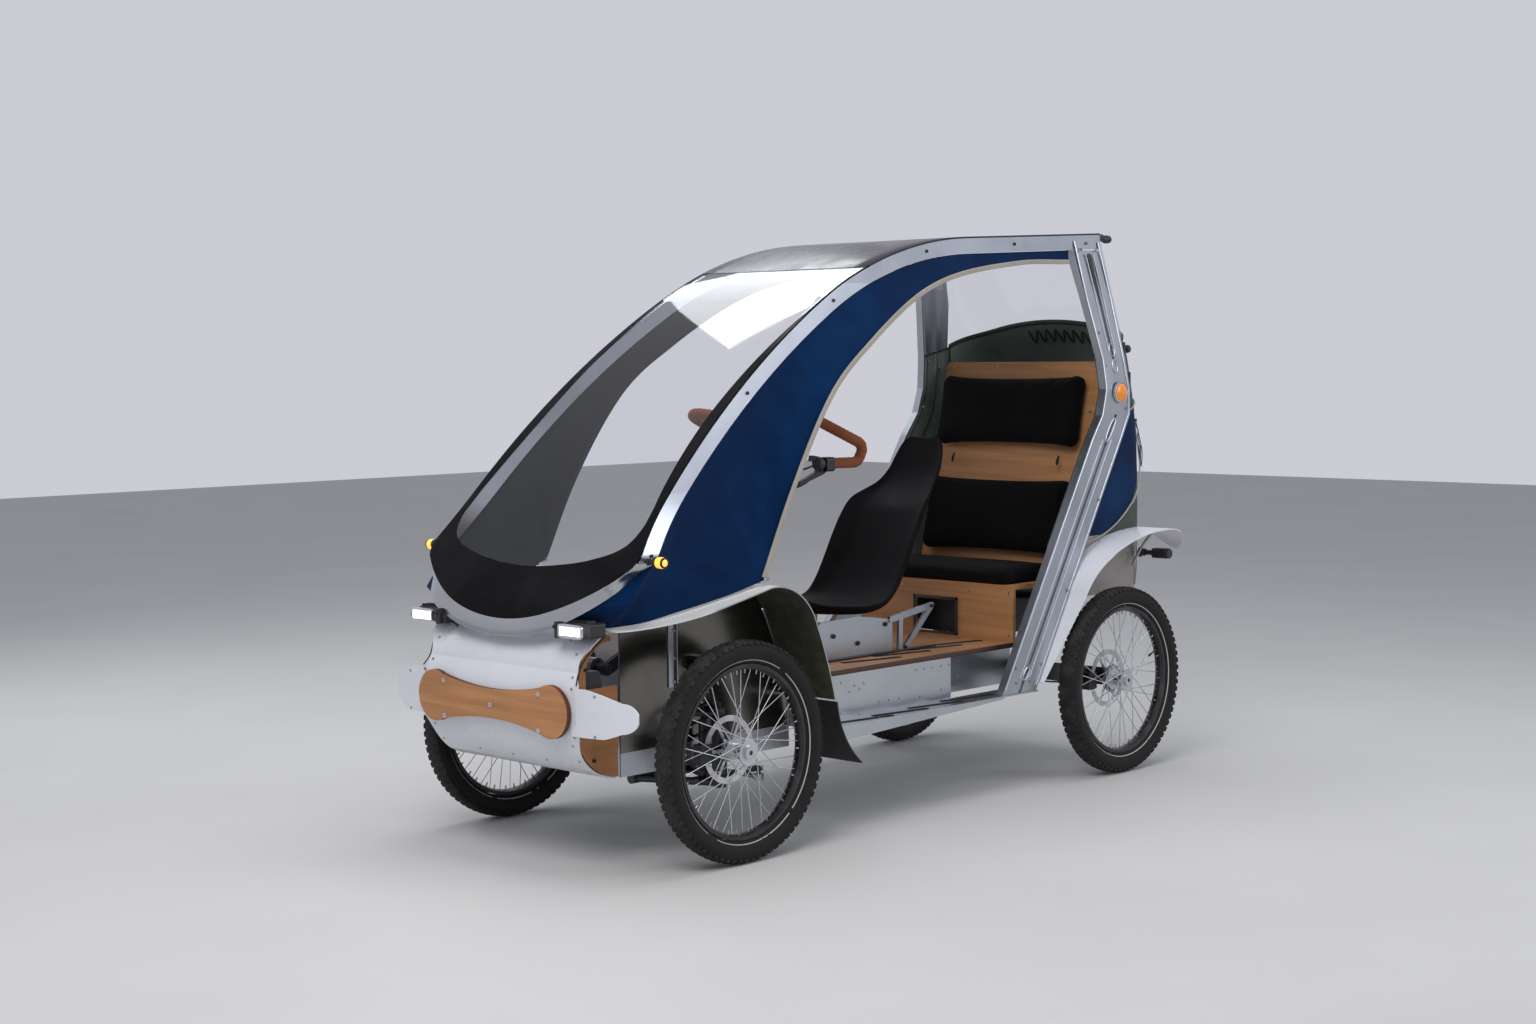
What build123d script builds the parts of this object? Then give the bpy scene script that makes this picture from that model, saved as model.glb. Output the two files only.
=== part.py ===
from build123d import *
from math import atan2, cos, degrees, radians, sin, sqrt, tan
import os

# Four-wheeled pedal vehicle with an open-sided canopy. Millimetres, +Z up, front towards -Y,
# the rider's left towards +X. Sketches are drawn from the front axle, so in the side plane the
# first number is the distance behind the front axle and the second is the height above the road.

# ---------------------------------------------------------------- driving dimensions
WHEELBASE = 1520.0
FRONT_HALF_TRACK = 416.0
REAR_HALF_TRACK = 402.0
TYRE_RADIUS = 259.0
TYRE_WIDTH = 55.0
RIM_SEAT_RADIUS = 205.0
RIM_DEPTH = 14.0
RIM_WIDTH = 28.0
TREAD_HALF_WIDTH = 8.0
SHOULDER_DROP = 7.0
SIDEWALL_RISE = 31.0

FRONT_REACH = 399.0  # bumper plate ahead of the front axle
REAR_OVERHANG = 330.0  # rear fender tip behind the rear axle
REAR_REACH = WHEELBASE + REAR_OVERHANG
FRONT_AXLE_Y = (FRONT_REACH - REAR_REACH) / 2

HUB_RADIUS = 17.0
HUB_FLANGE_RADIUS = 30.0
HUB_FLANGE_OFFSET = 22.0
HUB_FLANGE_THICKNESS = 4.0
HUB_HALF_LENGTH = 27.0
AXLE_RADIUS = 8.0
AXLE_CLEARANCE = 0.05
SPOKE_RADIUS = 1.2
SPOKE_COUNT = 36
DISC_RADIUS = 80.0
DISC_THICKNESS = 2.0
DISC_OFFSET = 42.0
DISC_CARRIER_RADIUS = 24.0
DISC_BAND = 14.0

KINGPIN_INSET = 71.0  # kingpin inboard of the wheel's middle plane
KINGPIN_X = FRONT_HALF_TRACK - KINGPIN_INSET
KINGPIN_RADIUS = 8.0
UPRIGHT_HALF_HEIGHT = 70.0
UPRIGHT_WIDTH = 26.0
BALL_JOINT_HEIGHT = 20.0
STEER_LIMIT_GAP = 1.0
TIE_ROD_BACKSET = 130.0
TIE_ROD_RADIUS = 6.0

PANEL_X = 262.0  # inner wheel-arch panels
PANEL_THICKNESS = 3.0
SHEET = 3.0  # body sheet thickness
PLY = 12.0

FLOOR_Z = 216.0
AXLE_ABOVE_FLOOR = 43.0
AXLE_Z = FLOOR_Z + AXLE_ABOVE_FLOOR
BODY_RISE = TYRE_RADIUS - AXLE_Z  # the body stands as much higher as larger tyres lift it
STEER_ARM_DROP = 69.0  # steering arm's underside below the axle
TIE_ROD_HEIGHT = AXLE_Z - STEER_ARM_DROP
DECK_TOP = 382.0
DECK_HALF_WIDTH = 278.0
DECK_FRONT = 322.0
BENCH_AHEAD = 315.0  # bench front ahead of the rear axle
BENCH_FRONT = WHEELBASE - BENCH_AHEAD
WEB_BOTTOM = 262.0
WEB_REAR = WHEELBASE - 590.0
RECESS_X = 215.0
RECESS_Y = WHEELBASE - 520.0
BOARD_OUTER_X = 364.0
BOARD_TOP = 262.0
BOARD_THICKNESS = 4.0
BOARD_FRONT = 405.0
CHASSIS_REAR = WHEELBASE - 255.0
FENDER_GAP = 54.0  # rear fender's foot ahead of the tyre
FENDER_FRONT = WHEELBASE - TYRE_RADIUS - FENDER_GAP
POST_FOOT_REAR = FENDER_FRONT - 15.0
BOARD_REAR = POST_FOOT_REAR + 3.0

SCREEN_FOOT = (-372.0, 560.0)
FOOT_HEADING = 81.8
SCREEN_ARCS = [  # radius, turn in degrees, from the foot up and over
    (118.7, 28.2),
    (2535.0, 23.9),
    (1234.8, 27.1),
]
SCREEN_THICKNESS = 3.0
SCREEN_SEAM_Y = 600.0
ROOF_REAR = WHEELBASE + 60.0
RAIL_DEPTH = 42.0
RAIL_WIDTH = 18.0
HOOP_BOTTOM = 571.0
HOOP_ARCS = [  # radius, turn in degrees (left turns positive), from the middle of the hoop outwards
    (579.3, 37.3),
    (38.6, 73.3),
    (476.6, -15.4),
]
HOOP_BAND = 40.0  # bare metal band that shows under the screen
ROOF_HALF_WIDTH = 290.0
ROOF_LEVEL = 1345.0  # above this height the rails run parallel

# ---------------------------------------------------------------- reference planes
ORIGIN = (0, FRONT_AXLE_Y, BODY_RISE)
SIDE = Plane(origin=ORIGIN, x_dir=(0, 1, 0), z_dir=(1, 0, 0))
TOP = Plane(origin=ORIGIN, x_dir=(1, 0, 0), z_dir=(0, 0, 1))
FRONT = Plane(origin=ORIGIN, x_dir=(1, 0, 0), z_dir=(0, -1, 0))
WIDE = 2.4 * FRONT_HALF_TRACK  # longer than any half width, for cuts that run right across

os.makedirs("parts", exist_ok=True)


def save(name, builder):
    builder.part.label = name
    export_step(builder.part, f"parts/{name}.step")


def place(x, y, z):
    """A point drawn from the front axle's place on the road, in the body's own heights."""
    return (x, FRONT_AXLE_Y + y, BODY_RISE + z)


def sheet_outline(runs, thickness):
    """Outline of a bent sheet: runs of two points (line) or three (arc), and the same runs moved to the left."""
    near = [Line(*run) if len(run) == 2 else ThreePointArc(*run) for run in runs]
    tangents = [near[0] % 0]
    tangents += [((before % 1) + (after % 0)).normalized() for before, after in zip(near, near[1:])]
    tangents.append(near[-1] % 1)
    joints = [edge @ 0 for edge in near] + [near[-1] @ 1]
    moved = [point + tangent.rotate(Axis.Z, 90) * thickness for point, tangent in zip(joints, tangents)]
    for index, edge in enumerate(near):
        if len(runs[index]) == 2:
            Line(moved[index], moved[index + 1])
        else:
            middle = edge @ 0.5 + (edge % 0.5).rotate(Axis.Z, 90) * thickness
            ThreePointArc(moved[index], middle, moved[index + 1])
    Line(joints[0], moved[0])
    Line(joints[-1], moved[-1])


# ---------------------------------------------------------------- canopy curves
def arc_chain(start, heading, arcs, inset, side):
    """Tangent arcs, each set in by inset; side is -1 for chains whose inside is on the right."""
    point = Vector(*start) + Vector(inset, 0).rotate(Axis.Z, heading + 90 * side)
    direction = Vector(1, 0).rotate(Axis.Z, heading)
    edges = []
    for radius, turn in arcs:
        inward = turn * side > 0
        edge = JernArc(point, direction, radius - inset if inward else radius + inset, turn)
        edges.append(edge)
        point = edge @ 1
        direction = edge % 1
    return edges, point, direction


def screen_chain(inset):
    """The canopy's side profile from foot to roof end, set in from its outer face."""
    turns = [(radius, -turn) for radius, turn in SCREEN_ARCS]
    edges, point, direction = arc_chain(SCREEN_FOOT, FOOT_HEADING, turns, inset, -1)
    run = (ROOF_REAR - point.X) / direction.X
    edges.append(Line(point, point + direction * run))
    return edges


def screen_height(y):
    """Height of the canopy's outer face at a distance behind the front axle."""
    px, pz = SCREEN_FOOT
    heading = radians(FOOT_HEADING)
    for radius, turn in SCREEN_ARCS:
        cx = px + radius * sin(heading)
        cz = pz - radius * cos(heading)
        heading -= radians(turn)
        px = cx - radius * sin(heading)
        pz = cz + radius * cos(heading)
        if y <= px:
            return cz + sqrt(radius**2 - (y - cx) ** 2)
    return pz + (y - px) * tan(heading)


def rail_bottom(y):
    """Height of the rail's lower edge, seen from the side."""
    step = 1.0
    slope = atan2(screen_height(y + step) - screen_height(y - step), 2 * step)
    return screen_height(y) - RAIL_DEPTH / cos(slope)


def hoop_half(inset):
    """Right-hand half of the hoop's front outline, from the middle of its foot to the roof."""
    edges, point, direction = arc_chain((0, HOOP_BOTTOM), 0, HOOP_ARCS, inset, 1)
    top = Vector(ROOF_HALF_WIDTH - inset, ROOF_LEVEL)
    edges.append(Line(point, top))
    edges.append(Line(top, (top.X, ROOF_LEVEL + WIDE)))
    return edges


def hoop_half_width(z):
    """Half width of the hoop at a height above its corner."""
    px, pz = 0.0, HOOP_BOTTOM
    heading = 0.0
    for radius, turn in HOOP_ARCS:
        bend = 1 if turn > 0 else -1
        cx = px - bend * radius * sin(heading)
        cz = pz + bend * radius * cos(heading)
        heading += radians(turn)
        px = cx + bend * radius * sin(heading)
        pz = cz - bend * radius * cos(heading)
    if z >= ROOF_LEVEL:
        return ROOF_HALF_WIDTH
    if z <= pz:
        return cx - sqrt(max(HOOP_ARCS[-1][0] ** 2 - (z - cz) ** 2, 0))
    return px + (ROOF_HALF_WIDTH - px) * (z - pz) / (ROOF_LEVEL - pz)


# Door opening's edge: distance behind the axle, half width, height
DOOR_LINE = [
    (111, 393, 646),
    (205, 392, 831),
    (364, 378, 1062),
    (533, 358, 1191),
    (805, 325, 1332),
    (WHEELBASE - 325, 300, 1402),
    (WHEELBASE - 84, 292, 1411),
]
# Canvas edge over the front wing: distance behind the axle, half width, height
WING_LINE = [
    (-296, 292, 562),
    (-234, 330, 570),
    (-138, 360, 591),
    (0, 380, 618),
]
CANVAS_THICKNESS = 3.0
TRIM_WIDTH = 12.0
TRIM_THICKNESS = 6.0
RAIL_GAP = 0.5
CANVAS_GAP = 1.5
HOOP_CORNER_TOP = 735.0
EDGE_STEPS = 3  # sections from one measured point of an edge to the next


def smooth_edge(rows):
    """Stations along a smooth curve through an edge's rows, its last row left out."""
    stations = []
    for index in range(len(rows) - 1):
        here, after = rows[index], rows[index + 1]
        before = rows[max(index - 1, 0)]
        beyond = rows[min(index + 2, len(rows) - 1)]
        span = after[0] - here[0]
        for step in range(EDGE_STEPS):
            t = step / EDGE_STEPS
            station = [here[0] + span * t]
            for column in (1, 2):
                leaving = (after[column] - before[column]) / (after[0] - before[0]) * span
                arriving = (beyond[column] - here[column]) / (beyond[0] - here[0]) * span
                rise = after[column] - here[column]
                bend = (3 * rise - 2 * leaving - arriving) * t**2 + (leaving + arriving - 2 * rise) * t**3
                station.append(here[column] + leaving * t + bend)
            stations.append(tuple(station))
    return stations


WING_STATIONS = smooth_edge(WING_LINE + DOOR_LINE[:1])
DOOR_STATIONS = smooth_edge(DOOR_LINE) + DOOR_LINE[-1:]

# ---------------------------------------------------------------- windscreen, roof and hoop
with BuildPart() as screen_blank:
    with BuildSketch(SIDE):
        with BuildLine():
            outer = screen_chain(0)
            inner = screen_chain(SCREEN_THICKNESS)
            Line(outer[0] @ 0, inner[0] @ 0)
            Line(outer[-1] @ 1, inner[-1] @ 1)
        make_face()
    extrude(amount=WIDE, both=True)
    with BuildSketch(FRONT):
        with BuildLine():
            edge = hoop_half(0)
            Line(edge[-1] @ 1, (0, (edge[-1] @ 1).Y))
            Line((0, (edge[-1] @ 1).Y), edge[0] @ 0)
        make_face()
        mirror(about=Plane.YZ)
    extrude(amount=2 * WIDE, both=True, mode=Mode.INTERSECT)

SEAM = Plane(origin=place(0, SCREEN_SEAM_Y, 0), z_dir=(0, 1, 0))
with BuildPart() as windscreen:
    add(screen_blank.part)
    split(bisect_by=SEAM, keep=Keep.BOTTOM)
save("windscreen", windscreen)

with BuildPart() as roof_panel:
    add(screen_blank.part)
    split(bisect_by=SEAM, keep=Keep.TOP)
save("roof_panel", roof_panel)

with BuildPart() as canopy_hoop:
    with BuildSketch(SIDE):
        with BuildLine():
            outer = screen_chain(SCREEN_THICKNESS)
            inner = screen_chain(RAIL_DEPTH)
            drop = (outer[0] % 0) * -(HOOP_BAND + RAIL_WIDTH)
            Line(outer[0] @ 0, outer[0] @ 0 + drop)
            Line(inner[0] @ 0, inner[0] @ 0 + drop)
            Line(outer[0] @ 0 + drop, inner[0] @ 0 + drop)
            Line(outer[-1] @ 1, inner[-1] @ 1)
        make_face()
    extrude(amount=WIDE, both=True)
    with BuildSketch(FRONT):
        with BuildLine():
            edge = hoop_half(0)
            Line(edge[-1] @ 1, (0, (edge[-1] @ 1).Y))
            Line((0, (edge[-1] @ 1).Y), edge[0] @ 0)
        make_face()
        mirror(about=Plane.YZ)
        corner = (edge[1] @ 0.6).X, (edge[1] @ 0.6).Y
        with BuildLine():
            band = ThreePointArc((-corner[0], corner[1]), (0, HOOP_BOTTOM - HOOP_BAND), corner)
            Line(band @ 1, band @ 0)
        make_face()
    extrude(amount=2 * WIDE, both=True, mode=Mode.INTERSECT)
    with BuildSketch(FRONT):
        with BuildLine():
            edge = hoop_half(RAIL_WIDTH)
            Line(edge[-1] @ 1, (0, (edge[-1] @ 1).Y))
            Line((0, (edge[-1] @ 1).Y), edge[0] @ 0)
        make_face()
        mirror(about=Plane.YZ)
    extrude(amount=2 * WIDE, both=True, mode=Mode.SUBTRACT)
save("canopy_hoop", canopy_hoop)

# ---------------------------------------------------------------- side canvases and door trims
SECTION_TABLE = [(y, rail_bottom(y) - CANVAS_GAP, x, z) for y, x, z in WING_STATIONS + DOOR_STATIONS]
canvas_sections = []
trim_sections = []
for index, (y, z_top, x_low, z_low) in enumerate(SECTION_TABLE):
    top = (hoop_half_width(max(z_top, HOOP_CORNER_TOP)), z_top)
    low = (x_low, z_low)
    after = SECTION_TABLE[min(index + 1, len(SECTION_TABLE) - 1)]
    before = SECTION_TABLE[max(index - 1, len(WING_STATIONS))]
    trim_height = 0.0
    if index >= len(WING_STATIONS):
        slope = atan2(after[3] - before[3], after[0] - before[0])
        trim_height = TRIM_WIDTH / cos(slope)
        share = trim_height / (z_top - z_low)
        seat = (x_low + (top[0] - x_low) * share, z_low + trim_height)
        trim_sections.append((y, seat, low))
        low = (seat[0], seat[1] + RAIL_GAP)
    canvas_sections.append((y, top, low))

with BuildPart() as side_canvases:
    for y, top, low in canvas_sections:
        with BuildSketch(FRONT.offset(-y)):
            Polygon(top, low, (low[0] - CANVAS_THICKNESS, low[1]), (top[0] - CANVAS_THICKNESS, top[1]), align=None)
    loft(ruled=True)
    mirror(about=Plane.YZ)
save("side_canvases", side_canvases)

with BuildPart() as door_trims:
    for y, top, low in trim_sections:
        with BuildSketch(FRONT.offset(-y)):
            Polygon(top, low, (low[0] - TRIM_THICKNESS, low[1]), (top[0] - TRIM_THICKNESS, top[1]), align=None)
    loft(ruled=True)
    mirror(about=Plane.YZ)
save("door_trims", door_trims)

# ---------------------------------------------------------------- wheels
REAR_AXLE_Y = WHEELBASE
CORNERS = [  # name, side (+1 left), half track, distance behind the front axle
    ("front_left", 1, FRONT_HALF_TRACK, 0.0),
    ("front_right", -1, FRONT_HALF_TRACK, 0.0),
    ("rear_left", 1, REAR_HALF_TRACK, REAR_AXLE_Y),
    ("rear_right", -1, REAR_HALF_TRACK, REAR_AXLE_Y),
]
RIM_HALF = RIM_WIDTH / 2
TYRE_HALF = TYRE_WIDTH / 2
TYRE_SECTION = [  # distance out from the wheel's middle plane, radius
    (RIM_HALF - 1, RIM_SEAT_RADIUS),
    (TYRE_HALF, RIM_SEAT_RADIUS + SIDEWALL_RISE),
    (TYRE_HALF - SHOULDER_DROP, TYRE_RADIUS - SHOULDER_DROP),
    (TREAD_HALF_WIDTH, TYRE_RADIUS),
]
HUB_BORE = AXLE_RADIUS + AXLE_CLEARANCE
WHEEL_PLANE = Plane(origin=(0, 0, 0), x_dir=(0, 1, 0), z_dir=(1, 0, 0))

with BuildPart() as tyre_form:
    with BuildSketch(Plane.XY):
        mirrored = [(-x, r) for x, r in reversed(TYRE_SECTION)]
        Polygon(*(mirrored + TYRE_SECTION), align=None)
    revolve(axis=Axis.X)

with BuildPart() as wheel_form:
    with BuildSketch(Plane.XY):
        rim_low = RIM_SEAT_RADIUS - RIM_DEPTH
        Polygon(
            (-RIM_HALF, RIM_SEAT_RADIUS - 1),
            (RIM_HALF, RIM_SEAT_RADIUS - 1),
            (RIM_HALF, rim_low + 4),
            (RIM_HALF - 8, rim_low),
            (8 - RIM_HALF, rim_low),
            (-RIM_HALF, rim_low + 4),
            align=None,
        )
        with Locations((0, (HUB_BORE + HUB_RADIUS) / 2)):
            Rectangle(2 * HUB_HALF_LENGTH, HUB_RADIUS - HUB_BORE)
        for flange in (-HUB_FLANGE_OFFSET, HUB_FLANGE_OFFSET):
            with Locations((flange, (HUB_BORE + HUB_FLANGE_RADIUS) / 2)):
                Rectangle(HUB_FLANGE_THICKNESS, HUB_FLANGE_RADIUS - HUB_BORE)
        with Locations((-DISC_OFFSET, DISC_RADIUS - DISC_BAND / 2)):
            Rectangle(DISC_THICKNESS, DISC_BAND)
        with Locations((-(DISC_OFFSET + HUB_HALF_LENGTH) / 2, (HUB_BORE + DISC_CARRIER_RADIUS) / 2)):
            Rectangle(DISC_OFFSET - HUB_HALF_LENGTH + DISC_THICKNESS, DISC_CARRIER_RADIUS - HUB_BORE)
    revolve(axis=Axis.X)
    with BuildSketch(WHEEL_PLANE.offset(HUB_HALF_LENGTH)):
        Circle(HUB_RADIUS)
    extrude(amount=4)
    with BuildSketch(WHEEL_PLANE.offset(-DISC_OFFSET - DISC_THICKNESS / 2)):
        with PolarLocations(0, 6):
            arm_length = DISC_RADIUS - DISC_BAND - DISC_CARRIER_RADIUS + 8
            with Locations((DISC_CARRIER_RADIUS - 4 + arm_length / 2, 0)):
                Rectangle(arm_length, 8)
    extrude(amount=DISC_THICKNESS)
    for index in range(SPOKE_COUNT):
        angle = 360 / SPOKE_COUNT * index
        flange = HUB_FLANGE_OFFSET if index % 2 else -HUB_FLANGE_OFFSET
        lean = 75 if index % 4 < 2 else -75
        inner_r = HUB_FLANGE_RADIUS - 3
        start = Vector(flange, inner_r, 0).rotate(Axis.X, angle + lean)
        end = Vector(0, rim_low + 2, 0).rotate(Axis.X, angle)
        spoke_plane = Plane(origin=start, z_dir=(end - start).normalized())
        with BuildSketch(spoke_plane):
            Circle(SPOKE_RADIUS)
        extrude(amount=(end - start).length)

for name, side, half_track, y in CORNERS:
    spot = Plane(origin=place(side * half_track, y, AXLE_Z), x_dir=(side, 0, 0), z_dir=(0, 0, 1))
    with BuildPart() as tyre:
        add(spot.from_local_coords(tyre_form.part))
    save(f"{name}_tyre", tyre)
    with BuildPart() as wheel:
        add(spot.from_local_coords(wheel_form.part))
    save(f"{name}_wheel", wheel)

# ---------------------------------------------------------------- knuckles, suspension and tie rod
AXLE_END = HUB_HALF_LENGTH - 4.0  # the axle stops inside the capped hub
CALIPER_SLOT = 12.0
CALIPER_WIDTH = 34.0
CALIPER_REACH = 98.0
CALIPER_ROOT = 62.0
UPRIGHT_TOP = AXLE_Z + UPRIGHT_HALF_HEIGHT
UPRIGHT_BOTTOM = AXLE_Z - UPRIGHT_HALF_HEIGHT
STEER_ARM_THICKNESS = 10.0
DISC_X = FRONT_HALF_TRACK - DISC_OFFSET


def wheel_bearing_face(half_track):
    """Where the upright's face stops, a little inboard of the hub's disc carrier."""
    return half_track - DISC_OFFSET - DISC_THICKNESS / 2 - 3.0


CALIPER_MIDDLE = -(CALIPER_REACH + CALIPER_ROOT) / 2
with BuildPart() as caliper:  # drawn about the middle of its disc
    with BuildSketch(Plane.YZ.offset(-CALIPER_WIDTH / 2)):
        with Locations((CALIPER_MIDDLE, 0)):
            Rectangle(CALIPER_REACH - CALIPER_ROOT, 46)
    extrude(amount=CALIPER_WIDTH - 8)
    with BuildSketch(Plane.YZ.offset(-CALIPER_SLOT / 2)):
        with Locations((CALIPER_MIDDLE + 12, 0)):
            Rectangle(CALIPER_REACH - CALIPER_ROOT, 60)
    extrude(amount=CALIPER_SLOT, mode=Mode.SUBTRACT)
    with BuildSketch(Plane.YZ.offset(-CALIPER_WIDTH / 2)):
        with Locations((-CALIPER_ROOT / 2, 0)):
            Rectangle(CALIPER_ROOT + 4, 22)
    extrude(amount=8)

with BuildPart() as left_knuckle:
    with BuildSketch(TOP.offset(UPRIGHT_BOTTOM)):
        with Locations((KINGPIN_X, 0)):
            RectangleRounded(UPRIGHT_WIDTH, 34, 6)
    extrude(amount=2 * UPRIGHT_HALF_HEIGHT)
    with BuildSketch(TOP.offset(UPRIGHT_BOTTOM - BALL_JOINT_HEIGHT - STEER_LIMIT_GAP)):
        with Locations((KINGPIN_X, 0)):
            Circle(KINGPIN_RADIUS)
    extrude(amount=2 * (UPRIGHT_HALF_HEIGHT + BALL_JOINT_HEIGHT + STEER_LIMIT_GAP))
    with BuildSketch(SIDE.offset(KINGPIN_X)):
        with Locations((0, AXLE_Z)):
            Circle(18)
    extrude(amount=wheel_bearing_face(FRONT_HALF_TRACK) - KINGPIN_X)
    with BuildSketch(SIDE.offset(KINGPIN_X)):
        with Locations((0, AXLE_Z)):
            Circle(AXLE_RADIUS)
    extrude(amount=FRONT_HALF_TRACK + AXLE_END - KINGPIN_X)
    with BuildSketch(TOP.offset(TIE_ROD_HEIGHT)):
        with BuildLine():
            Polyline(
                (KINGPIN_X - 12, 0),
                (KINGPIN_X + 12, 0),
                (KINGPIN_X + 9, TIE_ROD_BACKSET),
                (KINGPIN_X - 9, TIE_ROD_BACKSET),
                close=True,
            )
        make_face()
        with Locations((KINGPIN_X, TIE_ROD_BACKSET)):
            Circle(11)
    extrude(amount=STEER_ARM_THICKNESS)
    with BuildSketch(TOP.offset(TIE_ROD_HEIGHT - 22)):
        with Locations((KINGPIN_X, TIE_ROD_BACKSET)):
            Circle(5)
    extrude(amount=22 + STEER_ARM_THICKNESS)
    add(caliper.part.moved(Location(place(DISC_X, 0, AXLE_Z))))
save("left_knuckle", left_knuckle)

with BuildPart() as right_knuckle:
    add(mirror(left_knuckle.part, about=Plane.YZ))
save("right_knuckle", right_knuckle)

with BuildPart() as tie_rod:
    eye_z = TIE_ROD_HEIGHT - 16
    with BuildSketch(SIDE.offset(-KINGPIN_X)):
        with Locations((TIE_ROD_BACKSET, eye_z)):
            Circle(TIE_ROD_RADIUS)
    extrude(amount=2 * KINGPIN_X)
    with BuildSketch(TOP.offset(eye_z - 7)):
        with Locations((KINGPIN_X, TIE_ROD_BACKSET), (-KINGPIN_X, TIE_ROD_BACKSET)):
            Circle(12)
    extrude(amount=14)
    with BuildSketch(TOP.offset(eye_z - 8)):
        with Locations((KINGPIN_X, TIE_ROD_BACKSET), (-KINGPIN_X, TIE_ROD_BACKSET)):
            Circle(5 + AXLE_CLEARANCE)
    extrude(amount=16, mode=Mode.SUBTRACT)
save("tie_rod", tie_rod)

ARM_TUBE = 9.0
ARM_ROOT_X = 150.0
ARM_SPREAD = 90.0
BOSS_RADIUS = 15.0
LOWER_BOSS = UPRIGHT_BOTTOM - BALL_JOINT_HEIGHT / 2 - STEER_LIMIT_GAP
UPPER_BOSS = UPRIGHT_TOP + BALL_JOINT_HEIGHT / 2 + STEER_LIMIT_GAP
UPPER_ROOT_X = PANEL_X + PANEL_THICKNESS + 8

DAMPER_X = UPPER_ROOT_X + 17.0
DAMPER_TOP = UPPER_BOSS + 130.0
COIL_RADIUS = 15.0
COIL_WIRE = 3.0
COIL_TURNS = 8
COIL_FOOT = LOWER_BOSS + 24.0
COIL_HEAD = DAMPER_TOP - 20.0
COIL_HEIGHT = COIL_HEAD - COIL_FOOT + 2.0  # its ends sink into the spring seats
DAMPER_STACK = [  # radius, bottom and top: body, rod, spring seats
    (10.0, LOWER_BOSS, UPPER_BOSS - 20),
    (5.0, UPPER_BOSS - 20, DAMPER_TOP - 10),
    (COIL_RADIUS + 4, COIL_FOOT - 4, COIL_FOOT),
    (COIL_RADIUS + 4, COIL_HEAD, COIL_HEAD + 6),
]
with BuildPart() as coil:
    with BuildLine(Plane(origin=place(DAMPER_X, 0, COIL_FOOT - 1))):
        turns = Helix(pitch=COIL_HEIGHT / COIL_TURNS, height=COIL_HEIGHT, radius=COIL_RADIUS)
    with BuildSketch(Plane(origin=turns @ 0, z_dir=turns % 0)):
        Circle(COIL_WIRE)
    sweep(path=turns, is_frenet=True)

with BuildPart() as front_suspension:
    for boss_z, root_x, spread in ((LOWER_BOSS, ARM_ROOT_X, ARM_SPREAD), (UPPER_BOSS, UPPER_ROOT_X, 60.0)):
        for lean in (-1, 1):
            root = Vector(*place(root_x, lean * spread, boss_z))
            eye = Vector(*place(KINGPIN_X, 0, boss_z))
            with BuildSketch(Plane(origin=root, z_dir=(eye - root).normalized())):
                Circle(ARM_TUBE if boss_z < AXLE_Z else 7)
            extrude(amount=(eye - root).length)
        with BuildSketch(TOP.offset(boss_z - BALL_JOINT_HEIGHT / 2)):
            with Locations((KINGPIN_X, 0)):
                Circle(BOSS_RADIUS)
        extrude(amount=BALL_JOINT_HEIGHT)
        with BuildSketch(TOP.offset(boss_z - BALL_JOINT_HEIGHT / 2 - 1)):
            with Locations((KINGPIN_X, 0)):
                Circle(KINGPIN_RADIUS + AXLE_CLEARANCE)
        extrude(amount=BALL_JOINT_HEIGHT + 2, mode=Mode.SUBTRACT)
    with BuildSketch(FRONT.offset(-ARM_SPREAD - 12)):
        with Locations((ARM_ROOT_X, LOWER_BOSS)):
            Circle(13)
    extrude(amount=2 * ARM_SPREAD + 24)
    for mount_front in (-72, 40):
        with BuildSketch(FRONT.offset(-mount_front - 32)):
            with Locations((UPPER_ROOT_X, UPPER_BOSS)):
                Rectangle(16, 26)
        extrude(amount=32)
    with BuildSketch(TOP.offset(LOWER_BOSS - 7)):
        with Locations((DAMPER_X, 0)):
            Rectangle(34, 64)
    extrude(amount=14)
    for radius, low, high in DAMPER_STACK:
        with BuildSketch(TOP.offset(low)):
            with Locations((DAMPER_X, 0)):
                Circle(radius)
        extrude(amount=high - low)
    with BuildSketch(TOP.offset(DAMPER_TOP - 14)):
        with Locations(((PANEL_X + PANEL_THICKNESS + RAIL_GAP + DAMPER_X) / 2, 0)):
            Rectangle(DAMPER_X - PANEL_X - PANEL_THICKNESS - RAIL_GAP, 30)
    extrude(amount=14)
    add(coil.part)
    mirror(about=Plane.YZ)
    with BuildSketch(SIDE.offset(-ARM_ROOT_X)):
        with Locations((0, LOWER_BOSS)):
            RectangleRounded(50, 30, 5)
    extrude(amount=2 * ARM_ROOT_X)
    for lift_x in (-ARM_ROOT_X + 20, ARM_ROOT_X - 20):
        with BuildSketch(TOP.offset(LOWER_BOSS)):
            with Locations((lift_x, 0)):
                Rectangle(30, 40)
        extrude(amount=FLOOR_Z - PANEL_THICKNESS - LOWER_BOSS)
save("front_suspension", front_suspension)

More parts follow.
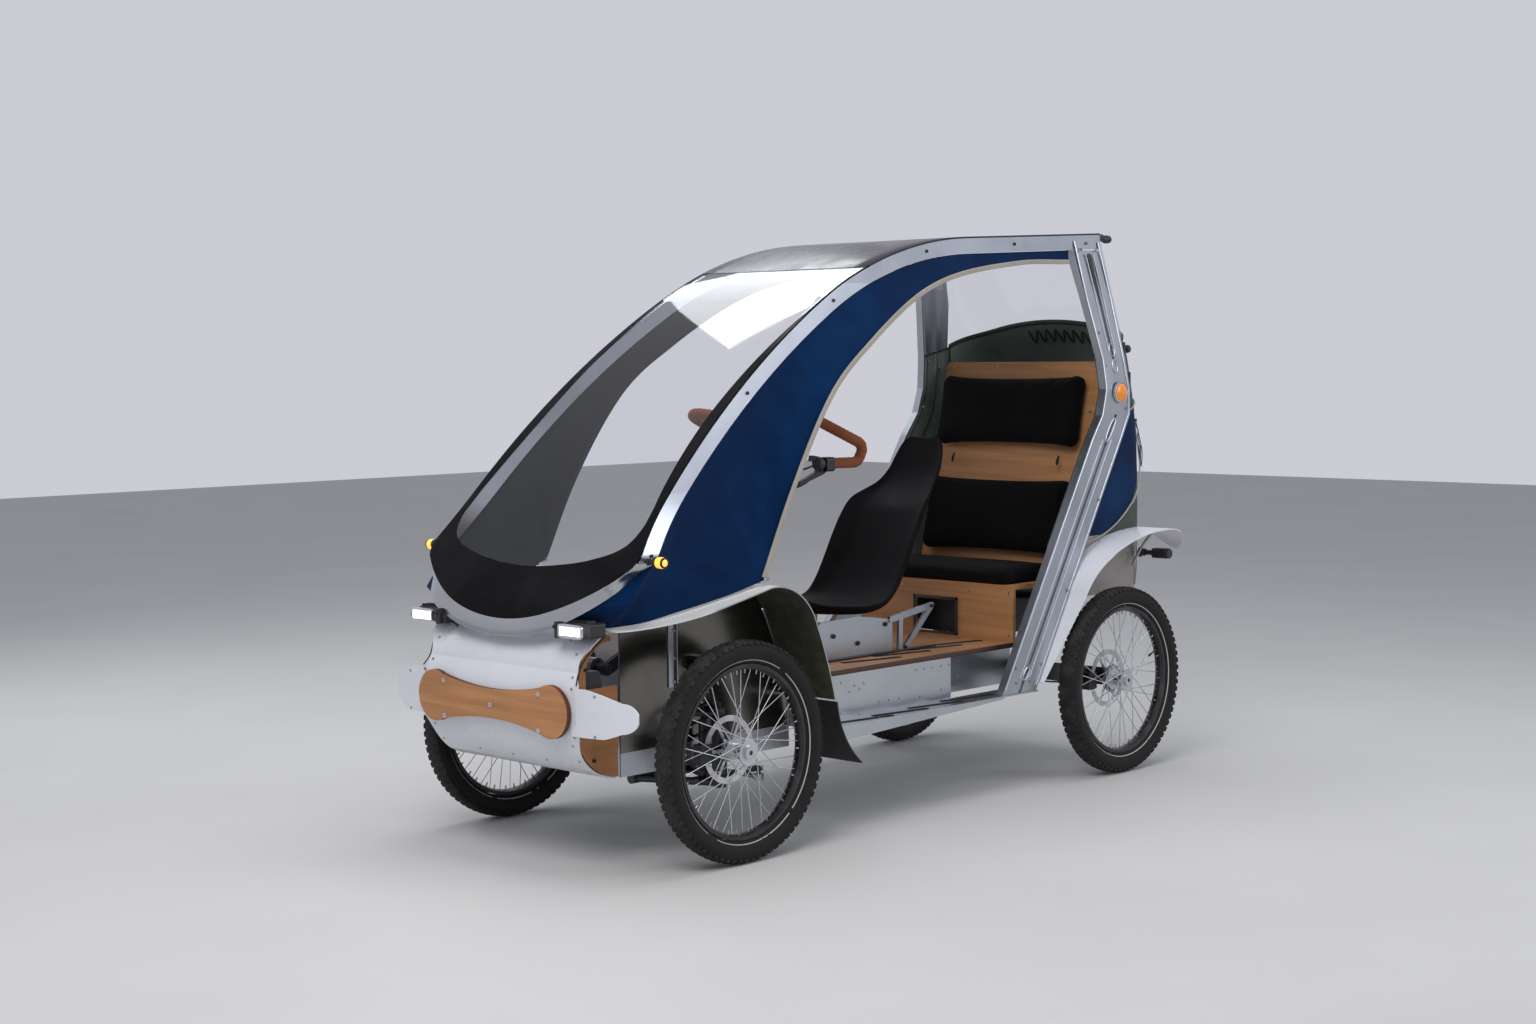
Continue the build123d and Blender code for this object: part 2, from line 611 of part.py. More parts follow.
TRAIL_ARM_INSET = 84.0
TRAIL_ARM_X = REAR_HALF_TRACK - TRAIL_ARM_INSET
TRAIL_ARM_WIDTH = 30.0
CROSS_TUBE_RADIUS = 20.0
TRAIL_ARM_PIVOT = (CHASSIS_REAR + CROSS_TUBE_RADIUS + RAIL_GAP, AXLE_Z + 46.0)
with BuildPart() as rear_suspension:
    with BuildSketch(SIDE.offset(TRAIL_ARM_X)):
        with BuildLine():
            Polyline(
                (TRAIL_ARM_PIVOT[0] - 20, TRAIL_ARM_PIVOT[1] + 24),
                (TRAIL_ARM_PIVOT[0] - 20, TRAIL_ARM_PIVOT[1] - 24),
                (REAR_AXLE_Y + 20, AXLE_Z - 24),
                (REAR_AXLE_Y + 30, AXLE_Z + 24),
                close=True,
            )
        make_face()
    extrude(amount=TRAIL_ARM_WIDTH)
    with BuildSketch(SIDE.offset(TRAIL_ARM_X)):
        with Locations((REAR_AXLE_Y, AXLE_Z)):
            Circle(18)
    extrude(amount=wheel_bearing_face(REAR_HALF_TRACK) - TRAIL_ARM_X)
    with BuildSketch(SIDE.offset(TRAIL_ARM_X)):
        with Locations((REAR_AXLE_Y, AXLE_Z)):
            Circle(AXLE_RADIUS)
    extrude(amount=REAR_HALF_TRACK + AXLE_END - TRAIL_ARM_X)
    add(caliper.part.moved(Location(place(REAR_HALF_TRACK - DISC_OFFSET, REAR_AXLE_Y, AXLE_Z))))
    mirror(about=Plane.YZ)
    with BuildSketch(SIDE.offset(-TRAIL_ARM_X)):
        with Locations(TRAIL_ARM_PIVOT, (REAR_AXLE_Y - 80, AXLE_Z + 10)):
            Circle(CROSS_TUBE_RADIUS)
    extrude(amount=2 * TRAIL_ARM_X)
save("rear_suspension", rear_suspension)

# ---------------------------------------------------------------- chassis, deck and bench
with BuildPart() as chassis_frame:
    with BuildSketch(TOP.offset(WEB_BOTTOM)):
        with BuildLine():
            Polyline(
                (0, DECK_FRONT),
                (DECK_HALF_WIDTH, DECK_FRONT),
                (DECK_HALF_WIDTH, WEB_REAR),
                (RECESS_X, RECESS_Y),
                (RECESS_X, CHASSIS_REAR),
                (0, CHASSIS_REAR),
                close=True,
            )
        make_face()
        mirror(about=Plane.YZ)
    extrude(amount=DECK_TOP - PLY - WEB_BOTTOM)
    offset(amount=-PANEL_THICKNESS, openings=chassis_frame.faces().sort_by(Axis.Z)[-1:])
save("chassis_frame", chassis_frame)

SLOT_LENGTH = 180.0
SLOT_SLANT = 12.0
DECK_SLOT_WIDTH = 9.0
DECK_SLOTS = [  # out and behind the front axle, each slot's middle
    (212, WHEELBASE - 832),
    (190, WHEELBASE - 684),
    (178, WHEELBASE - 534),
    (158, WHEELBASE - 425),
]
with BuildPart() as deck:
    with BuildSketch(TOP.offset(DECK_TOP - PLY)):
        with BuildLine():
            Polyline(
                (0, DECK_FRONT),
                (DECK_HALF_WIDTH, DECK_FRONT),
                (DECK_HALF_WIDTH, BENCH_FRONT),
                (0, BENCH_FRONT),
                close=True,
            )
        make_face()
        mirror(about=Plane.YZ)
    extrude(amount=PLY)
    for slot_x, slot_y in DECK_SLOTS:
        with BuildSketch(TOP.offset(DECK_TOP - PLY)):
            for side in (1, -1):
                with Locations(Location((side * slot_x, slot_y), 90 - side * SLOT_SLANT)):
                    SlotOverall(SLOT_LENGTH, DECK_SLOT_WIDTH)
        extrude(amount=PLY, mode=Mode.SUBTRACT)
save("deck", deck)

BOARD_LIP = 38.0  # depth of the boards' folded outer edge at the front
BOARD_SLOT_WIDTH = 8.0
BOARD_SLOT_SLANT = 8.0
POST_FOOT_WIDTH = 147.0
BOARD_SLOTS = [(338, 518), (332, 662), (322, 814), (310, 958)]  # out and behind the front axle
with BuildPart() as running_boards:
    with BuildSketch(TOP.offset(BOARD_TOP - BOARD_THICKNESS)):
        with BuildLine():
            Polyline(
                (DECK_HALF_WIDTH + RAIL_GAP, BOARD_FRONT - 15),
                (BOARD_OUTER_X, BOARD_FRONT),
                (BOARD_OUTER_X, BOARD_REAR),
                (DECK_HALF_WIDTH + RAIL_GAP, BOARD_REAR),
                close=True,
            )
        make_face()
    extrude(amount=BOARD_THICKNESS)
    for slot_x, slot_y in BOARD_SLOTS:
        with BuildSketch(TOP.offset(BOARD_TOP - BOARD_THICKNESS)):
            with Locations(Location((slot_x, slot_y), 90 - BOARD_SLOT_SLANT)):
                SlotOverall(SLOT_LENGTH, BOARD_SLOT_WIDTH)
        extrude(amount=BOARD_THICKNESS, mode=Mode.SUBTRACT)
    with BuildSketch(SIDE.offset(BOARD_OUTER_X - PANEL_THICKNESS)):
        with BuildLine():
            Polyline(
                (BOARD_FRONT, BOARD_TOP - 1),
                (BOARD_FRONT, BOARD_TOP - BOARD_LIP),
                (BOARD_REAR - POST_FOOT_WIDTH, BOARD_TOP - BOARD_THICKNESS - 4),
                (BOARD_REAR - POST_FOOT_WIDTH, BOARD_TOP - 1),
                close=True,
            )
        make_face()
    extrude(amount=PANEL_THICKNESS)
    mirror(about=Plane.YZ)
save("running_boards", running_boards)

FRONT_FLOOR_FRONT = -234.0
with BuildPart() as front_floor:
    with BuildSketch(TOP.offset(FLOOR_Z - PANEL_THICKNESS)):
        with Locations((0, (FRONT_FLOOR_FRONT + DECK_FRONT) / 2)):
            Rectangle(2 * PANEL_X - 2 * RAIL_GAP, DECK_FRONT - FRONT_FLOOR_FRONT)
    extrude(amount=PANEL_THICKNESS)
    with BuildSketch(FRONT.offset(-DECK_FRONT + PANEL_THICKNESS + RAIL_GAP)):
        with Locations((0, (FLOOR_Z + DECK_TOP) / 2)):
            Rectangle(2 * PANEL_X - 2 * RAIL_GAP, DECK_TOP - FLOOR_Z)
    extrude(amount=PANEL_THICKNESS)
save("front_floor", front_floor)

BACK_LEAN = 12.5
BACK_FOOT = (WHEELBASE - 42.0, 556.0)
BACK_HEIGHT = 600.0
BENCH_HALF_WIDTH = 282.0
BENCH_TOP = 537.0
BACK_PLANE = Plane(
    origin=place(0, *BACK_FOOT),
    x_dir=(1, 0, 0),
    z_dir=(0, -cos(radians(BACK_LEAN)), sin(radians(BACK_LEAN))),
)

with BuildPart() as bench_back:
    with BuildSketch(BACK_PLANE.offset(-PLY)):
        with Locations((0, BACK_HEIGHT / 2)):
            RectangleRounded(2 * BENCH_HALF_WIDTH, BACK_HEIGHT, 12)
    extrude(amount=PLY)
save("bench_back", bench_back)

HATCH = (152.0, 98.0, 439.0)  # width, height, middle height of the opening in the bench front
BENCH_BACK_Y = WHEELBASE - 50.0
with BuildPart() as bench_box:
    with BuildSketch(SIDE.offset(-BENCH_HALF_WIDTH + 10)):
        with BuildLine():
            Polyline(
                (BENCH_FRONT, DECK_TOP),
                (BENCH_FRONT + PLY, DECK_TOP),
                (BENCH_FRONT + PLY, BENCH_TOP - PLY),
                (BENCH_BACK_Y, BENCH_TOP - PLY),
                (BENCH_BACK_Y, BENCH_TOP),
                (BENCH_FRONT, BENCH_TOP),
                close=True,
            )
        make_face()
    extrude(amount=2 * (BENCH_HALF_WIDTH - 10))
    with BuildSketch(FRONT.offset(-BENCH_FRONT)):
        with Locations((0, HATCH[2])):
            RectangleRounded(HATCH[0], HATCH[1], 10)
    extrude(amount=PLY + 1, both=True, mode=Mode.SUBTRACT)
save("bench_box", bench_box)

CUSHION_GAP = 0.3
CUSHION_HALF_WIDTH = 268.0
BACK_CUSHION = 42.0
BACK_CUSHIONS = [  # name, bottom and top measured up the backrest
    ("lower_back_cushion", 28.0, 262.0),
    ("upper_back_cushion", 340.0, 560.0),
]
for name, low, high in BACK_CUSHIONS:
    with BuildPart() as cushion:
        with BuildSketch(BACK_PLANE.offset(CUSHION_GAP)):
            with Locations((0, (low + high) / 2)):
                RectangleRounded(2 * CUSHION_HALF_WIDTH, high - low, 30)
        extrude(amount=BACK_CUSHION)
    save(name, cushion)

SEAT_CUSHION = 48.0
SEAT_CUSHION_REAR = WHEELBASE - 90.0
with BuildPart() as seat_cushion:
    with BuildSketch(TOP.offset(BENCH_TOP + CUSHION_GAP)):
        with Locations((0, (BENCH_FRONT - 20 + SEAT_CUSHION_REAR) / 2)):
            RectangleRounded(2 * CUSHION_HALF_WIDTH, SEAT_CUSHION_REAR - BENCH_FRONT + 20, 24)
    extrude(amount=SEAT_CUSHION)
save("seat_cushion", seat_cushion)

BATTERY = (300.0, 190.0, 96.0)
with BuildPart() as battery_pack:
    with BuildSketch(TOP.offset(DECK_TOP + 4)):
        with Locations((0, BENCH_FRONT + 60 + BATTERY[1] / 2)):
            RectangleRounded(BATTERY[0], BATTERY[1], 12)
    extrude(amount=BATTERY[2])
save("battery_pack", battery_pack)

# ---------------------------------------------------------------- rider's bucket seat
SEAT_SECTIONS = [  # distance behind the axle, height, half width, along the seat's front face
    (560, 545, 132),
    (700, 520, 150),
    (840, 520, 155),
    (920, 592, 152),
    (962, 668, 150),
    (1016, 756, 148),
    (1082, 806, 106),
    (1122, 846, 92),
    (1147, 896, 82),
    (1162, 942, 58),
]
SEAT_SHELL = 26.0
SEAT_WING = 34.0
with BuildPart() as driver_seat:
    for index, (y, z, half) in enumerate(SEAT_SECTIONS):
        before = SEAT_SECTIONS[max(index - 1, 0)]
        after = SEAT_SECTIONS[min(index + 1, len(SEAT_SECTIONS) - 1)]
        run = Vector(0, after[0] - before[0], after[1] - before[1]).normalized()
        with BuildSketch(Plane(origin=place(0, y, z), x_dir=(1, 0, 0), z_dir=run)):
            with BuildLine():
                wing = SEAT_WING if 0 < index < len(SEAT_SECTIONS) - 1 else SEAT_WING * 0.35
                Polyline(
                    (-half + 24, 0),
                    (half - 24, 0),
                    (half - 8, -wing),
                    (half, -wing),
                    (half - 4, SEAT_SHELL * 0.5),
                    (half - 30, SEAT_SHELL),
                    (-half + 30, SEAT_SHELL),
                    (-half + 4, SEAT_SHELL * 0.5),
                    (-half, -wing),
                    (-half + 8, -wing),
                    close=True,
                )
            make_face()
    loft(ruled=True)
save("driver_seat", driver_seat)

RAIL_X = 150.0
STRUT_WIDTH = 16.0
STRUT_THICKNESS = 8.0
RAIL_STRUTS = [((832, 470), (1000, 494)), ((884, 384), (1000, 494)), ((868, 384), (872, 478))]  # foot and head
with BuildPart() as seat_rail:
    with BuildSketch(SIDE.offset(RAIL_X)):
        with BuildLine():
            Polyline(
                (520, DECK_TOP),
                (840, DECK_TOP),
                (840, 470),
                (760, 482),
                (700, 490),
                (560, 486),
                (520, 450),
                close=True,
            )
        make_face()
    extrude(amount=4)
    for foot, head in RAIL_STRUTS:
        run = Vector(head[0] - foot[0], head[1] - foot[1])
        middle = ((foot[0] + head[0]) / 2, (foot[1] + head[1]) / 2)
        with BuildSketch(SIDE.offset(RAIL_X)):
            with Locations(Location(middle, degrees(atan2(run.Y, run.X)))):
                SlotOverall(run.length + STRUT_WIDTH, STRUT_WIDTH)
        extrude(amount=STRUT_THICKNESS)
    split(bisect_by=TOP.offset(DECK_TOP), keep=Keep.TOP)
    mirror(about=Plane.YZ)
    with BuildSketch(SIDE.offset(-RAIL_X)):
        with Locations((560, 440), (800, 440)):
            Circle(9)
    extrude(amount=2 * RAIL_X)
save("seat_rail", seat_rail)

# ---------------------------------------------------------------- nose
NOSE_TOP = (-298.0, 552.0)
NOSE_NECK = (-362.0, 465.0)
NOSE_BELLY = (-384.0, 372.0)
NOSE_SILL = (-245.0, FLOOR_Z - 4.0)
NOSE_HALF_WIDTH = 259.0
NOSE_TOP_HALF_WIDTH = 292.0
LOBE_TIP = (FRONT_HALF_TRACK + 14.0, -334.0, 380.0)
LOBE_HALF_HEIGHT = 44.0
LOBE_SHOULDER_X = LOBE_TIP[0] - 35.0
LOBE_NECK_X = LOBE_TIP[0] - 90.0
NOSE_CHIN = (-366.0, 300.0)
NOSE_RUNS = [  # the nose sheet's outer face, from under the hoop down to the sill
    (NOSE_TOP, (-342, 518), NOSE_NECK),
    (NOSE_NECK, NOSE_BELLY, NOSE_CHIN),
    (NOSE_CHIN, (-322, 240), NOSE_SILL),
]

with BuildPart() as nose_panel:
    with BuildSketch(SIDE):
        with BuildLine():
            sheet_outline(NOSE_RUNS, SHEET)
        make_face()
    extrude(amount=NOSE_TOP_HALF_WIDTH, both=True)
    with BuildSketch(FRONT):
        with BuildLine():
            Polyline(
                (0, NOSE_TOP[1] + 10),
                (NOSE_TOP_HALF_WIDTH, NOSE_TOP[1] + 10),
                (NOSE_TOP_HALF_WIDTH - 12, 516),
            )
            ThreePointArc((NOSE_TOP_HALF_WIDTH - 12, 516), (NOSE_HALF_WIDTH + 2, 478), (276, 438))
            Polyline((276, 438), (276, 318))
            ThreePointArc((276, 318), (NOSE_HALF_WIDTH + 3, 285), (NOSE_HALF_WIDTH, 240))
            Polyline(
                (NOSE_HALF_WIDTH, 240),
                (NOSE_HALF_WIDTH, NOSE_SILL[1] - 10),
                (0, NOSE_SILL[1] - 10),
                (0, NOSE_TOP[1] + 10),
            )
        make_face()
        mirror(about=Plane.YZ)
    extrude(amount=WIDE, both=True, mode=Mode.INTERSECT)
    with BuildPart(mode=Mode.PRIVATE) as lobe:
        with BuildSketch(TOP.offset(LOBE_TIP[2] - LOBE_HALF_HEIGHT - 10)):
            with BuildLine():
                sheet_outline([((262, -382), (350, -369), LOBE_TIP[:2])], SHEET)
            make_face()
        extrude(amount=2 * LOBE_HALF_HEIGHT + 20)
        with BuildSketch(FRONT):
            with BuildLine():
                Polyline((230, 438), (276, 438))
                ThreePointArc((276, 438), (LOBE_NECK_X, 426), (LOBE_SHOULDER_X, 408))
                ThreePointArc((LOBE_SHOULDER_X, 408), (LOBE_TIP[0], LOBE_TIP[2] - 8), (LOBE_SHOULDER_X, 340))
                ThreePointArc((LOBE_SHOULDER_X, 340), (LOBE_NECK_X, 323), (276, 318))
                Polyline((276, 318), (230, 318), (230, 438))
            make_face()
        extrude(amount=WIDE, both=True, mode=Mode.INTERSECT)
    add(lobe.part)
    add(mirror(lobe.part, about=Plane.YZ))
save("nose_panel", nose_panel)

CHEEK_THICKNESS = 12.0
with BuildPart() as nose_cheeks:
    with BuildSketch(SIDE.offset(PANEL_X - RAIL_GAP - CHEEK_THICKNESS)):
        with BuildLine():
            ThreePointArc((-292, 540), (-336, 512), (-356, 465))
            Line((-356, 465), (-362, 440))
            ThreePointArc((-362, 440), (-379, 372), (-362, 303))
            ThreePointArc((-362, 303), (-319, 244), (-243, FLOOR_Z + 1))
            Polyline((-243, FLOOR_Z + 1), (-242, 425), (-338, 425), (-338, 462))
            ThreePointArc((-338, 462), (-316, 508), (-262, 528))
            Polyline((-262, 528), (-262, 540), (-292, 540))
        make_face()
    extrude(amount=CHEEK_THICKNESS)
    mirror(about=Plane.YZ)
save("nose_cheeks", nose_cheeks)

PLATE_THICKNESS = 12.0
PLATE_END = (205.0, 376.0, 61.0)  # centre out, height, radius of each rounded end
PLATE_WAIST = 34.0
with BuildPart() as bumper_plate:
    with BuildSketch(FRONT.offset(FRONT_REACH - PLATE_THICKNESS)):
        with Locations((PLATE_END[0], PLATE_END[1]), (-PLATE_END[0], PLATE_END[1])):
            Circle(PLATE_END[2])
        with BuildLine():
            upper = ThreePointArc(
                (-PLATE_END[0], PLATE_END[1] + PLATE_END[2]),
                (0, PLATE_END[1] + PLATE_WAIST),
                (PLATE_END[0], PLATE_END[1] + PLATE_END[2]),
            )
            lower = ThreePointArc(
                (-PLATE_END[0], PLATE_END[1] - PLATE_END[2]),
                (0, PLATE_END[1] - PLATE_WAIST),
                (PLATE_END[0], PLATE_END[1] - PLATE_END[2]),
            )
            Line(upper @ 0, lower @ 0)
            Line(upper @ 1, lower @ 1)
        make_face()
    extrude(amount=PLATE_THICKNESS)
save("bumper_plate", bumper_plate)

LAMP = (265.0, -362.0, 561.0)
LAMP_SIZE = (82.0, 46.0, 34.0)
with BuildPart() as headlights:
    with BuildSketch(FRONT.offset(-LAMP[1] - LAMP_SIZE[1])):
        with Locations((LAMP[0], LAMP[2])):
            RectangleRounded(LAMP_SIZE[0], LAMP_SIZE[2], 6)
    extrude(amount=LAMP_SIZE[1])
    with BuildSketch(TOP.offset(LAMP[2] - LAMP_SIZE[2] / 2 - 3)):
        with Locations((LAMP[0] - 30, LAMP[1] + 36)):
            Rectangle(20, 14)
    extrude(amount=6)
    mirror(about=Plane.YZ)
save("headlights", headlights)

# ---------------------------------------------------------------- front wings, flaps and arch panels
GUARD_OUTER = FRONT_HALF_TRACK + 12.0
FLAP_INNER = DECK_HALF_WIDTH + 12.0
WING_RUNS = [  # upper face of the wing and mudguard, from the nose back and down
    ((-292, 556), (-100, 592), (95, 632)),
    ((95, 632), (192, 607), (250, 530)),
    ((250, 530), (290, 425), (312, 345)),
]
FLAP_RUNS = [((316, 338), (338, 262), (405, 178))]
with BuildPart() as front_wings:
    with BuildSketch(SIDE.offset(PANEL_X + PANEL_THICKNESS + RAIL_GAP)):
        with BuildLine():
            sheet_outline(WING_RUNS, -SHEET)
        make_face()
    extrude(amount=GUARD_OUTER - PANEL_X - PANEL_THICKNESS - RAIL_GAP)
    with BuildSketch(TOP.offset(WEB_BOTTOM)):
        with BuildLine():
            Polyline(
                (PANEL_X, -320),
                (292, -305),
                (340, -276),
            )
            ThreePointArc((340, -276), (400, -200), (GUARD_OUTER, -90))
            Polyline((GUARD_OUTER, -90), (GUARD_OUTER, 340), (PANEL_X, 340), (PANEL_X, -320))
        make_face()
    extrude(amount=WIDE, mode=Mode.INTERSECT)
    mirror(about=Plane.YZ)
save("front_wings", front_wings)

with BuildPart() as mud_flaps:
    with BuildSketch(SIDE.offset(FLAP_INNER)):
        with BuildLine():
            sheet_outline(FLAP_RUNS, SHEET)
        make_face()
    extrude(amount=GUARD_OUTER - FLAP_INNER)
    mirror(about=Plane.YZ)
save("mud_flaps", mud_flaps)

ARCH_BOTTOM = FLOOR_Z - PANEL_THICKNESS
with BuildPart() as arch_panels:
    with BuildSketch(SIDE.offset(PANEL_X)):
        with BuildLine():
            Polyline(
                (-239, ARCH_BOTTOM),
                (DECK_FRONT - 2, ARCH_BOTTOM),
                (DECK_FRONT - 2, DECK_TOP - 2),
                (238, 540),
                (205, 598),
                (110, 628),
            )
            ThreePointArc((110, 628), (-90, 590), (-239, 558))
            Polyline((-239, 558), (-239, ARCH_BOTTOM))
        make_face()
    extrude(amount=PANEL_THICKNESS)
    mirror(about=Plane.YZ)
save("arch_panels", arch_panels)

# ---------------------------------------------------------------- rear posts
POST_THICKNESS = 22.0
POST_FRONT_TOP = WHEELBASE - 70.0
POST_TOP = rail_bottom(POST_FRONT_TOP) - RAIL_GAP
POST_SECTIONS = [  # height, outer face out, front edge and rear edge behind the front axle
    (POST_TOP, ROOF_HALF_WIDTH, POST_FRONT_TOP, WHEELBASE + 54),
    (1312, 308, WHEELBASE - 27, WHEELBASE + 98),
    (1149, 333, WHEELBASE + 12, WHEELBASE + 120),
    (1065, 342, WHEELBASE + 18, WHEELBASE + 132),
    (993, 344, WHEELBASE - 5, WHEELBASE + 131),
    (928, 346, WHEELBASE - 55, WHEELBASE + 92),
    (BOARD_TOP + RAIL_GAP, 360, POST_FOOT_REAR - POST_FOOT_WIDTH, POST_FOOT_REAR),
]
GROOVE_WIDTH = 12.0
GROOVE_DEPTH = 7.0
POST_GROOVES = [(1, 2), (4, 6)]  # first and last section that each groove runs through
with BuildPart() as rear_posts:
    for z, x, y_front, y_rear in POST_SECTIONS:
        with BuildSketch(TOP.offset(z)):
            Polygon(
                (x - POST_THICKNESS, y_front),
                (x, y_front),
                (x, y_rear),
                (x - POST_THICKNESS, y_rear),
                align=None,
            )
    loft(ruled=True)
    for top, bottom in POST_GROOVES:
        with BuildPart(mode=Mode.PRIVATE) as groove:
            for z, x, y_front, y_rear in POST_SECTIONS[top : bottom + 1]:
                middle = (y_front + y_rear) / 2
                with BuildSketch(TOP.offset(z)):
                    with Locations((x, middle)):
                        Rectangle(2 * GROOVE_DEPTH, GROOVE_WIDTH)
            loft(ruled=True)
        add(groove.part, mode=Mode.SUBTRACT)
    mirror(about=Plane.YZ)
save("rear_posts", rear_posts)

# ---------------------------------------------------------------- rear canvas body and window
TRUNK_SECTIONS = [  # height, half width, rear face behind the front axle
    (486, 306, WHEELBASE + 275),
    (820, 312, WHEELBASE + 282),
    (1030, 310, WHEELBASE + 265),
    (1190, 300, WHEELBASE + 232),
    (1258, 297, WHEELBASE + 195),
]
TRUNK_CORNER = 100.0
TRUNK_SIDE_TOP = 1190.0
TRUNK_CROWN = 1256.0
POST_GAP = 3.5  # the rear body starts this far behind the posts
TRUNK_FRONT_CUT = [(y_rear + POST_GAP, z) for z, x, y_front, y_rear in reversed(POST_SECTIONS[1:])]
TRUNK_FRONT_CUT.append((ROOF_REAR + 2, rail_bottom(ROOF_REAR) - 16))
TRUNK_FRONT_CUT.append((ROOF_REAR + 2, screen_height(ROOF_REAR)))
WINDOW_TOP = (1492, 288, WHEELBASE + 72)
WINDOW_THICKNESS = 2.0


def body_outline(half, rear, inset):
    """Draws the plan outline of the rear body, rounded at its rear corners."""
    corner = min(TRUNK_CORNER, rear - TRUNK_FRONT_CUT[-1][0]) - inset
    half = half - inset
    rear = rear - inset
    bend = corner * (1 - sin(radians(45)))
    Line((-half, BENCH_FRONT), (-half, rear - corner))
    ThreePointArc((-half, rear - corner), (-half + bend, rear - bend), (-half + corner, rear))
    Line((-half + corner, rear), (half - corner, rear))
    ThreePointArc((half - corner, rear), (half - bend, rear - bend), (half, rear - corner))
    Line((half, rear - corner), (half, BENCH_FRONT))
    Line((half, BENCH_FRONT), (-half, BENCH_FRONT))


def front_cut():
    """Draws the side view of everything behind the rear posts."""
    top = TRUNK_FRONT_CUT[-1][1]
    foot = TRUNK_FRONT_CUT[0][1]
    beyond = REAR_REACH + REAR_OVERHANG
    Polyline(*TRUNK_FRONT_CUT, (beyond, top), (beyond, foot), close=True)


def crown_arch(lift):
    """Draws the front view of everything below the arched top edge of the rear body."""
    spring = TRUNK_SIDE_TOP - 12 + lift
    arch = ThreePointArc((-330, spring), (0, TRUNK_CROWN + lift), (330, spring))
    Polyline(arch @ 1, (330, 400), (-330, 400), arch @ 0)


with BuildPart() as rear_canvas:
    for z, half, rear in TRUNK_SECTIONS:
        with BuildSketch(TOP.offset(z)):
            with BuildLine():
                body_outline(half, rear, 0)
            make_face()
    loft(ruled=True)
    with BuildPart(mode=Mode.PRIVATE) as hollow:
        for index, (z, half, rear) in enumerate(TRUNK_SECTIONS):
            floor = CANVAS_THICKNESS if index == 0 else 0
            with BuildSketch(TOP.offset(z + floor)):
                with BuildLine():
                    body_outline(half, rear, CANVAS_THICKNESS)
                make_face()
        loft(ruled=True)
    add(hollow.part, mode=Mode.SUBTRACT)
    with BuildSketch(SIDE):
        with BuildLine():
            front_cut()
        make_face()
    extrude(amount=WIDE, both=True, mode=Mode.INTERSECT)
    with BuildSketch(FRONT.offset(-REAR_REACH)):
        with BuildLine():
            crown_arch(0)
        make_face()
    extrude(amount=REAR_REACH, mode=Mode.INTERSECT)
save("rear_canvas", rear_canvas)

with BuildPart() as rear_window:
    for z, half, rear in (TRUNK_SECTIONS[-2], WINDOW_TOP):
        with BuildSketch(TOP.offset(z)):
            with BuildLine():
                body_outline(half, rear, 0)
            make_face()
    loft(ruled=True)
    with BuildPart(mode=Mode.PRIVATE) as hollow:
        for z, half, rear in (TRUNK_SECTIONS[-2], WINDOW_TOP):
            with BuildSketch(TOP.offset(z)):
                with BuildLine():
                    body_outline(half, rear, WINDOW_THICKNESS)
                make_face()
        loft(ruled=True)
    add(hollow.part, mode=Mode.SUBTRACT)
    with BuildSketch(SIDE):
        with BuildLine():
            front_cut()
        make_face()
    extrude(amount=WIDE, both=True, mode=Mode.INTERSECT)
    with BuildSketch(FRONT.offset(-REAR_REACH)):
        with BuildLine():
            crown_arch(RAIL_GAP)
        make_face()
    extrude(amount=REAR_REACH, mode=Mode.SUBTRACT)
save("rear_window", rear_window)

# ---------------------------------------------------------------- rear fenders
FENDER_INNER = 322.0
FENDER_RISE_END = (FENDER_FRONT + 140, 504)
FENDER_CREST = (WHEELBASE - 38, 627)
FENDER_BACK = (WHEELBASE + 172, 668)
FENDER_RUNS = [  # upper face, from the post's foot up and back over the wheel
    ((FENDER_FRONT, BOARD_TOP + 20), FENDER_RISE_END),
    (FENDER_RISE_END, (WHEELBASE - 118, 579), FENDER_CREST),
    (FENDER_CREST, (WHEELBASE + 80, 659), FENDER_BACK),
    (FENDER_BACK, (REAR_REACH - 66, 654), (REAR_REACH, 604)),
]
FENDER_TIP = 372.0
FENDER_OUTER = REAR_HALF_TRACK + 32.0
FENDER_CUT_FRONT = FENDER_FRONT - 17.0
with BuildPart() as rear_fenders:
    with BuildSketch(SIDE.offset(FENDER_INNER)):
        with BuildLine():
            sheet_outline(FENDER_RUNS, -SHEET)
        make_face()
    extrude(amount=FENDER_OUTER - FENDER_INNER + 8)
    with BuildSketch(TOP):
        with BuildLine():
            Line((FENDER_INNER, FENDER_CUT_FRONT), (368, FENDER_CUT_FRONT))
            ThreePointArc((368, FENDER_CUT_FRONT), (404, FENDER_FRONT + 113), (FENDER_OUTER - 2, WHEELBASE - 80))
            Line((FENDER_OUTER - 2, WHEELBASE - 80), (FENDER_OUTER, WHEELBASE + 170))
            ThreePointArc((FENDER_OUTER, WHEELBASE + 170), (421, REAR_REACH - 50), (FENDER_TIP, REAR_REACH))
            ThreePointArc((FENDER_TIP, REAR_REACH), (334, REAR_REACH - 20), (FENDER_INNER, REAR_REACH - 60))
            Line((FENDER_INNER, REAR_REACH - 60), (FENDER_INNER, FENDER_CUT_FRONT))
        make_face()
    extrude(amount=WIDE, mode=Mode.INTERSECT)
    mirror(about=Plane.YZ)
save("rear_fenders", rear_fenders)

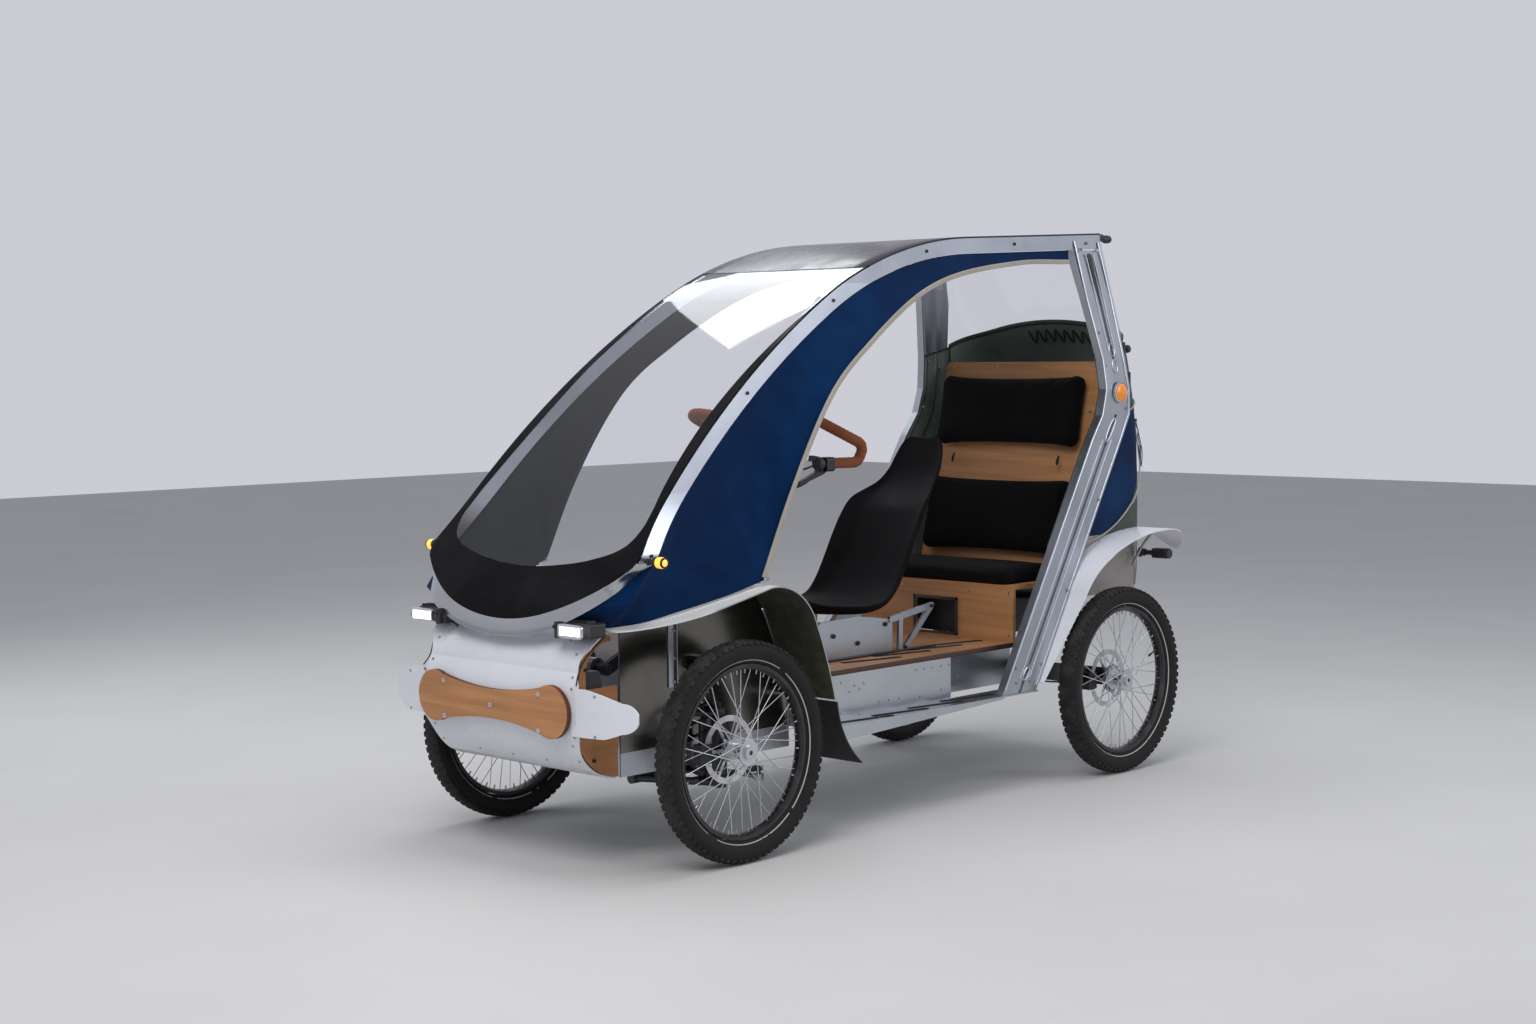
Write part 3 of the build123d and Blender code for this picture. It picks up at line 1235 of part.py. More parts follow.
# ---------------------------------------------------------------- lamps
SIGNAL = (404.0, -240.0, 712.0)
SIGNAL_RADIUS = 12.0
SIGNAL_STALK = 4.0
MARKER = (POST_SECTIONS[3][1] + 1.8, WHEELBASE + 79.0, 1055.0)  # round amber marker on each post
MARKER_RADIUS = 29.0
MARKER_THICKNESS = 6.0
with BuildPart() as turn_signals:
    with BuildSketch(SIDE.offset(SIGNAL[0] - 16)):
        with Locations(SIGNAL[1:]):
            Circle(SIGNAL_RADIUS)
    extrude(amount=32)
    with BuildSketch(SIDE.offset(hoop_half_width(HOOP_CORNER_TOP) + RAIL_GAP + 3)):
        with Locations(SIGNAL[1:]):
            Circle(SIGNAL_STALK)
    extrude(amount=SIGNAL[0] - 16 - hoop_half_width(HOOP_CORNER_TOP) - RAIL_GAP - 3)
    with BuildSketch(SIDE.offset(MARKER[0])):
        with Locations(MARKER[1:]):
            Circle(MARKER_RADIUS)
    extrude(amount=MARKER_THICKNESS)
    mirror(about=Plane.YZ)
save("turn_signals", turn_signals)

TAIL = (382.0, WHEELBASE + 232.0, 594.0)
ROOF_LAMP = (283.0, WHEELBASE + 80.0, 1486.0)
with BuildPart() as rear_lamps:
    with BuildSketch(SIDE.offset(TAIL[0] - 22)):
        with Locations(TAIL[1:]):
            RectangleRounded(34, 28, 8)
    extrude(amount=44)
    with BuildSketch(SIDE.offset(TRUNK_SECTIONS[0][1] - 2)):
        with Locations(TAIL[1:]):
            Circle(7)
    extrude(amount=TAIL[0] - 22 - TRUNK_SECTIONS[0][1] + 2)
    with BuildSketch(FRONT.offset(-ROOF_LAMP[1] - 26)):
        with Locations((ROOF_LAMP[0] - 20, ROOF_LAMP[2] + 4)):
            Circle(10)
    extrude(amount=26)
    mirror(about=Plane.YZ)
save("rear_lamps", rear_lamps)

# ---------------------------------------------------------------- steering column and bars
COLUMN_FOOT = (130.0, FLOOR_Z + RAIL_GAP)
COLUMN_HEAD = (452.0, 850.0)
COLUMN_RADIUS = 17.0
STEM_RADIUS = 10.0
STEM_DEPTH = 70.0
COLUMN_LEAN = atan2(COLUMN_HEAD[0] - COLUMN_FOOT[0], COLUMN_HEAD[1] - COLUMN_FOOT[1])
COLUMN_AXIS = Vector(0, sin(COLUMN_LEAN), cos(COLUMN_LEAN))
COLUMN_PLANE = Plane(origin=place(0, *COLUMN_HEAD), x_dir=(1, 0, 0), z_dir=COLUMN_AXIS)
with BuildPart() as steering_column:
    with BuildSketch(COLUMN_PLANE):
        Circle(COLUMN_RADIUS)
    extrude(amount=-(COLUMN_HEAD[1] - COLUMN_FOOT[1]) / cos(COLUMN_LEAN) - 30)
    split(bisect_by=Plane(origin=place(0, *COLUMN_FOOT), z_dir=(0, 0, 1)), keep=Keep.TOP)
    with BuildSketch(COLUMN_PLANE):
        Circle(STEM_RADIUS + AXLE_CLEARANCE)
    extrude(amount=-STEM_DEPTH - 1, mode=Mode.SUBTRACT)
save("steering_column", steering_column)

BAR_RADIUS = 12.0
BAR_ROUTE = [  # out, behind the axle, height, from the stem to the grip's end
    (0, 502, 948),
    (104, 470, 1012),
    (214, 440, 1024),
    (236, 640, 938),
    (230, 618, 896),
    (222, 500, 897),
]
BAR_BENDS = [60.0, 46.0, 22.0, 20.0]
with BuildPart() as handlebar:
    with BuildSketch(COLUMN_PLANE.offset(-STEM_DEPTH)):
        Circle(STEM_RADIUS)
    extrude(amount=STEM_DEPTH + 1)
    with BuildSketch(COLUMN_PLANE.offset(1)):
        Circle(COLUMN_RADIUS)
    extrude(amount=108)
    with BuildLine():
        route = FilletPolyline(*[place(*point) for point in BAR_ROUTE], radius=BAR_BENDS)
    with BuildSketch(Plane(origin=route @ 0, z_dir=route % 0)):
        Circle(BAR_RADIUS)
    sweep(path=route)
    grip_end = BAR_ROUTE[-1]
    with BuildSketch(FRONT.offset(-grip_end[1] - 24)):
        with Locations((grip_end[0], grip_end[2] - 2)):
            RectangleRounded(36, 36, 8)
    extrude(amount=30)
    with BuildSketch(SIDE.offset(grip_end[0] - 5)):
        with BuildLine():
            Polyline(
                (grip_end[1] + 20, grip_end[2] - 12),
                (grip_end[1] - 6, grip_end[2] - 10),
                (grip_end[1] - 90, grip_end[2] - 42),
                (grip_end[1] - 92, grip_end[2] - 52),
                (grip_end[1] - 4, grip_end[2] - 26),
                close=True,
            )
        make_face()
    extrude(amount=10)
    mirror(about=Plane.YZ)
save("handlebar", handlebar)

# ---------------------------------------------------------------- pedals and their mast
CRANK = (-100.0, 430.0)
CRANK_LENGTH = 160.0
CRANK_ANGLE = 25.0
SPINDLE_RADIUS = 10.0
SHELL_RADIUS = 24.0
SHELL_HALF = 36.0
ARM_INNER_X = 62.0
PEDAL = (86.0, 80.0, 20.0)
with BuildPart() as pedal_mast:
    with BuildSketch(SIDE.offset(-SHELL_HALF)):
        with Locations(CRANK):
            Circle(SHELL_RADIUS)
    extrude(amount=2 * SHELL_HALF)
    with BuildSketch(TOP.offset(FLOOR_Z + RAIL_GAP)):
        with Locations((0, CRANK[0])):
            RectangleRounded(44, 40, 6)
    extrude(amount=CRANK[1] - FLOOR_Z - RAIL_GAP)
    with BuildSketch(SIDE.offset(-SHELL_HALF)):
        with Locations(CRANK):
            Circle(SPINDLE_RADIUS + AXLE_CLEARANCE)
    extrude(amount=2 * SHELL_HALF, mode=Mode.SUBTRACT)
save("pedal_mast", pedal_mast)

CRANK_PLANE = Plane(
    origin=place(0, *CRANK),
    x_dir=(0, cos(radians(CRANK_ANGLE)), sin(radians(CRANK_ANGLE))),
    z_dir=(1, 0, 0),
)
with BuildPart() as crankset:
    with BuildSketch(CRANK_PLANE.offset(-ARM_INNER_X)):
        Circle(SPINDLE_RADIUS)
    extrude(amount=2 * ARM_INNER_X)
    for side, reach in ((1, CRANK_LENGTH), (-1, -CRANK_LENGTH)):
        low_x = ARM_INNER_X if side > 0 else -ARM_INNER_X - 14
        with BuildSketch(CRANK_PLANE.offset(low_x)):
            with Locations((reach / 2, 0)):
                SlotOverall(CRANK_LENGTH + 34, 30)
        extrude(amount=14)
        pedal_x = ARM_INNER_X + 14 if side > 0 else -ARM_INNER_X - 14 - PEDAL[0]
        with BuildSketch(CRANK_PLANE.offset(pedal_x)):
            with Locations((reach, 0)):
                RectangleRounded(PEDAL[1], PEDAL[2], 6)
        extrude(amount=PEDAL[0])
    with BuildSketch(CRANK_PLANE.offset(-SHELL_HALF - 14)):
        Circle(68)
        Circle(46, mode=Mode.SUBTRACT)
        with PolarLocations(0, 5):
            with Locations((28, 0)):
                Rectangle(46, 12)
    extrude(amount=5)
save("crankset", crankset)
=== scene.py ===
from math import asin, cos, hypot, pi, radians, sin, tan

import bmesh
import bpy
from mathutils import Matrix, Vector, noise
from mathutils.bvhtree import BVHTree


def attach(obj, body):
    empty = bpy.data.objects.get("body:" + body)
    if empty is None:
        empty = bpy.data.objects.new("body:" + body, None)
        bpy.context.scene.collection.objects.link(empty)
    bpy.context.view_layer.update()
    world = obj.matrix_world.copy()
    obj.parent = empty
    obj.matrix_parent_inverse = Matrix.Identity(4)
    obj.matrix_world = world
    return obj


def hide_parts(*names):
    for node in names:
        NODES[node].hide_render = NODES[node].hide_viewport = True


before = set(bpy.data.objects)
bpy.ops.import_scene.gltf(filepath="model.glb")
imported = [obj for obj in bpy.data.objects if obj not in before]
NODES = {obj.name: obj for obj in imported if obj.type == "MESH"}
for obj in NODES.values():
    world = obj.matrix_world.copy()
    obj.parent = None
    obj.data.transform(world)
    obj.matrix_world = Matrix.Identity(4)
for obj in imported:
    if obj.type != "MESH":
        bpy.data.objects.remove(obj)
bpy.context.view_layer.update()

# ------------------------------------------------------------ places, in millimetres from the front axle
AXLE_Y = -0.7255
AXLE_Z = 259.0
WHEELBASE = 1520.0


def at(x, y, z):
    """A point x to the left, y behind the front axle and z above the road."""
    return Vector((x / 1000, AXLE_Y + y / 1000, z / 1000))


def curve_points(points, steps=8):
    """Points along a smooth line through the given points."""
    pts = [Vector(p) for p in points]
    out = []
    for i, (b, c) in enumerate(zip(pts, pts[1:])):
        a = pts[i - 1] if i else b - (c - b)
        d = pts[i + 2] if i + 2 < len(pts) else c + (c - b)
        for k in range(steps):
            t = k / steps
            square, cube = 2 * a - 5 * b + 4 * c - d, 3 * b - a - 3 * c + d
            out.append(0.5 * ((2 * b) + (c - a) * t + square * t * t + cube * t**3))
    out.append(pts[-1])
    return out


def mirrored(side, place):
    """A place given for the left side (side 1), or its mirror image on the right (side -1)."""
    return at(side * place[0], place[1], place[2])


def angles(count, start=0.0):
    """Evenly spaced angles round a circle; start is a share of one step."""
    return [2 * pi * (k + start) / count for k in range(count)]


def ring(a):
    """A unit vector at an angle round a wheel's axle, from the rear upwards."""
    return Vector((0, cos(a), sin(a)))


def steps_between(low, high, count):
    """Evenly spaced numbers from low to high, both ends included."""
    return [low + (high - low) * k / count for k in range(count + 1)]


def table(rows, key):
    """Smooth look-up in rows of numbers whose first column rises; gives the other columns."""
    if key <= rows[0][0]:
        return rows[0][1:]
    if key >= rows[-1][0]:
        return rows[-1][1:]
    i = max(k for k in range(len(rows) - 1) if rows[k][0] <= key)
    p1, p2 = rows[i], rows[i + 1]
    h = p2[0] - p1[0]
    t = (key - p1[0]) / h
    out = []
    for c in range(1, len(p1)):
        m = (p2[c] - p1[c]) / h
        m1 = m if i == 0 else 0.5 * (m + (p1[c] - rows[i - 1][c]) / (p1[0] - rows[i - 1][0]))
        m2 = m if i + 2 >= len(rows) else 0.5 * (m + (rows[i + 2][c] - p2[c]) / (rows[i + 2][0] - p2[0]))
        h00, h10 = 2 * t**3 - 3 * t**2 + 1, t**3 - 2 * t**2 + t
        h01, h11 = -2 * t**3 + 3 * t**2, t**3 - t**2
        out.append(h00 * p1[c] + h10 * h * m1 + h01 * p2[c] + h11 * h * m2)
    return out


TREES = {}


def hit(node, start, direction):
    """Where a line from start first meets a CAD node, and the outward normal there."""
    if node not in TREES:
        mesh = NODES[node].data
        TREES[node] = BVHTree.FromPolygons(
            [v.co for v in mesh.vertices], [f.vertices[:] for f in mesh.polygons]
        )
    direction = Vector(direction).normalized()
    place, normal, _, _ = TREES[node].ray_cast(Vector(start), direction)
    if place is None:
        return None
    return place, (-normal if normal.dot(direction) > 0 else normal)


# ------------------------------------------------------------ shapes
def smoothed(obj, levels=1):
    """Adds a subdivision that stays on the piece."""
    mod = obj.modifiers.new("smooth", "SUBSURF")
    mod.levels = mod.render_levels = levels


SQUARE = [(1, 1), (-1, 1), (-1, -1), (1, -1)]  # a square's corners in turn
CORNER_CUTS = 3
RIVET_HEAD = [(1, 0.15), (0.82, 0.7), (0.42, 1), (0.05, 1.06)]  # shares of the radius and the height
BOLT_HEAD = [(1, 0.8), (0.9, 1), (0.55, 1), (0.5, 0.45), (0.03, 0.4)]


class Shape:
    """A mesh piece built from tubes, plates, grids and turned parts."""

    def __init__(self, name):
        self.name = name
        self.bm = bmesh.new()

    def face(self, points):
        return self.bm.faces.new([self.bm.verts.new(p) for p in points])

    def grid(self, rows, closed=False, wrap=False, flip=False):
        """Quads between rows of points. closed joins each row's ends, wrap joins last row to first."""
        lines = [[self.bm.verts.new(p) for p in row] for row in rows]
        if wrap:
            lines.append(lines[0])
        for a, b in zip(lines, lines[1:]):
            n = len(a)
            for i in range(n if closed else n - 1):
                quad = [a[i], a[(i + 1) % n], b[(i + 1) % n], b[i]]
                if flip:
                    quad.reverse()
                if len(set(quad)) == 4:
                    self.bm.faces.new(quad)
        return lines

    def cap(self, lines):
        """Closes the first and the last ring of a tube or a turned part."""
        self.bm.faces.new(list(reversed(lines[0])))
        self.bm.faces.new(lines[-1])

    def area(self):
        """The sum of its faces' areas."""
        return sum(f.calc_area() for f in self.bm.faces)

    def tube(self, path, radius, sides=12, closed=False, flat=1.0):
        """A tube along a path; radius is a number or one per point, flat squeezes the section."""
        path = [Vector(p) for p in path]
        n = len(path)
        rad = radius if isinstance(radius, (list, tuple)) else [radius] * n
        tangents = []
        for i in range(n):
            a = path[i - 1] if (i or closed) else path[0]
            b = path[(i + 1) % n] if (i + 1 < n or closed) else path[-1]
            tangents.append((b - a).normalized())
        up = Vector((0, 0, 1)) if abs(tangents[0].z) < 0.9 else Vector((0, 1, 0))
        side = tangents[0].cross(up).normalized()
        turns = angles(sides)
        rows = []
        for i in range(n):
            t = tangents[i]
            side = (side - t * side.dot(t)).normalized()
            other = t.cross(side)
            rows.append([path[i] + (side * cos(a) + other * sin(a) * flat) * rad[i] for a in turns])
        lines = self.grid(rows, closed=True, wrap=closed)
        if not closed:
            self.cap(lines)

    def turned(self, centre, axis, profile, sides=24, ends=True):
        """A turned part: profile is rows of (radius, distance along the axis)."""
        axis = Vector(axis).normalized()
        u = axis.orthogonal().normalized()
        v = axis.cross(u)
        turns = angles(sides)
        rows = [
            [Vector(centre) + axis * d + (u * cos(a) + v * sin(a)) * r for a in turns] for r, d in profile
        ]
        lines = self.grid(rows, closed=True)
        if ends:
            self.cap(lines)

    def prism(self, outline, depth):
        """A plate: the outline pushed along the depth vector."""
        depth = Vector(depth)
        low = [self.bm.verts.new(p) for p in outline]
        high = [self.bm.verts.new(Vector(p) + depth) for p in outline]
        self.bm.faces.new(list(reversed(low)))
        self.bm.faces.new(high)
        n = len(low)
        for i in range(n):
            self.bm.faces.new([low[i], low[(i + 1) % n], high[(i + 1) % n], high[i]])

    def block(self, centre, size, round, along=(1, 0, 0), up=(0, 0, 1)):
        """A box with rounded upright corners; along and up give its directions."""
        x = Vector(along).normalized()
        y = Vector(up).normalized().cross(x).normalized()
        z = x.cross(y)
        sx, sy, sz = (s / 2 for s in size)
        r = min(round, sx * 0.98, sy * 0.98)
        outline = []
        for quarter, (i, j) in enumerate(SQUARE):
            for k in range(CORNER_CUTS + 1):
                a = radians(90 * quarter + 90 * k / CORNER_CUTS)
                outline.append((i * (sx - r) + r * cos(a), j * (sy - r) + r * sin(a)))
        c = Vector(centre)
        self.prism([c + x * px + y * py - z * sz for px, py in outline], z * 2 * sz)

    def rivet(self, centre, axis, radius=0.003, height=0.0016):
        """A domed rivet or screw head."""
        profile = [(radius, -0.0006)] + [(radius * r, height * h) for r, h in RIVET_HEAD]
        self.turned(centre, axis, profile, sides=12)

    def bolt(self, centre, axis, radius=0.005, height=0.004):
        """A socket-head bolt with its recess."""
        profile = [(radius, -0.001)] + [(radius * r, height * h) for r, h in BOLT_HEAD]
        self.turned(centre, axis, profile, sides=12)

    def stud(self, node, start, direction, radius, height, bolt=False, keep=lambda place: True):
        """A rivet or bolt where a line from start first meets a CAD node."""
        found = hit(node, start, direction)
        if found and keep(found[0]):
            (self.bolt if bolt else self.rivet)(*found, radius, height)

    def make(self, material, slot, body="chassis", crease=35, bevel=0.0, subdivide=0):
        """Ends the piece: normals, shading, modifiers, material, the body that it rides on."""
        bmesh.ops.remove_doubles(self.bm, verts=self.bm.verts, dist=1e-6)
        bmesh.ops.recalc_face_normals(self.bm, faces=self.bm.faces)
        mesh = bpy.data.meshes.new(self.name)
        self.bm.to_mesh(mesh)
        self.bm.free()
        obj = bpy.data.objects.new(self.name, mesh)
        bpy.context.scene.collection.objects.link(obj)
        if bevel:
            mod = obj.modifiers.new("edges", "BEVEL")
            mod.width = bevel
            mod.segments = 2
            mod.limit_method = "ANGLE"
            mod.angle_limit = radians(32)
        if subdivide:
            smoothed(obj, subdivide)
        mesh.shade_smooth()
        mesh.set_sharp_from_angle(angle=radians(crease))
        mesh.materials.append(material)
        if body:
            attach(obj, body)
        return obj


def dress(name, material):
    """Gives a CAD node its material."""
    mesh = NODES[name].data
    mesh.materials.clear()
    mesh.materials.append(material)


# ------------------------------------------------------------ materials
class Paint:
    """A small builder for node materials in the object's own coordinates."""

    def __init__(self, name):
        self.mat = bpy.data.materials.new(name)
        self.mat.use_nodes = True
        self.tree = self.mat.node_tree
        self.tree.nodes.clear()
        self.out = self.tree.nodes.new("ShaderNodeOutputMaterial")
        self.where = self.tree.nodes.new("ShaderNodeTexCoord").outputs["Object"]

    def add(self, kind, settings=None, **inputs):
        n = self.tree.nodes.new("ShaderNode" + kind)
        for key, value in (settings or {}).items():
            setattr(n, key, value)
        for key, value in inputs.items():
            by_number = key[0] == "_" and key[1:].isdigit()
            self.put(n.inputs[int(key[1:]) if by_number else key.replace("_", " ")], value)
        return n

    def put(self, socket, value):
        """Links an output to a socket or sets the socket's value; a colour of three gets its alpha."""
        if isinstance(value, bpy.types.NodeSocket):
            self.tree.links.new(value, socket)
        elif socket.type == "RGBA" and len(value) == 3:
            socket.default_value = (*value, 1)
        else:
            socket.default_value = value

    def math(self, operation, a, b=0.0, c=None, clamp=False):
        n = self.add("Math", {"operation": operation, "use_clamp": clamp}, _0=a, _1=b)
        if c is not None:
            self.put(n.inputs[2], c)
        return n.outputs[0]

    def sum_of_squares(self, a, b):
        return self.math("ADD", self.math("MULTIPLY", a, a), self.math("MULTIPLY", b, b))

    def stretch(self, scale=(1, 1, 1), move=(0, 0, 0)):
        return self.add("Mapping", Vector=self.where, Location=move, Scale=scale).outputs[0]

    def from_axle(self, x, y):
        """Coordinates from a wheel's middle, as separate outputs."""
        return self.split(self.stretch(move=(-x, -y, -AXLE_Z / 1000)))

    def noise(self, scale, where=None, detail=3.0, rough=0.55, distort=0.0):
        settings = {"Scale": scale, "Detail": detail, "Roughness": rough, "Distortion": distort}
        return self.add("TexNoise", None, Vector=where or self.where, **settings).outputs["Fac"]

    def ramp(self, value, low, high, to_low=0.0, to_high=1.0, kind="SMOOTHSTEP"):
        limits = {"From_Min": low, "From_Max": high, "To_Min": to_low, "To_Max": to_high}
        return self.add("MapRange", {"interpolation_type": kind}, Value=value, **limits).outputs[0]

    def mix(self, amount, a, b):
        """A mix of two colours."""
        return self.add("Mix", {"data_type": "RGBA"}, _0=amount, _6=a, _7=b).outputs[2]

    def split(self, vector=None):
        return self.add("SeparateXYZ", _0=vector or self.where).outputs

    def bump(self, height, strength=0.3, distance=0.001, before=None):
        under = {} if before is None else {"Normal": before}
        return self.add("Bump", None, Height=height, Strength=strength, Distance=distance, **under).outputs[0]

    def show(self, shader):
        """Ends the material with a shader."""
        self.put(self.out.inputs["Surface"], shader.outputs[0])
        return self.mat

    def end(self, colour, rough, normal, **fixed):
        inputs = {"Base_Color": colour, "Roughness": rough, "Normal": normal, **fixed}
        return self.show(self.add("BsdfPrincipled", None, **inputs))

    def set_metallic(self, value):
        """Links the ended material's Metallic input."""
        shader = next(n for n in self.tree.nodes if n.type == "BSDF_PRINCIPLED")
        self.put(shader.inputs["Metallic"], value)
        return self.mat


def srgb(code):
    """A colour from its usual six-digit code."""
    parts = [int(code[i : i + 2], 16) / 255 for i in (0, 2, 4)]
    return tuple(c / 12.92 if c <= 0.04045 else ((c + 0.055) / 1.055) ** 2.4 for c in parts)


def shade(colour, factor, lift=0.0):
    """A colour made darker or lighter, no channel past 1."""
    return tuple(min(c * factor + lift, 1) for c in colour)


def metal(name, base, rough, streak=(1, 1, 1), grain=90.0, wear=0.03, dents=0.06):
    """Brushed or satin sheet metal: streaked roughness, faint marks, slight tone changes."""
    p = Paint(name)
    long = p.noise(grain, p.stretch(streak), detail=4)
    broad = p.noise(5.0, detail=2)
    tone = p.mix(p.ramp(broad, 0.3, 0.7), shade(base, 0.86), base)
    tone = p.mix(p.ramp(long, 0.35, 0.75, 0, 0.2), tone, shade(base, 1.1))
    roughness = p.ramp(long, 0.25, 0.8, rough - wear, rough + wear * 1.6)
    fine = p.bump(long, dents, 0.0004)
    soft = p.bump(broad, dents * 0.6, 0.003, fine)
    return p.end(tone, roughness, soft, Metallic=1.0)


def plastic(name, base, rough=0.4, speckle=0.15, scale=900.0, coat=0.0, bump=0.15, shine=0.5):
    """Moulded plastic or paint with a fine texture and handling marks."""
    p = Paint(name)
    fine = p.noise(scale, detail=2)
    broad = p.noise(9.0, detail=4)
    tone = p.mix(p.ramp(broad, 0.3, 0.75), base, shade(base, 1 + speckle, 0.004))
    roughness = p.ramp(broad, 0.25, 0.8, rough - 0.05, rough + 0.12)
    gloss = {"Coat_Weight": coat, "Coat_Roughness": 0.08, "Specular_IOR_Level": shine}
    return p.end(tone, roughness, p.bump(fine, bump, 0.0003), **gloss)


def cloth(name, base, light, pitch, across=(1, 2), rough=0.82, sheen=0.25):
    """Woven cloth: threads across two of the axes, uneven dye, slubs, and painted shade between the threads.
    """
    p = Paint(name)
    parts = p.split()
    waver = p.noise(160.0, detail=2)
    threads = []
    for axis in across:
        line = p.math("MULTIPLY_ADD", parts[axis], 2 * pi / pitch, waver)
        threads.append(p.math("SINE", line))
    warp = p.math("MULTIPLY", threads[0], threads[1])
    over = p.math("ADD", p.math("ABSOLUTE", threads[0]), p.math("ABSOLUTE", threads[1]))
    weave = p.math("ADD", p.math("MULTIPLY", warp, 0.5), p.math("MULTIPLY", over, 0.4))
    broad = p.noise(7.0, detail=5, rough=0.6)
    slub = p.noise(60.0, p.stretch((1, 1, 14)), detail=2)
    tone = p.mix(p.ramp(broad, 0.3, 0.75, 0, 0.5), base, light)
    tone = p.mix(p.ramp(slub, 0.45, 0.8, 0, 0.25), tone, light)
    # painted shade: the colour darkens where the weave dips between the threads
    tone = p.mix(p.ramp(weave, -0.5, 0.9, 0.18, 0.0), tone, shade(base, 0.4))
    rumple = p.bump(p.noise(28.0, detail=3), 0.35, 0.0015)
    gloss = {"Sheen_Weight": sheen, "Sheen_Roughness": 0.5, "Specular_IOR_Level": 0.12}
    return p.end(tone, rough, p.bump(weave, 0.5, 0.0004, rumple), **gloss)


def own_normal(p):
    """The surface's normal in the object's own axes, as separate outputs."""
    geometry = p.add("NewGeometry")
    turn = {"vector_type": "NORMAL", "convert_from": "WORLD", "convert_to": "OBJECT"}
    return p.split(p.add("VectorTransform", turn, Vector=geometry.outputs["Normal"]).outputs[0])


def plywood(name, face, edge, grain=(1, 14, 14), sheet_axis=None):
    """Birch ply: long wavering grain on its faces, and dark layered edges where sheet_axis is given."""
    p = Paint(name)
    where = p.stretch(grain)
    warp = p.noise(2.6, where, detail=4, rough=0.6, distort=0.6)
    rings = p.add(
        "TexWave",
        {"wave_type": "BANDS", "bands_direction": "DIAGONAL"},
        Vector=where,
        Scale=1.4,
        Distortion=7.0,
        Detail=3.0,
    )
    pores = p.noise(46.0, p.stretch(tuple(g * 2.2 for g in grain)), detail=3)
    tone = p.mix(p.ramp(warp, 0.3, 0.72), face, shade(face, 0.72))
    tone = p.mix(p.ramp(rings.outputs["Fac"], 0.45, 0.95, 0, 0.32), tone, shade(face, 0.55))
    tone = p.mix(p.ramp(pores, 0.56, 0.75, 0, 0.45), tone, shade(face, 0.42))
    tone = p.mix(p.ramp(p.noise(3.0, detail=2), 0.4, 0.7, 0, 0.3), tone, shade(face, 1.2))
    if sheet_axis is not None:
        along = p.math("ABSOLUTE", own_normal(p)[sheet_axis])
        tone = p.mix(p.ramp(along, 0.45, 0.6), edge, tone)
    height = p.math("ADD", pores, p.math("MULTIPLY", rings.outputs["Fac"], 0.4))
    return p.end(
        tone, p.ramp(warp, 0.2, 0.8, 0.42, 0.6), p.bump(height, 0.22, 0.0005), Specular_IOR_Level=0.4
    )


def wheel_paint(name, x, y):
    """Black rim outside, bright spokes, hub and disc inside; masks by distance from the axle."""
    p = Paint(name)
    moved = p.from_axle(x, y)
    radius = p.math("POWER", p.sum_of_squares(moved[1], moved[2]), 0.5)
    rim = p.ramp(radius, 0.1895, 0.190)
    broad = p.noise(12.0, detail=3)
    tone = p.mix(rim, (0.62, 0.63, 0.65), (0.012, 0.012, 0.013))
    tone = p.mix(p.ramp(broad, 0.45, 0.8, 0, 0.2), tone, (0.2, 0.2, 0.2))
    p.end(tone, p.ramp(broad, 0.2, 0.8, 0.2, 0.36), p.bump(p.noise(300.0), 0.05, 0.0002))
    return p.set_metallic(p.math("SUBTRACT", 1.0, rim))


def clear_sheet():
    """Thin clear plastic: what lies behind shows, the lights mirror in it, and lamps shine through."""
    p = Paint("clear_polycarbonate")
    gloss = p.add("BsdfGlossy", None, Color=(1, 1, 1))
    smear = p.noise(5.0, p.stretch((1, 3, 1)), detail=4)
    p.put(gloss.inputs["Roughness"], p.ramp(smear, 0.3, 0.8, 0.015, 0.07))
    clear = p.add("BsdfTransparent", None, Color=(0.965, 0.97, 0.975))
    edge = p.add("Fresnel", None, IOR=1.45)
    amount = p.ramp(edge.outputs[0], 0.0, 1.0, 0.0, 0.85, kind="LINEAR")
    front = p.math("SUBTRACT", 1.0, p.add("NewGeometry").outputs["Backfacing"])
    path = p.add("LightPath")
    amount = p.math("MULTIPLY", amount, p.math("SUBTRACT", front, path.outputs["Is Shadow Ray"], clamp=True))
    return p.show(p.add("MixShader", None, _0=amount, _1=clear.outputs[0], _2=gloss.outputs[0]))


def glow(name, base, light, strength):
    """A lit lens: coloured plastic with light inside."""
    p = Paint(name)
    cells = p.add("TexVoronoi", {"feature": "F1"}, Vector=p.where, Scale=160.0)
    tone = p.mix(p.ramp(cells.outputs["Distance"], 0.0, 0.6, 0, 0.35), base, shade(base, 1.5, 0.02))
    lit = {"Emission_Color": light, "Emission_Strength": strength, "Coat_Weight": 0.6}
    return p.end(tone, 0.18, p.bump(cells.outputs["Distance"], 0.25, 0.0008), **lit)


ALUMINIUM = metal("satin_aluminium", srgb("B9BEC4"), 0.34, (1, 1, 0.12), 60.0)
RAIL_METAL = metal("rail_aluminium", srgb("C3C9D2"), 0.3, (1, 0.1, 0.1), 160.0, wear=0.02, dents=0.02)
BAND_METAL = metal("band_aluminium", srgb("B9BCBE"), 0.26, (0.1, 1, 1), 120.0, wear=0.02, dents=0.02)
INNER_METAL = metal("post_inner_aluminium", srgb("9DA1A9"), 0.5, (1, 1, 0.1), 120.0, wear=0.02, dents=0.02)
SHEET_METAL = metal("chassis_aluminium", srgb("C9CDD2"), 0.3, (0.6, 0.06, 1), 160.0, wear=0.025, dents=0.05)
FLAT_METAL = metal("floor_aluminium", srgb("BEC2C7"), 0.36, (0.6, 0.06, 1), 160.0, wear=0.03, dents=0.05)
STEEL = metal("zinc_steel", srgb("A6A8AA"), 0.36, (1, 1, 0.5), 90.0)
# dark steel, also the colour of the painted shade strip in the posts' upper grooves
DARK_STEEL_AND_GROOVE_SHADE = metal("dark_steel_and_groove_shade", srgb("4A4B4E"), 0.42, (1, 1, 1), 90.0, dents=0.3)
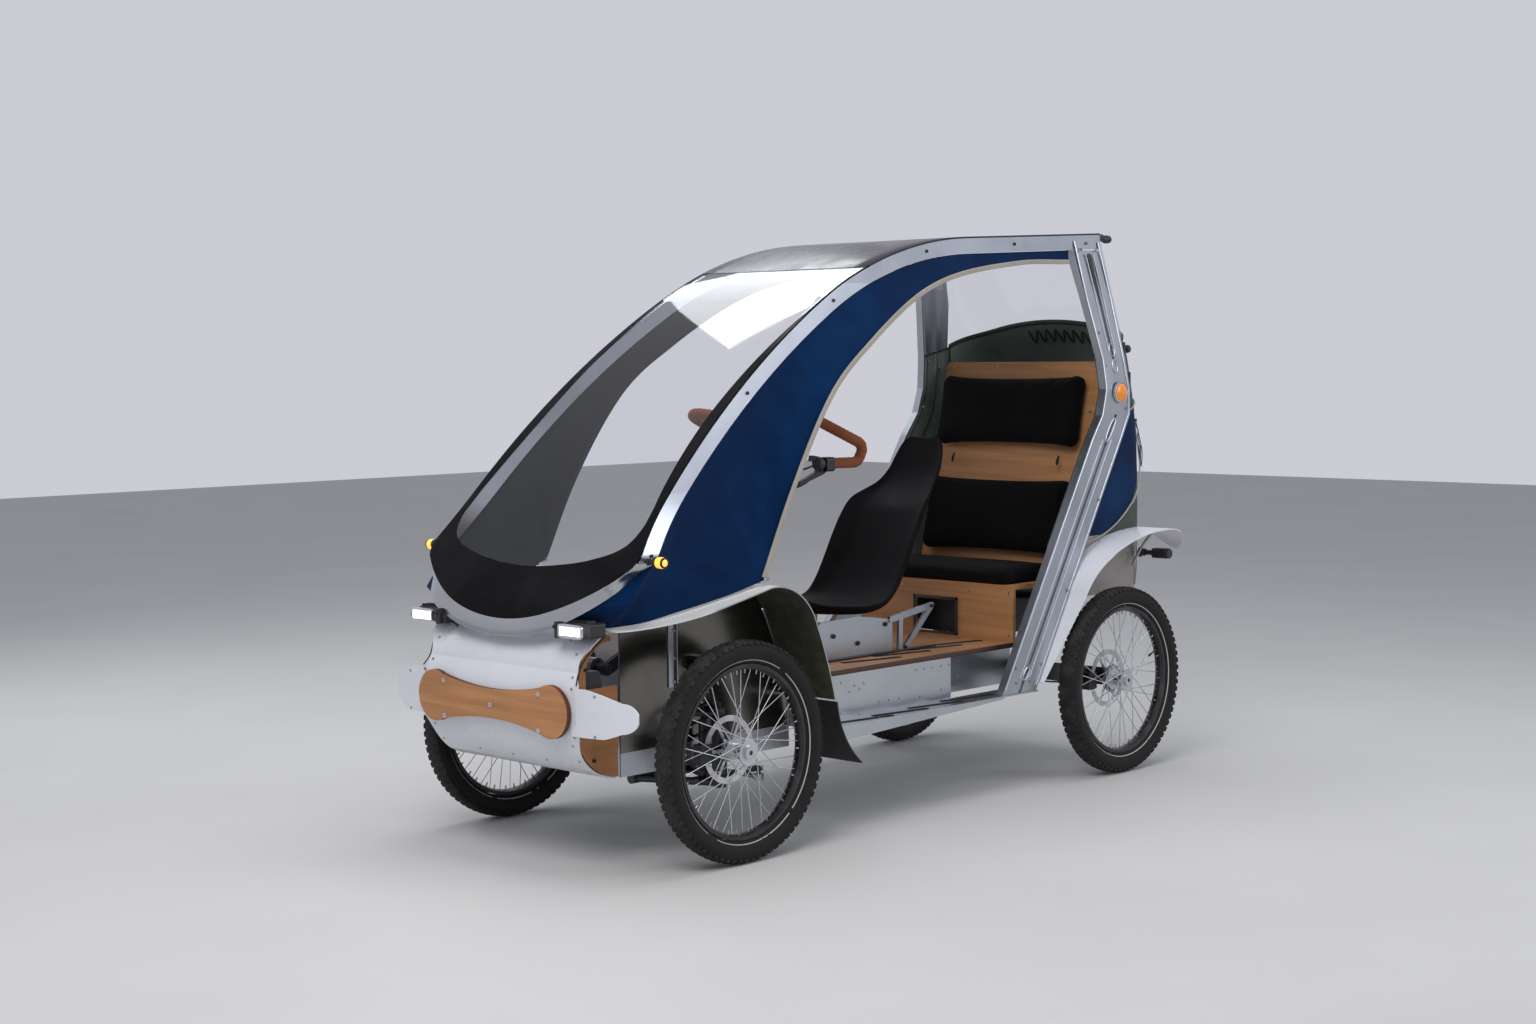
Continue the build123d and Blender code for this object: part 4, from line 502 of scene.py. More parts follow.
CHROME = metal("polished_metal", srgb("DADCDF"), 0.14, (1, 1, 1), 60.0, wear=0.03, dents=0.04)
PLY_PLATE = plywood("ply_plate", srgb("BE8759"), srgb("5A3420"), (0.9, 14, 14), sheet_axis=1)
PLY_BENCH = plywood("ply_bench", srgb("BB8659"), srgb("7E4729"), (0.8, 12, 12))
PLY_SIDE = plywood("ply_cheek", srgb("A87449"), srgb("40281A"), (14, 0.9, 14), sheet_axis=0)
PLY_DECK = plywood("ply_deck", srgb("A97B55"), srgb("3F281C"), (14, 0.8, 14), sheet_axis=2)
WHITE = plastic("white_panel", srgb("DADDE4"), 0.3, 0.06, 500.0, coat=0.35, bump=0.05)
BLACK_GLOSS = plastic("black_border", (0.003, 0.003, 0.004), 0.12, 0.3, 900.0, bump=0.01, shine=0.05)
ROOF_SHEET = plastic("dark_roof", (0.016, 0.017, 0.020), 0.24, 0.3, 900.0, bump=0.02, shine=0.2)
BLACK_PLASTIC = plastic("black_plastic", (0.018, 0.018, 0.019), 0.42, 0.5, 900.0, bump=0.3)
SEAT_BLACK = plastic("seat_cover", (0.003, 0.003, 0.0035), 0.6, 0.5, 1400.0, bump=0.45, shine=0.12)
RUBBER = plastic("black_rubber", (0.014, 0.014, 0.014), 0.7, 0.8, 700.0, bump=0.4)
BATTERY = plastic("battery_case", (0.02, 0.02, 0.022), 0.5, 0.4, 800.0)
BLUE = cloth("blue_canvas", srgb("001C40"), srgb("00315E"), 0.0012, sheen=0.03)
LINING = cloth("dark_lining", srgb("1E2224"), srgb("2C3133"), 0.0013, rough=0.85, sheen=0.05)
# rear lining: the grey-green canvas lightened as painted light for the shaded inside of the rear body and its
# front wings
REAR_LINING_PAINTED_LIGHT = cloth(
    "rear_lining_painted_light", srgb("66726A"), srgb("808D83"), 0.0013, across=(0, 2), rough=0.85, sheen=0.05
)
GREY_CLOTH = cloth("grey_green_canvas", srgb("46524A"), srgb("616C63"), 0.0013, rough=0.85)
PIPING = cloth("canvas_piping", srgb("A9ABA0"), srgb("C6C7BC"), 0.0009, rough=0.8)
TRIM = plastic("door_trim", srgb("9C968B"), 0.5, 0.15, 900.0)
CUSHION = cloth(
    "black_upholstery", (0.002, 0.002, 0.0025), (0.006, 0.006, 0.007), 0.0010, across=(0, 2), rough=0.85,
    sheen=0.02,
)
TAPE = cloth("handlebar_tape", srgb("7A4128"), srgb("93583A"), 0.0016, across=(0, 2), rough=0.6, sheen=0.1)
CORD_BLACK = cloth("black_cord", (0.012, 0.012, 0.012), (0.04, 0.04, 0.04), 0.0012, rough=0.75)
LED = glow("led_lens", (0.85, 0.87, 0.9), (1.0, 1.0, 1.0), 1.1)
AMBER = glow("amber_lens", (0.9, 0.28, 0.02), (1.0, 0.42, 0.04), 1.6)
AMBER_DULL = glow("amber_marker", srgb("D87A14"), (1.0, 0.4, 0.03), 0.12)
RED = glow("red_lens", (0.45, 0.008, 0.008), (0.8, 0.02, 0.02), 0.15)
CLEAR = clear_sheet()


def wing_paint():
    """Pale outside and dark olive inside, told apart by whether the surface faces the wheel; the olive is
    partly the sheet's own colour and partly painted shade.
    """
    p = Paint("wing_sheet")
    normal = own_normal(p)
    moved = p.split(p.stretch(move=(0, -AXLE_Y, -AXLE_Z / 1000)))
    facing = p.math("ADD", p.math("MULTIPLY", moved[1], normal[1]), p.math("MULTIPLY", moved[2], normal[2]))
    outside = p.ramp(facing, -0.01, 0.01)
    broad = p.noise(7.0, detail=4)
    dirt = p.noise(38.0, detail=5)
    pale = p.mix(p.ramp(broad, 0.3, 0.75), srgb("CBCDCB"), srgb("D9DADA"))
    # painted shade: the side facing the wheel is dark olive, partly its own colour and partly shade
    olive_and_shade = p.mix(p.ramp(dirt, 0.35, 0.75), srgb("34362A"), srgb("45463A"))
    tone = p.mix(outside, olive_and_shade, pale)
    rough = p.ramp(outside, 0.0, 1.0, 0.72, 0.34)
    return p.end(tone, rough, p.bump(dirt, 0.12, 0.0006))


def trunk_paint():
    """Grey-green canvas with a blue panel on each side, bounded by an arc and a rising seam."""
    p = Paint("trunk_canvas")
    parts = p.split(p.where)
    dy = p.math("DIVIDE", p.math("SUBTRACT", parts[1], AXLE_Y + BLUE_ARC[0] / 1000), BLUE_ARC[2] / 1000)
    dz = p.math("DIVIDE", p.math("SUBTRACT", parts[2], BLUE_ARC[1] / 1000), BLUE_ARC[3] / 1000)
    inside = p.math("LESS_THAN", p.sum_of_squares(dy, dz), 1.0)
    rise = p.math(
        "MULTIPLY_ADD",
        p.math("SUBTRACT", parts[1], AXLE_Y + SEAM_START[0] / 1000),
        SEAM_RISE,
        SEAM_START[1] / 1000,
    )
    below = p.math("LESS_THAN", parts[2], rise)
    outer = p.math("GREATER_THAN", p.math("ABSOLUTE", parts[0]), 0.255)
    blue = p.math("MULTIPLY", p.math("MULTIPLY", inside, below), outer)
    waver = p.noise(160.0, detail=2)
    a = p.math("SINE", p.math("MULTIPLY_ADD", p.math("ADD", parts[0], parts[1]), 2 * pi / 0.0013, waver))
    b = p.math("SINE", p.math("MULTIPLY_ADD", parts[2], 2 * pi / 0.0013, waver))
    weave = p.math("MULTIPLY", a, b)
    broad = p.noise(6.0, detail=5, rough=0.6)
    green = p.mix(p.ramp(broad, 0.3, 0.75), srgb("4A554D"), srgb("5E6A61"))
    navy = p.mix(p.ramp(broad, 0.3, 0.75), srgb("001C40"), srgb("00315E"))
    tone = p.mix(blue, green, navy)
    # painted shade: the colour darkens where the weave dips between the threads
    tone = p.mix(p.ramp(weave, -0.6, 0.9, 0.15, 0.0), tone, (0.01, 0.012, 0.012))
    rumple = p.bump(p.noise(24.0, detail=3), 0.4, 0.002)
    bare = p.math("LESS_THAN", parts[2], BARE_TOP / 1000)
    tone = p.mix(bare, tone, (0.36, 0.33, 0.31))
    rough = p.ramp(bare, 0.0, 1.0, 0.82, 0.24)
    p.end(tone, rough, p.bump(weave, 0.45, 0.0004, rumple), Specular_IOR_Level=0.25)
    return p.set_metallic(bare)


BARE_TOP = 655.0  # below this the rear body is a bare satin panel
BLUE_ARC = (1450.0, 930.0, 342.0, 294.0)  # middle behind the front axle and up, and the two half lengths
SEAM_START = (1650.0, 985.0)
SEAM_RISE = 0.38
WING_SHEET = wing_paint()
TRUNK = trunk_paint()
LED_CORE = glow("led_core", (0.9, 0.9, 0.92), (1.0, 1.0, 1.0), 3.0)
DARK_EDGE = plastic("ply_edge_sealer", srgb("3A241A"), 0.6, 0.5, 300.0)
# arch liner: a darker sheet, partly its own colour and partly painted shade cast by the wing
ARCH_LINER_PAINTED_SHADE = metal("arch_liner_painted_shade", srgb("77756F"), 0.2, (1, 0.06, 1), 160.0, wear=0.02, dents=0.04)
RED_METAL = metal("red_anodised", srgb("B3261C"), 0.3, (1, 1, 1), 60.0)
STRIP_RUBBER = plastic("tread_strip", (0.012, 0.012, 0.013), 0.85, 0.8, 2500.0, bump=0.6, shine=0.25)

# ------------------------------------------------------------ finishes of the carried-over pieces
FRONT_X, REAR_X = 0.416, 0.402
REAR_AXLE_Y = AXLE_Y + WHEELBASE / 1000
WHEELS = [
    ("front_left", FRONT_X, AXLE_Y),
    ("front_right", -FRONT_X, AXLE_Y),
    ("rear_left", REAR_X, REAR_AXLE_Y),
    ("rear_right", -REAR_X, REAR_AXLE_Y),
]
FINISHES = [
    (CLEAR, "windscreen rear_window"),
    (ROOF_SHEET, "roof_panel"),
    (RAIL_METAL, "canopy_hoop"),
    (
        DARK_STEEL_AND_GROOVE_SHADE,
        "left_knuckle right_knuckle front_suspension rear_suspension steering_column handlebar crankset",
    ),
    (STEEL, "tie_rod"),
    (SHEET_METAL, "chassis_frame"),
    (PLY_DECK, "deck"),
    (FLAT_METAL, "running_boards front_floor arch_panels"),
    (PLY_BENCH, "bench_back bench_box"),
    (BATTERY, "battery_pack"),
    (ALUMINIUM, "seat_rail rear_posts pedal_mast"),
    (WHITE, "nose_panel rear_fenders"),
    (PLY_SIDE, "nose_cheeks"),
    (PLY_PLATE, "bumper_plate"),
    (BLACK_PLASTIC, "headlights turn_signals rear_lamps"),
    (WING_SHEET, "front_wings"),
    (RUBBER, "mud_flaps"),
    (SEAT_BLACK, "driver_seat"),
    (GREY_CLOTH, "rear_canvas"),
    (CUSHION, "seat_cushion lower_back_cushion upper_back_cushion"),
]
for material, names in FINISHES:
    for name in names.split():
        dress(name, material)
for name, x, y in WHEELS:
    dress(name + "_tyre", RUBBER)
    dress(name + "_wheel", wheel_paint(name + "_finish", x, y))

# ------------------------------------------------------------ windscreen, canvases and trims
SCREEN_FOOT = (-372.0, 560.0)
FOOT_HEADING = 81.8
SCREEN_ARCS = [(118.7, 28.2), (2535.0, 23.9), (1234.8, 27.1)]
HOOP_ARCS = [(579.3, 37.3), (38.6, 73.3), (476.6, -15.4)]
HOOP_BOTTOM = 571.0
ROOF_HALF_WIDTH = 290.0
ROOF_LEVEL = 1345.0
ROOF_REAR = 1580.0
SEAM_Y = 600.0
RAIL_DEPTH = 42.0


def screen_profile():
    """The canopy's side line from its foot: rows of (y, z, slope angle)."""
    y, z = SCREEN_FOOT
    heading = radians(FOOT_HEADING)
    rows = [(y, z, heading)]
    for radius, turn in SCREEN_ARCS:
        cy, cz = y + radius * sin(heading), z - radius * cos(heading)
        count = max(int(turn * 1.5), 12)
        for k in range(1, count + 1):
            a = heading - radians(turn) * k / count
            rows.append((cy - radius * sin(a), cz + radius * cos(a), a))
        heading -= radians(turn)
        y, z = rows[-1][:2]
    for k in range(1, 13):
        yy = y + (ROOF_REAR - y) * k / 12
        rows.append((yy, z + (yy - y) * tan(heading), heading))
    return rows


PROFILE = screen_profile()


def on_profile(column, value, otherwise):
    """The side line's other coordinate and its slope where one coordinate (0 is y, 1 is z) has a value."""
    other = 1 - column
    for a, b in zip(PROFILE, PROFILE[1:]):
        if a[column] <= value <= b[column]:
            t = (value - a[column]) / (b[column] - a[column])
            return a[other] + (b[other] - a[other]) * t, a[2] + (b[2] - a[2]) * t
    return otherwise[other], otherwise[2]


def by_height(z):
    """(y, slope) of the screen's outer face at a height, on its front part."""
    return on_profile(1, z, PROFILE[0])


def by_depth(y):
    """(z, slope) of the canopy's outer face at a distance behind the front axle."""
    return on_profile(0, y, PROFILE[-1])


def hoop_line():
    """Left half of the hoop's outline from the middle of its foot: rows of (x, z)."""
    x, z, heading = 0.0, HOOP_BOTTOM, 0.0
    rows = [(x, z)]
    for radius, turn in HOOP_ARCS:
        bend = 1 if turn > 0 else -1
        cx, cz = x - bend * radius * sin(heading), z + bend * radius * cos(heading)
        count = 16
        for k in range(1, count + 1):
            a = heading + radians(turn) * k / count
            rows.append((cx + bend * radius * sin(a), cz - bend * radius * cos(a)))
        heading += radians(turn)
        x, z = rows[-1]
    for k in range(1, 14):
        t = k / 13
        rows.append((x + (ROOF_HALF_WIDTH - x) * t, z + (ROOF_LEVEL - z) * t))
    return rows


HOOP = hoop_line()


def half_width(z):
    """Half width of the hoop at a height above its rounded corner."""
    if z >= ROOF_LEVEL:
        return ROOF_HALF_WIDTH
    for a, b in zip(HOOP[20:], HOOP[21:]):
        if a[1] <= z <= b[1]:
            return a[0] + (b[0] - a[0]) * (z - a[1]) / (b[1] - a[1])
    return HOOP[-1][0]


def rail_bottom(y):
    """Height of the hoop rail's lower edge at a distance behind the front axle."""
    z, slope = by_depth(y)
    return z - RAIL_DEPTH / cos(slope)


def on_screen(x, z, lift=0.9):
    """A point on the screen's outer face."""
    y, a = by_height(z)
    return at(x, y - sin(a) * lift, z + cos(a) * lift)


# black border: the outer line is the hoop's outline, the inner line comes from two short tables
# height, width
BORDER_SIDE = [(826, 21), (887, 29), (1000, 35), (1120, 28), (1230, 14), (1292, 3), (1400, 3)]
BORDER_FOOT = [  # share of the outline, half width and height of the border's inner line
    (0.0, 0, 686),
    (0.10, 90, 691),
    (0.22, 211, 709),
    (0.33, 300, 742),
    (0.40, half_width(782) - 27, 782),
    (0.46, half_width(826) - BORDER_SIDE[0][1], 826),
]
SHEET_EDGE = 3.4
HOOP_OUTLINE = HOOP + [(ROOF_HALF_WIDTH, by_depth(SEAM_Y)[0])]
HOOP_LENGTHS = [0.0]
for a, b in zip(HOOP_OUTLINE, HOOP_OUTLINE[1:]):
    HOOP_LENGTHS.append(HOOP_LENGTHS[-1] + hypot(b[0] - a[0], b[1] - a[1]))


def hoop_point(share):
    """A point of the hoop's outline at a share of its length."""
    want = min(share, 1.0) * HOOP_LENGTHS[-1]
    i = max(j for j in range(len(HOOP_LENGTHS) - 1) if HOOP_LENGTHS[j] <= want)
    t = (want - HOOP_LENGTHS[i]) / (HOOP_LENGTHS[i + 1] - HOOP_LENGTHS[i])
    return tuple(p + (q - p) * t for p, q in zip(HOOP_OUTLINE[i], HOOP_OUTLINE[i + 1]))


border = Shape("screen_border")
rows = []
BORDER_SAMPLES = 100
for k in range(-BORDER_SAMPLES, BORDER_SAMPLES + 1):
    share = abs(k) / BORDER_SAMPLES
    sign = -1 if k < 0 else 1
    ox, oz = hoop_point(share)
    foot_end, _, foot_height = BORDER_FOOT[-1]
    if share < foot_end:
        ix, iz = table(BORDER_FOOT, share)
    else:
        blend = max(0.0, 1 - (share - foot_end) / 0.22)
        iz = oz + (foot_height - hoop_point(foot_end)[1]) * blend * blend
        ix = half_width(iz) - table(BORDER_SIDE, iz)[0]
    row = [on_screen(sign * (ox + 0.4), oz, -SHEET_EDGE), on_screen(sign * (ox + 0.4), oz, 0.9)]
    row += [on_screen(sign * (ox + (ix - ox) * j / 10), oz + (iz - oz) * j / 10) for j in range(11)]
    rows.append(row)
border.grid(rows)
border.make(BLACK_GLOSS, "black_sheet")

# roof's dark skin, glossy, over the carried panel's top and edges
roof = Shape("roof_skin")
rows = []
for y in [SEAM_Y - 12 + (ROOF_REAR - SEAM_Y + 12) * k / 48 for k in range(49)]:
    z, slope = by_depth(y)
    row = [(-ROOF_HALF_WIDTH - 0.4, -SHEET_EDGE), (-ROOF_HALF_WIDTH - 0.4, 0.6)]
    row += [(-ROOF_HALF_WIDTH + 2 * ROOF_HALF_WIDTH * j / 12, 1.0) for j in range(13)]
    row += [(ROOF_HALF_WIDTH + 0.4, 0.6), (ROOF_HALF_WIDTH + 0.4, -SHEET_EDGE)]
    rows.append([at(x, y - sin(slope) * lift, z + cos(slope) * lift) for x, lift in row])
roof.grid(rows)
roof.make(ROOF_SHEET, "black_sheet", crease=50)

WING_LINE = [(-296, 292, 562), (-234, 330, 570), (-138, 360, 591), (0, 380, 618)]
DOOR_LINE = [
    (111, 393, 646), (205, 392, 831), (364, 378, 1062), (533, 358, 1191), (805, 325, 1332),
    (1195, 300, 1402), (1436, 292, 1411),
]
EDGE_REAR = DOOR_LINE[-1][0]


def free_edge(y):
    """(half width, height) of the canvas's lower edge: over the wing, then round the door."""
    return table(WING_LINE + DOOR_LINE[:1], y) if y < DOOR_LINE[0][0] else table(DOOR_LINE, y)


CREASE_START = 0.09  # share over which a crease rises from its start
CREASES = [  # start (share along, share down), heading in the sheet, depth in mm, width, length
    (0.23, 0.99, 1.75, 9.0, 0.034, 0.62),
    (0.235, 0.98, 1.5, 10.0, 0.028, 0.70),
    (0.24, 0.97, 1.25, 8.0, 0.026, 0.62),
    (0.21, 0.99, 2.1, 8.0, 0.030, 0.55),
    (0.12, 0.90, 1.9, 6.0, 0.034, 0.50),
    (0.16, 0.60, 1.2, 4.0, 0.040, 0.40),
]


def canvas_point(side, s, t, lift=0.0):
    """A point on a side canvas: s from front to rear, t from the rail down to the free edge."""
    y0 = WING_LINE[0][0]
    y = y0 + (EDGE_REAR - y0) * s
    x, z = free_edge(y)
    top_z = max(rail_bottom(y) - 1.5, z)
    top_x = half_width(max(top_z, 735.0)) - 1.6
    px = top_x + (x - 1.6 - top_x) * t
    pz = top_z + (z - top_z) * t
    depth = (top_z - z) / 400
    bow = -12.0 * min(depth, 1.0) * sin(pi * t) ** 1.2
    crease = 0.0
    for s0, t0, turn, high, wide, long in CREASES:
        ds, dt = (s - s0) * 2.2, (t - t0) * 0.9
        along = ds * cos(turn) - dt * sin(turn)
        off = abs(ds * sin(turn) + dt * cos(turn))
        if along > 0:
            fade = max(0.0, 1 - along / long) * min(1.0, along / CREASE_START)
            crease += high * fade * max(0.0, 1 - (off / (wide * (0.4 + along * 1.4))) ** 2) ** 2
    crease += 1.6 * noise.noise(Vector((s * 9, t * 4, side * 3))) * min(depth * 2, 1) * sin(
        pi * min(max(t, 0), 1)
    )
    edge = min(1.0, min(t, 1 - t) * 9) if 0 < t < 1 else 0.0
    return at(side * (px + bow * edge + crease * min(depth * 1.5, 1.0) * edge + lift), y, pz)


canvases = Shape("side_canvas_cloth")
for side in (1, -1):
    canvases.grid(
        [[canvas_point(side, s / 110, t / 36) for t in range(37)] for s in range(111)], flip=side < 0
    )
canvas_area = canvases.area()
canvases = canvases.make(BLUE, "blue_canvas", crease=60)
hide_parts("side_canvases")

# dark lining inside each canvas
lining = Shape("side_canvas_lining")
for side in (1, -1):
    lining.grid(
        [[canvas_point(side, s / 110, 0.01 + 0.97 * t / 24, -4.2) for t in range(25)] for s in range(111)],
        flip=side > 0,
    )
lining_area = lining.area()
lining = lining.make(LINING, "grey_canvas", crease=60)

# bright band round the screen's foot, from rail to rail
FOOT_BAND = [  # share of the outline, width out from the screen's edge, depth back
    (0.0, 40, 1),
    (0.16, 39, 2),
    (0.22, 37, 6),
    (0.27, 31, 16),
    (0.305, 20, 29),
    (0.33, 8, 38),
    (0.35, 1.2, 42.5),
    (0.37, 0.9, 42.5),
]
FOOT_SLOPE = 0.144  # how far the band leans forward below the screen's foot


def band_point(side, share, width_share, lift):
    """A point of the foot band; width share 0 is at the screen's edge and 1 at its outer edge."""
    x, z = hoop_point(share)
    ahead, behind = hoop_point(share + 0.004), hoop_point(max(share - 0.004, 0.0))
    run = Vector((ahead[0] - behind[0], 0, ahead[1] - behind[1])).normalized()
    out = Vector((run.z, 0, -run.x))
    wide, deep = table(FOOT_BAND, share)
    edge_x, edge_z = x + out.x * wide * width_share, z + out.z * wide * width_share
    front = by_height(max(edge_z, SCREEN_FOOT[1]))[0] - max(SCREEN_FOOT[1] - edge_z, 0) * FOOT_SLOPE
    face = Vector((out.x * deep, -wide - 4, out.z * deep)).normalized()
    return at(side * edge_x, front + deep * width_share, edge_z) + Vector(
        (side * face.x, face.y, face.z)
    ) * (lift / 1000)


foot_band = Shape("hoop_foot_band")
BAND_SECTION = [
    (-0.02, -1.0), (0.0, 1.6), (0.06, 2.2), (0.3, 2.2), (0.6, 2.2), (0.94, 2.2), (1.0, 1.6), (1.0, -0.8)
]
rows = []
for k in range(-74, 75):
    side = -1 if k < 0 else 1
    rows.append([band_point(side, abs(k) / 200, share, lift) for share, lift in BAND_SECTION])
foot_band.grid(rows)
foot_band.make(BAND_METAL, "aluminium", crease=40)


# the canvas's front corner, drawn round the hoop's bend to the wing
GUSSET_TOP, GUSSET_FOOT = 0.395, 0.185
GUSSET_REAR = 0.075  # share along the canvas where the corner piece ends at the rail


def along_line(points, share):
    """A point at a share of a line's length."""
    spans = [(b - a).length for a, b in zip(points, points[1:])]
    want = share * sum(spans)
    for a, b, span in zip(points, points[1:], spans):
        if want <= span:
            return a + (b - a) * (want / max(span, 1e-9))
        want -= span
    return points[-1].copy()


gusset = Shape("canvas_front_corner")
for side in (1, -1):
    hem = [canvas_point(side, GUSSET_REAR * (1 - k / 12), 0.0, -0.6) for k in range(13)]
    hem += [canvas_point(side, 0.0, k / 12, -0.6) for k in range(1, 13)]
    rows = []
    for k in range(33):
        t = k / 32
        near = band_point(side, GUSSET_TOP + (GUSSET_FOOT - GUSSET_TOP) * t, 0.88, -3.0)
        far = along_line(hem, t)
        fold = 2.0 * sin(pi * t) / 1000
        rows.append(
            [
                near + (far - near) * (j / 8) - Vector((side * fold * sin(pi * j / 8), 0, 0))
                for j in range(9)
            ]
        )
    gusset.grid(rows, flip=side > 0)
gusset_area = gusset.area()
gusset = gusset.make(BLUE, "blue_canvas", crease=60)


# door trim along the canvas's free edge
def door_share(y):
    """Share along the canvas at a distance behind the front axle."""
    return (y - WING_LINE[0][0]) / (EDGE_REAR - WING_LINE[0][0])


DOOR_START = door_share(DOOR_LINE[0][0] + 1)
trims = Shape("door_trim_band")
TRIM_SECTION = [
    (-1.2, 0.0), (1.4, 0.4), (2.2, 4.0), (1.4, 7.6), (2.0, 8.4), (1.2, 12.4), (-2.4, 12.4), (-3.4, 6.0),
    (-2.4, 0.6),
]
for side in (1, -1):
    rows = []
    for k in range(151):
        s = DOOR_START + (1 - DOOR_START) * k / 150
        a, b = canvas_point(side, max(s - 0.004, DOOR_START), 1.0), canvas_point(
            side, min(s + 0.004, 1.0), 1.0
        )
        run = (b - a).normalized()
        out = Vector((side, 0, 0))
        inward = run.cross(out).normalized()
        if inward.z < 0 and abs(run.y) > 0.2 or inward.y > 0 and abs(run.y) <= 0.2:
            inward.negate()
        out = (out - run * out.dot(run)).normalized()
        base = canvas_point(side, s, 1.0)
        rows.append([base + out * (o / 1000) + inward * (h / 1000) for o, h in TRIM_SECTION])
    trims.grid(rows, closed=True)
trims = trims.make(TRIM, "aluminium", crease=40)
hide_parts("door_trims")

clamps = Shape("canvas_clamps")
for side in (1, -1):
    corner = at(side * 394, 101, 645)
    clamps.block(corner, (0.016, 0.030, 0.006), along=(side, 0, 0), up=(0, -0.25, 1), round=0.003)
    clamps.bolt(corner + Vector((0, 0.004, 0.003)), (0, -0.25, 1), 0.0035, 0.003)
clamps.make(CHROME, "aluminium", bevel=0.001)

rail_bolts = Shape("rail_bolts")
for side in (1, -1):
    for y, drop in ((-250, 26), (120, 24), (451, 22), (820, 22), (1190, 22)):
        z, slope = by_depth(y)
        start = at(side * 600, y + sin(slope) * drop, z - cos(slope) * drop)
        rail_bolts.stud("canopy_hoop", start, (-side, 0, 0), 0.0045, 0.003, bolt=True)
rail_bolts.make(BLACK_PLASTIC, "aluminium")

# ------------------------------------------------------------ wheels
TYRE_PROFILE = [  # distance out from the wheel's middle plane, radius; left half, mirrored
    (0.0090, 0.2050),
    (0.0138, 0.2062),
    (0.0150, 0.2090),
    (0.0215, 0.2155),
    (0.0262, 0.2255),
    (0.0273, 0.2350),
    (0.0258, 0.2440),
    (0.0225, 0.2502),
    (0.0165, 0.2548),
    (0.0085, 0.2572),
    (0.0, 0.2578),
]
KNOBS = 76
KNOB_ROWS = [  # distance out, radius, width, place in the pitch, length, height
    (0.0045, 0.2572, 0.0062, 0.0, 0.0125, 0.0016),
    (-0.0045, 0.2572, 0.0062, 0.5, 0.0125, 0.0016),
    (0.0130, 0.2555, 0.0060, 0.25, 0.0115, 0.0016),
    (-0.0130, 0.2555, 0.0060, 0.75, 0.0115, 0.0016),
    (0.0216, 0.2503, 0.0085, 0.5, 0.0138, 0.0038),
    (-0.0216, 0.2503, 0.0085, 0.0, 0.0138, 0.0038),
]


def tyre(name, body, node, x, y):
    """A tyre with small blocks on its crown and shoulders."""
    shape = Shape(name)
    profile = TYRE_PROFILE + [(-o, r) for o, r in reversed(TYRE_PROFILE[:-1])]
    around = 120
    rows = []
    for k in range(around):
        a = 2 * pi * k / around
        rows.append([Vector((x + o, y + r * cos(a), AXLE_Z / 1000 + r * sin(a))) for o, r in profile])
    shape.grid(rows, wrap=True)
    for k in range(KNOBS):
        for offset, radius, width, phase, length, lift in KNOB_ROWS:
            a = 2 * pi * (k + phase) / KNOBS
            out = ring(a)
            tilt = asin(max(-0.95, min(0.95, offset / 0.0275 * 0.86)))
            normal = Vector((sin(tilt), 0, 0)) + out * cos(tilt)
            along = Vector((0, -sin(a), cos(a)))
            centre = Vector((x, y, AXLE_Z / 1000)) + Vector((offset, 0, 0)) + out * radius
            across = normal.cross(along).normalized()
            low = [
                centre + along * (i * length / 2) + across * (j * width / 2) - normal * 0.001
                for i, j in SQUARE
            ]
            high = [
                centre + along * (i * length * 0.42) + across * (j * width * 0.4) + normal * lift
                for i, j in SQUARE
            ]
            lv = [shape.bm.verts.new(q) for q in low]
            hv = [shape.bm.verts.new(q) for q in high]
            shape.bm.faces.new(hv)
            for i in range(4):
                shape.bm.faces.new([lv[i], lv[(i + 1) % 4], hv[(i + 1) % 4], hv[i]])
    obj = shape.make(tyre_paint(name + "_rubber", x, y), "tyre", body=body, crease=50)
    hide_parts(node)


def tyre_paint(name, x, y):
    """Black rubber, dusty on the crown, with a thin broken white line low on the sidewalls."""
    p = Paint(name)
    moved = p.from_axle(x, y)
    radius = p.math("POWER", p.sum_of_squares(moved[1], moved[2]), 0.5)
    dust = p.noise(30.0, detail=4)
    crown = p.math("MULTIPLY", p.ramp(radius, 0.246, 0.256), p.ramp(dust, 0.35, 0.7, 0.25, 0.9))
    tone = p.mix(p.ramp(dust, 0.3, 0.8), (0.009, 0.009, 0.009), (0.018, 0.0175, 0.017))
    tone = p.mix(crown, tone, (0.042, 0.040, 0.038))
    near = p.math("ABSOLUTE", p.math("SUBTRACT", radius, 0.2128))
    line = p.math("LESS_THAN", near, 0.0009)
    broken = p.math("GREATER_THAN", p.noise(14.0, detail=2), 0.36)
    tone = p.mix(p.math("MULTIPLY", p.math("MULTIPLY", line, broken), 0.75), tone, (0.62, 0.61, 0.58))
    ribs = p.math("SINE", p.math("MULTIPLY", radius, 2 * pi / 0.0023))
    fine = p.bump(p.noise(900.0, detail=2), 0.25, 0.0003)
    return p.end(
        tone, p.ramp(dust, 0.3, 0.8, 0.58, 0.8), p.bump(ribs, 0.12, 0.0004, fine), Specular_IOR_Level=0.22
    )


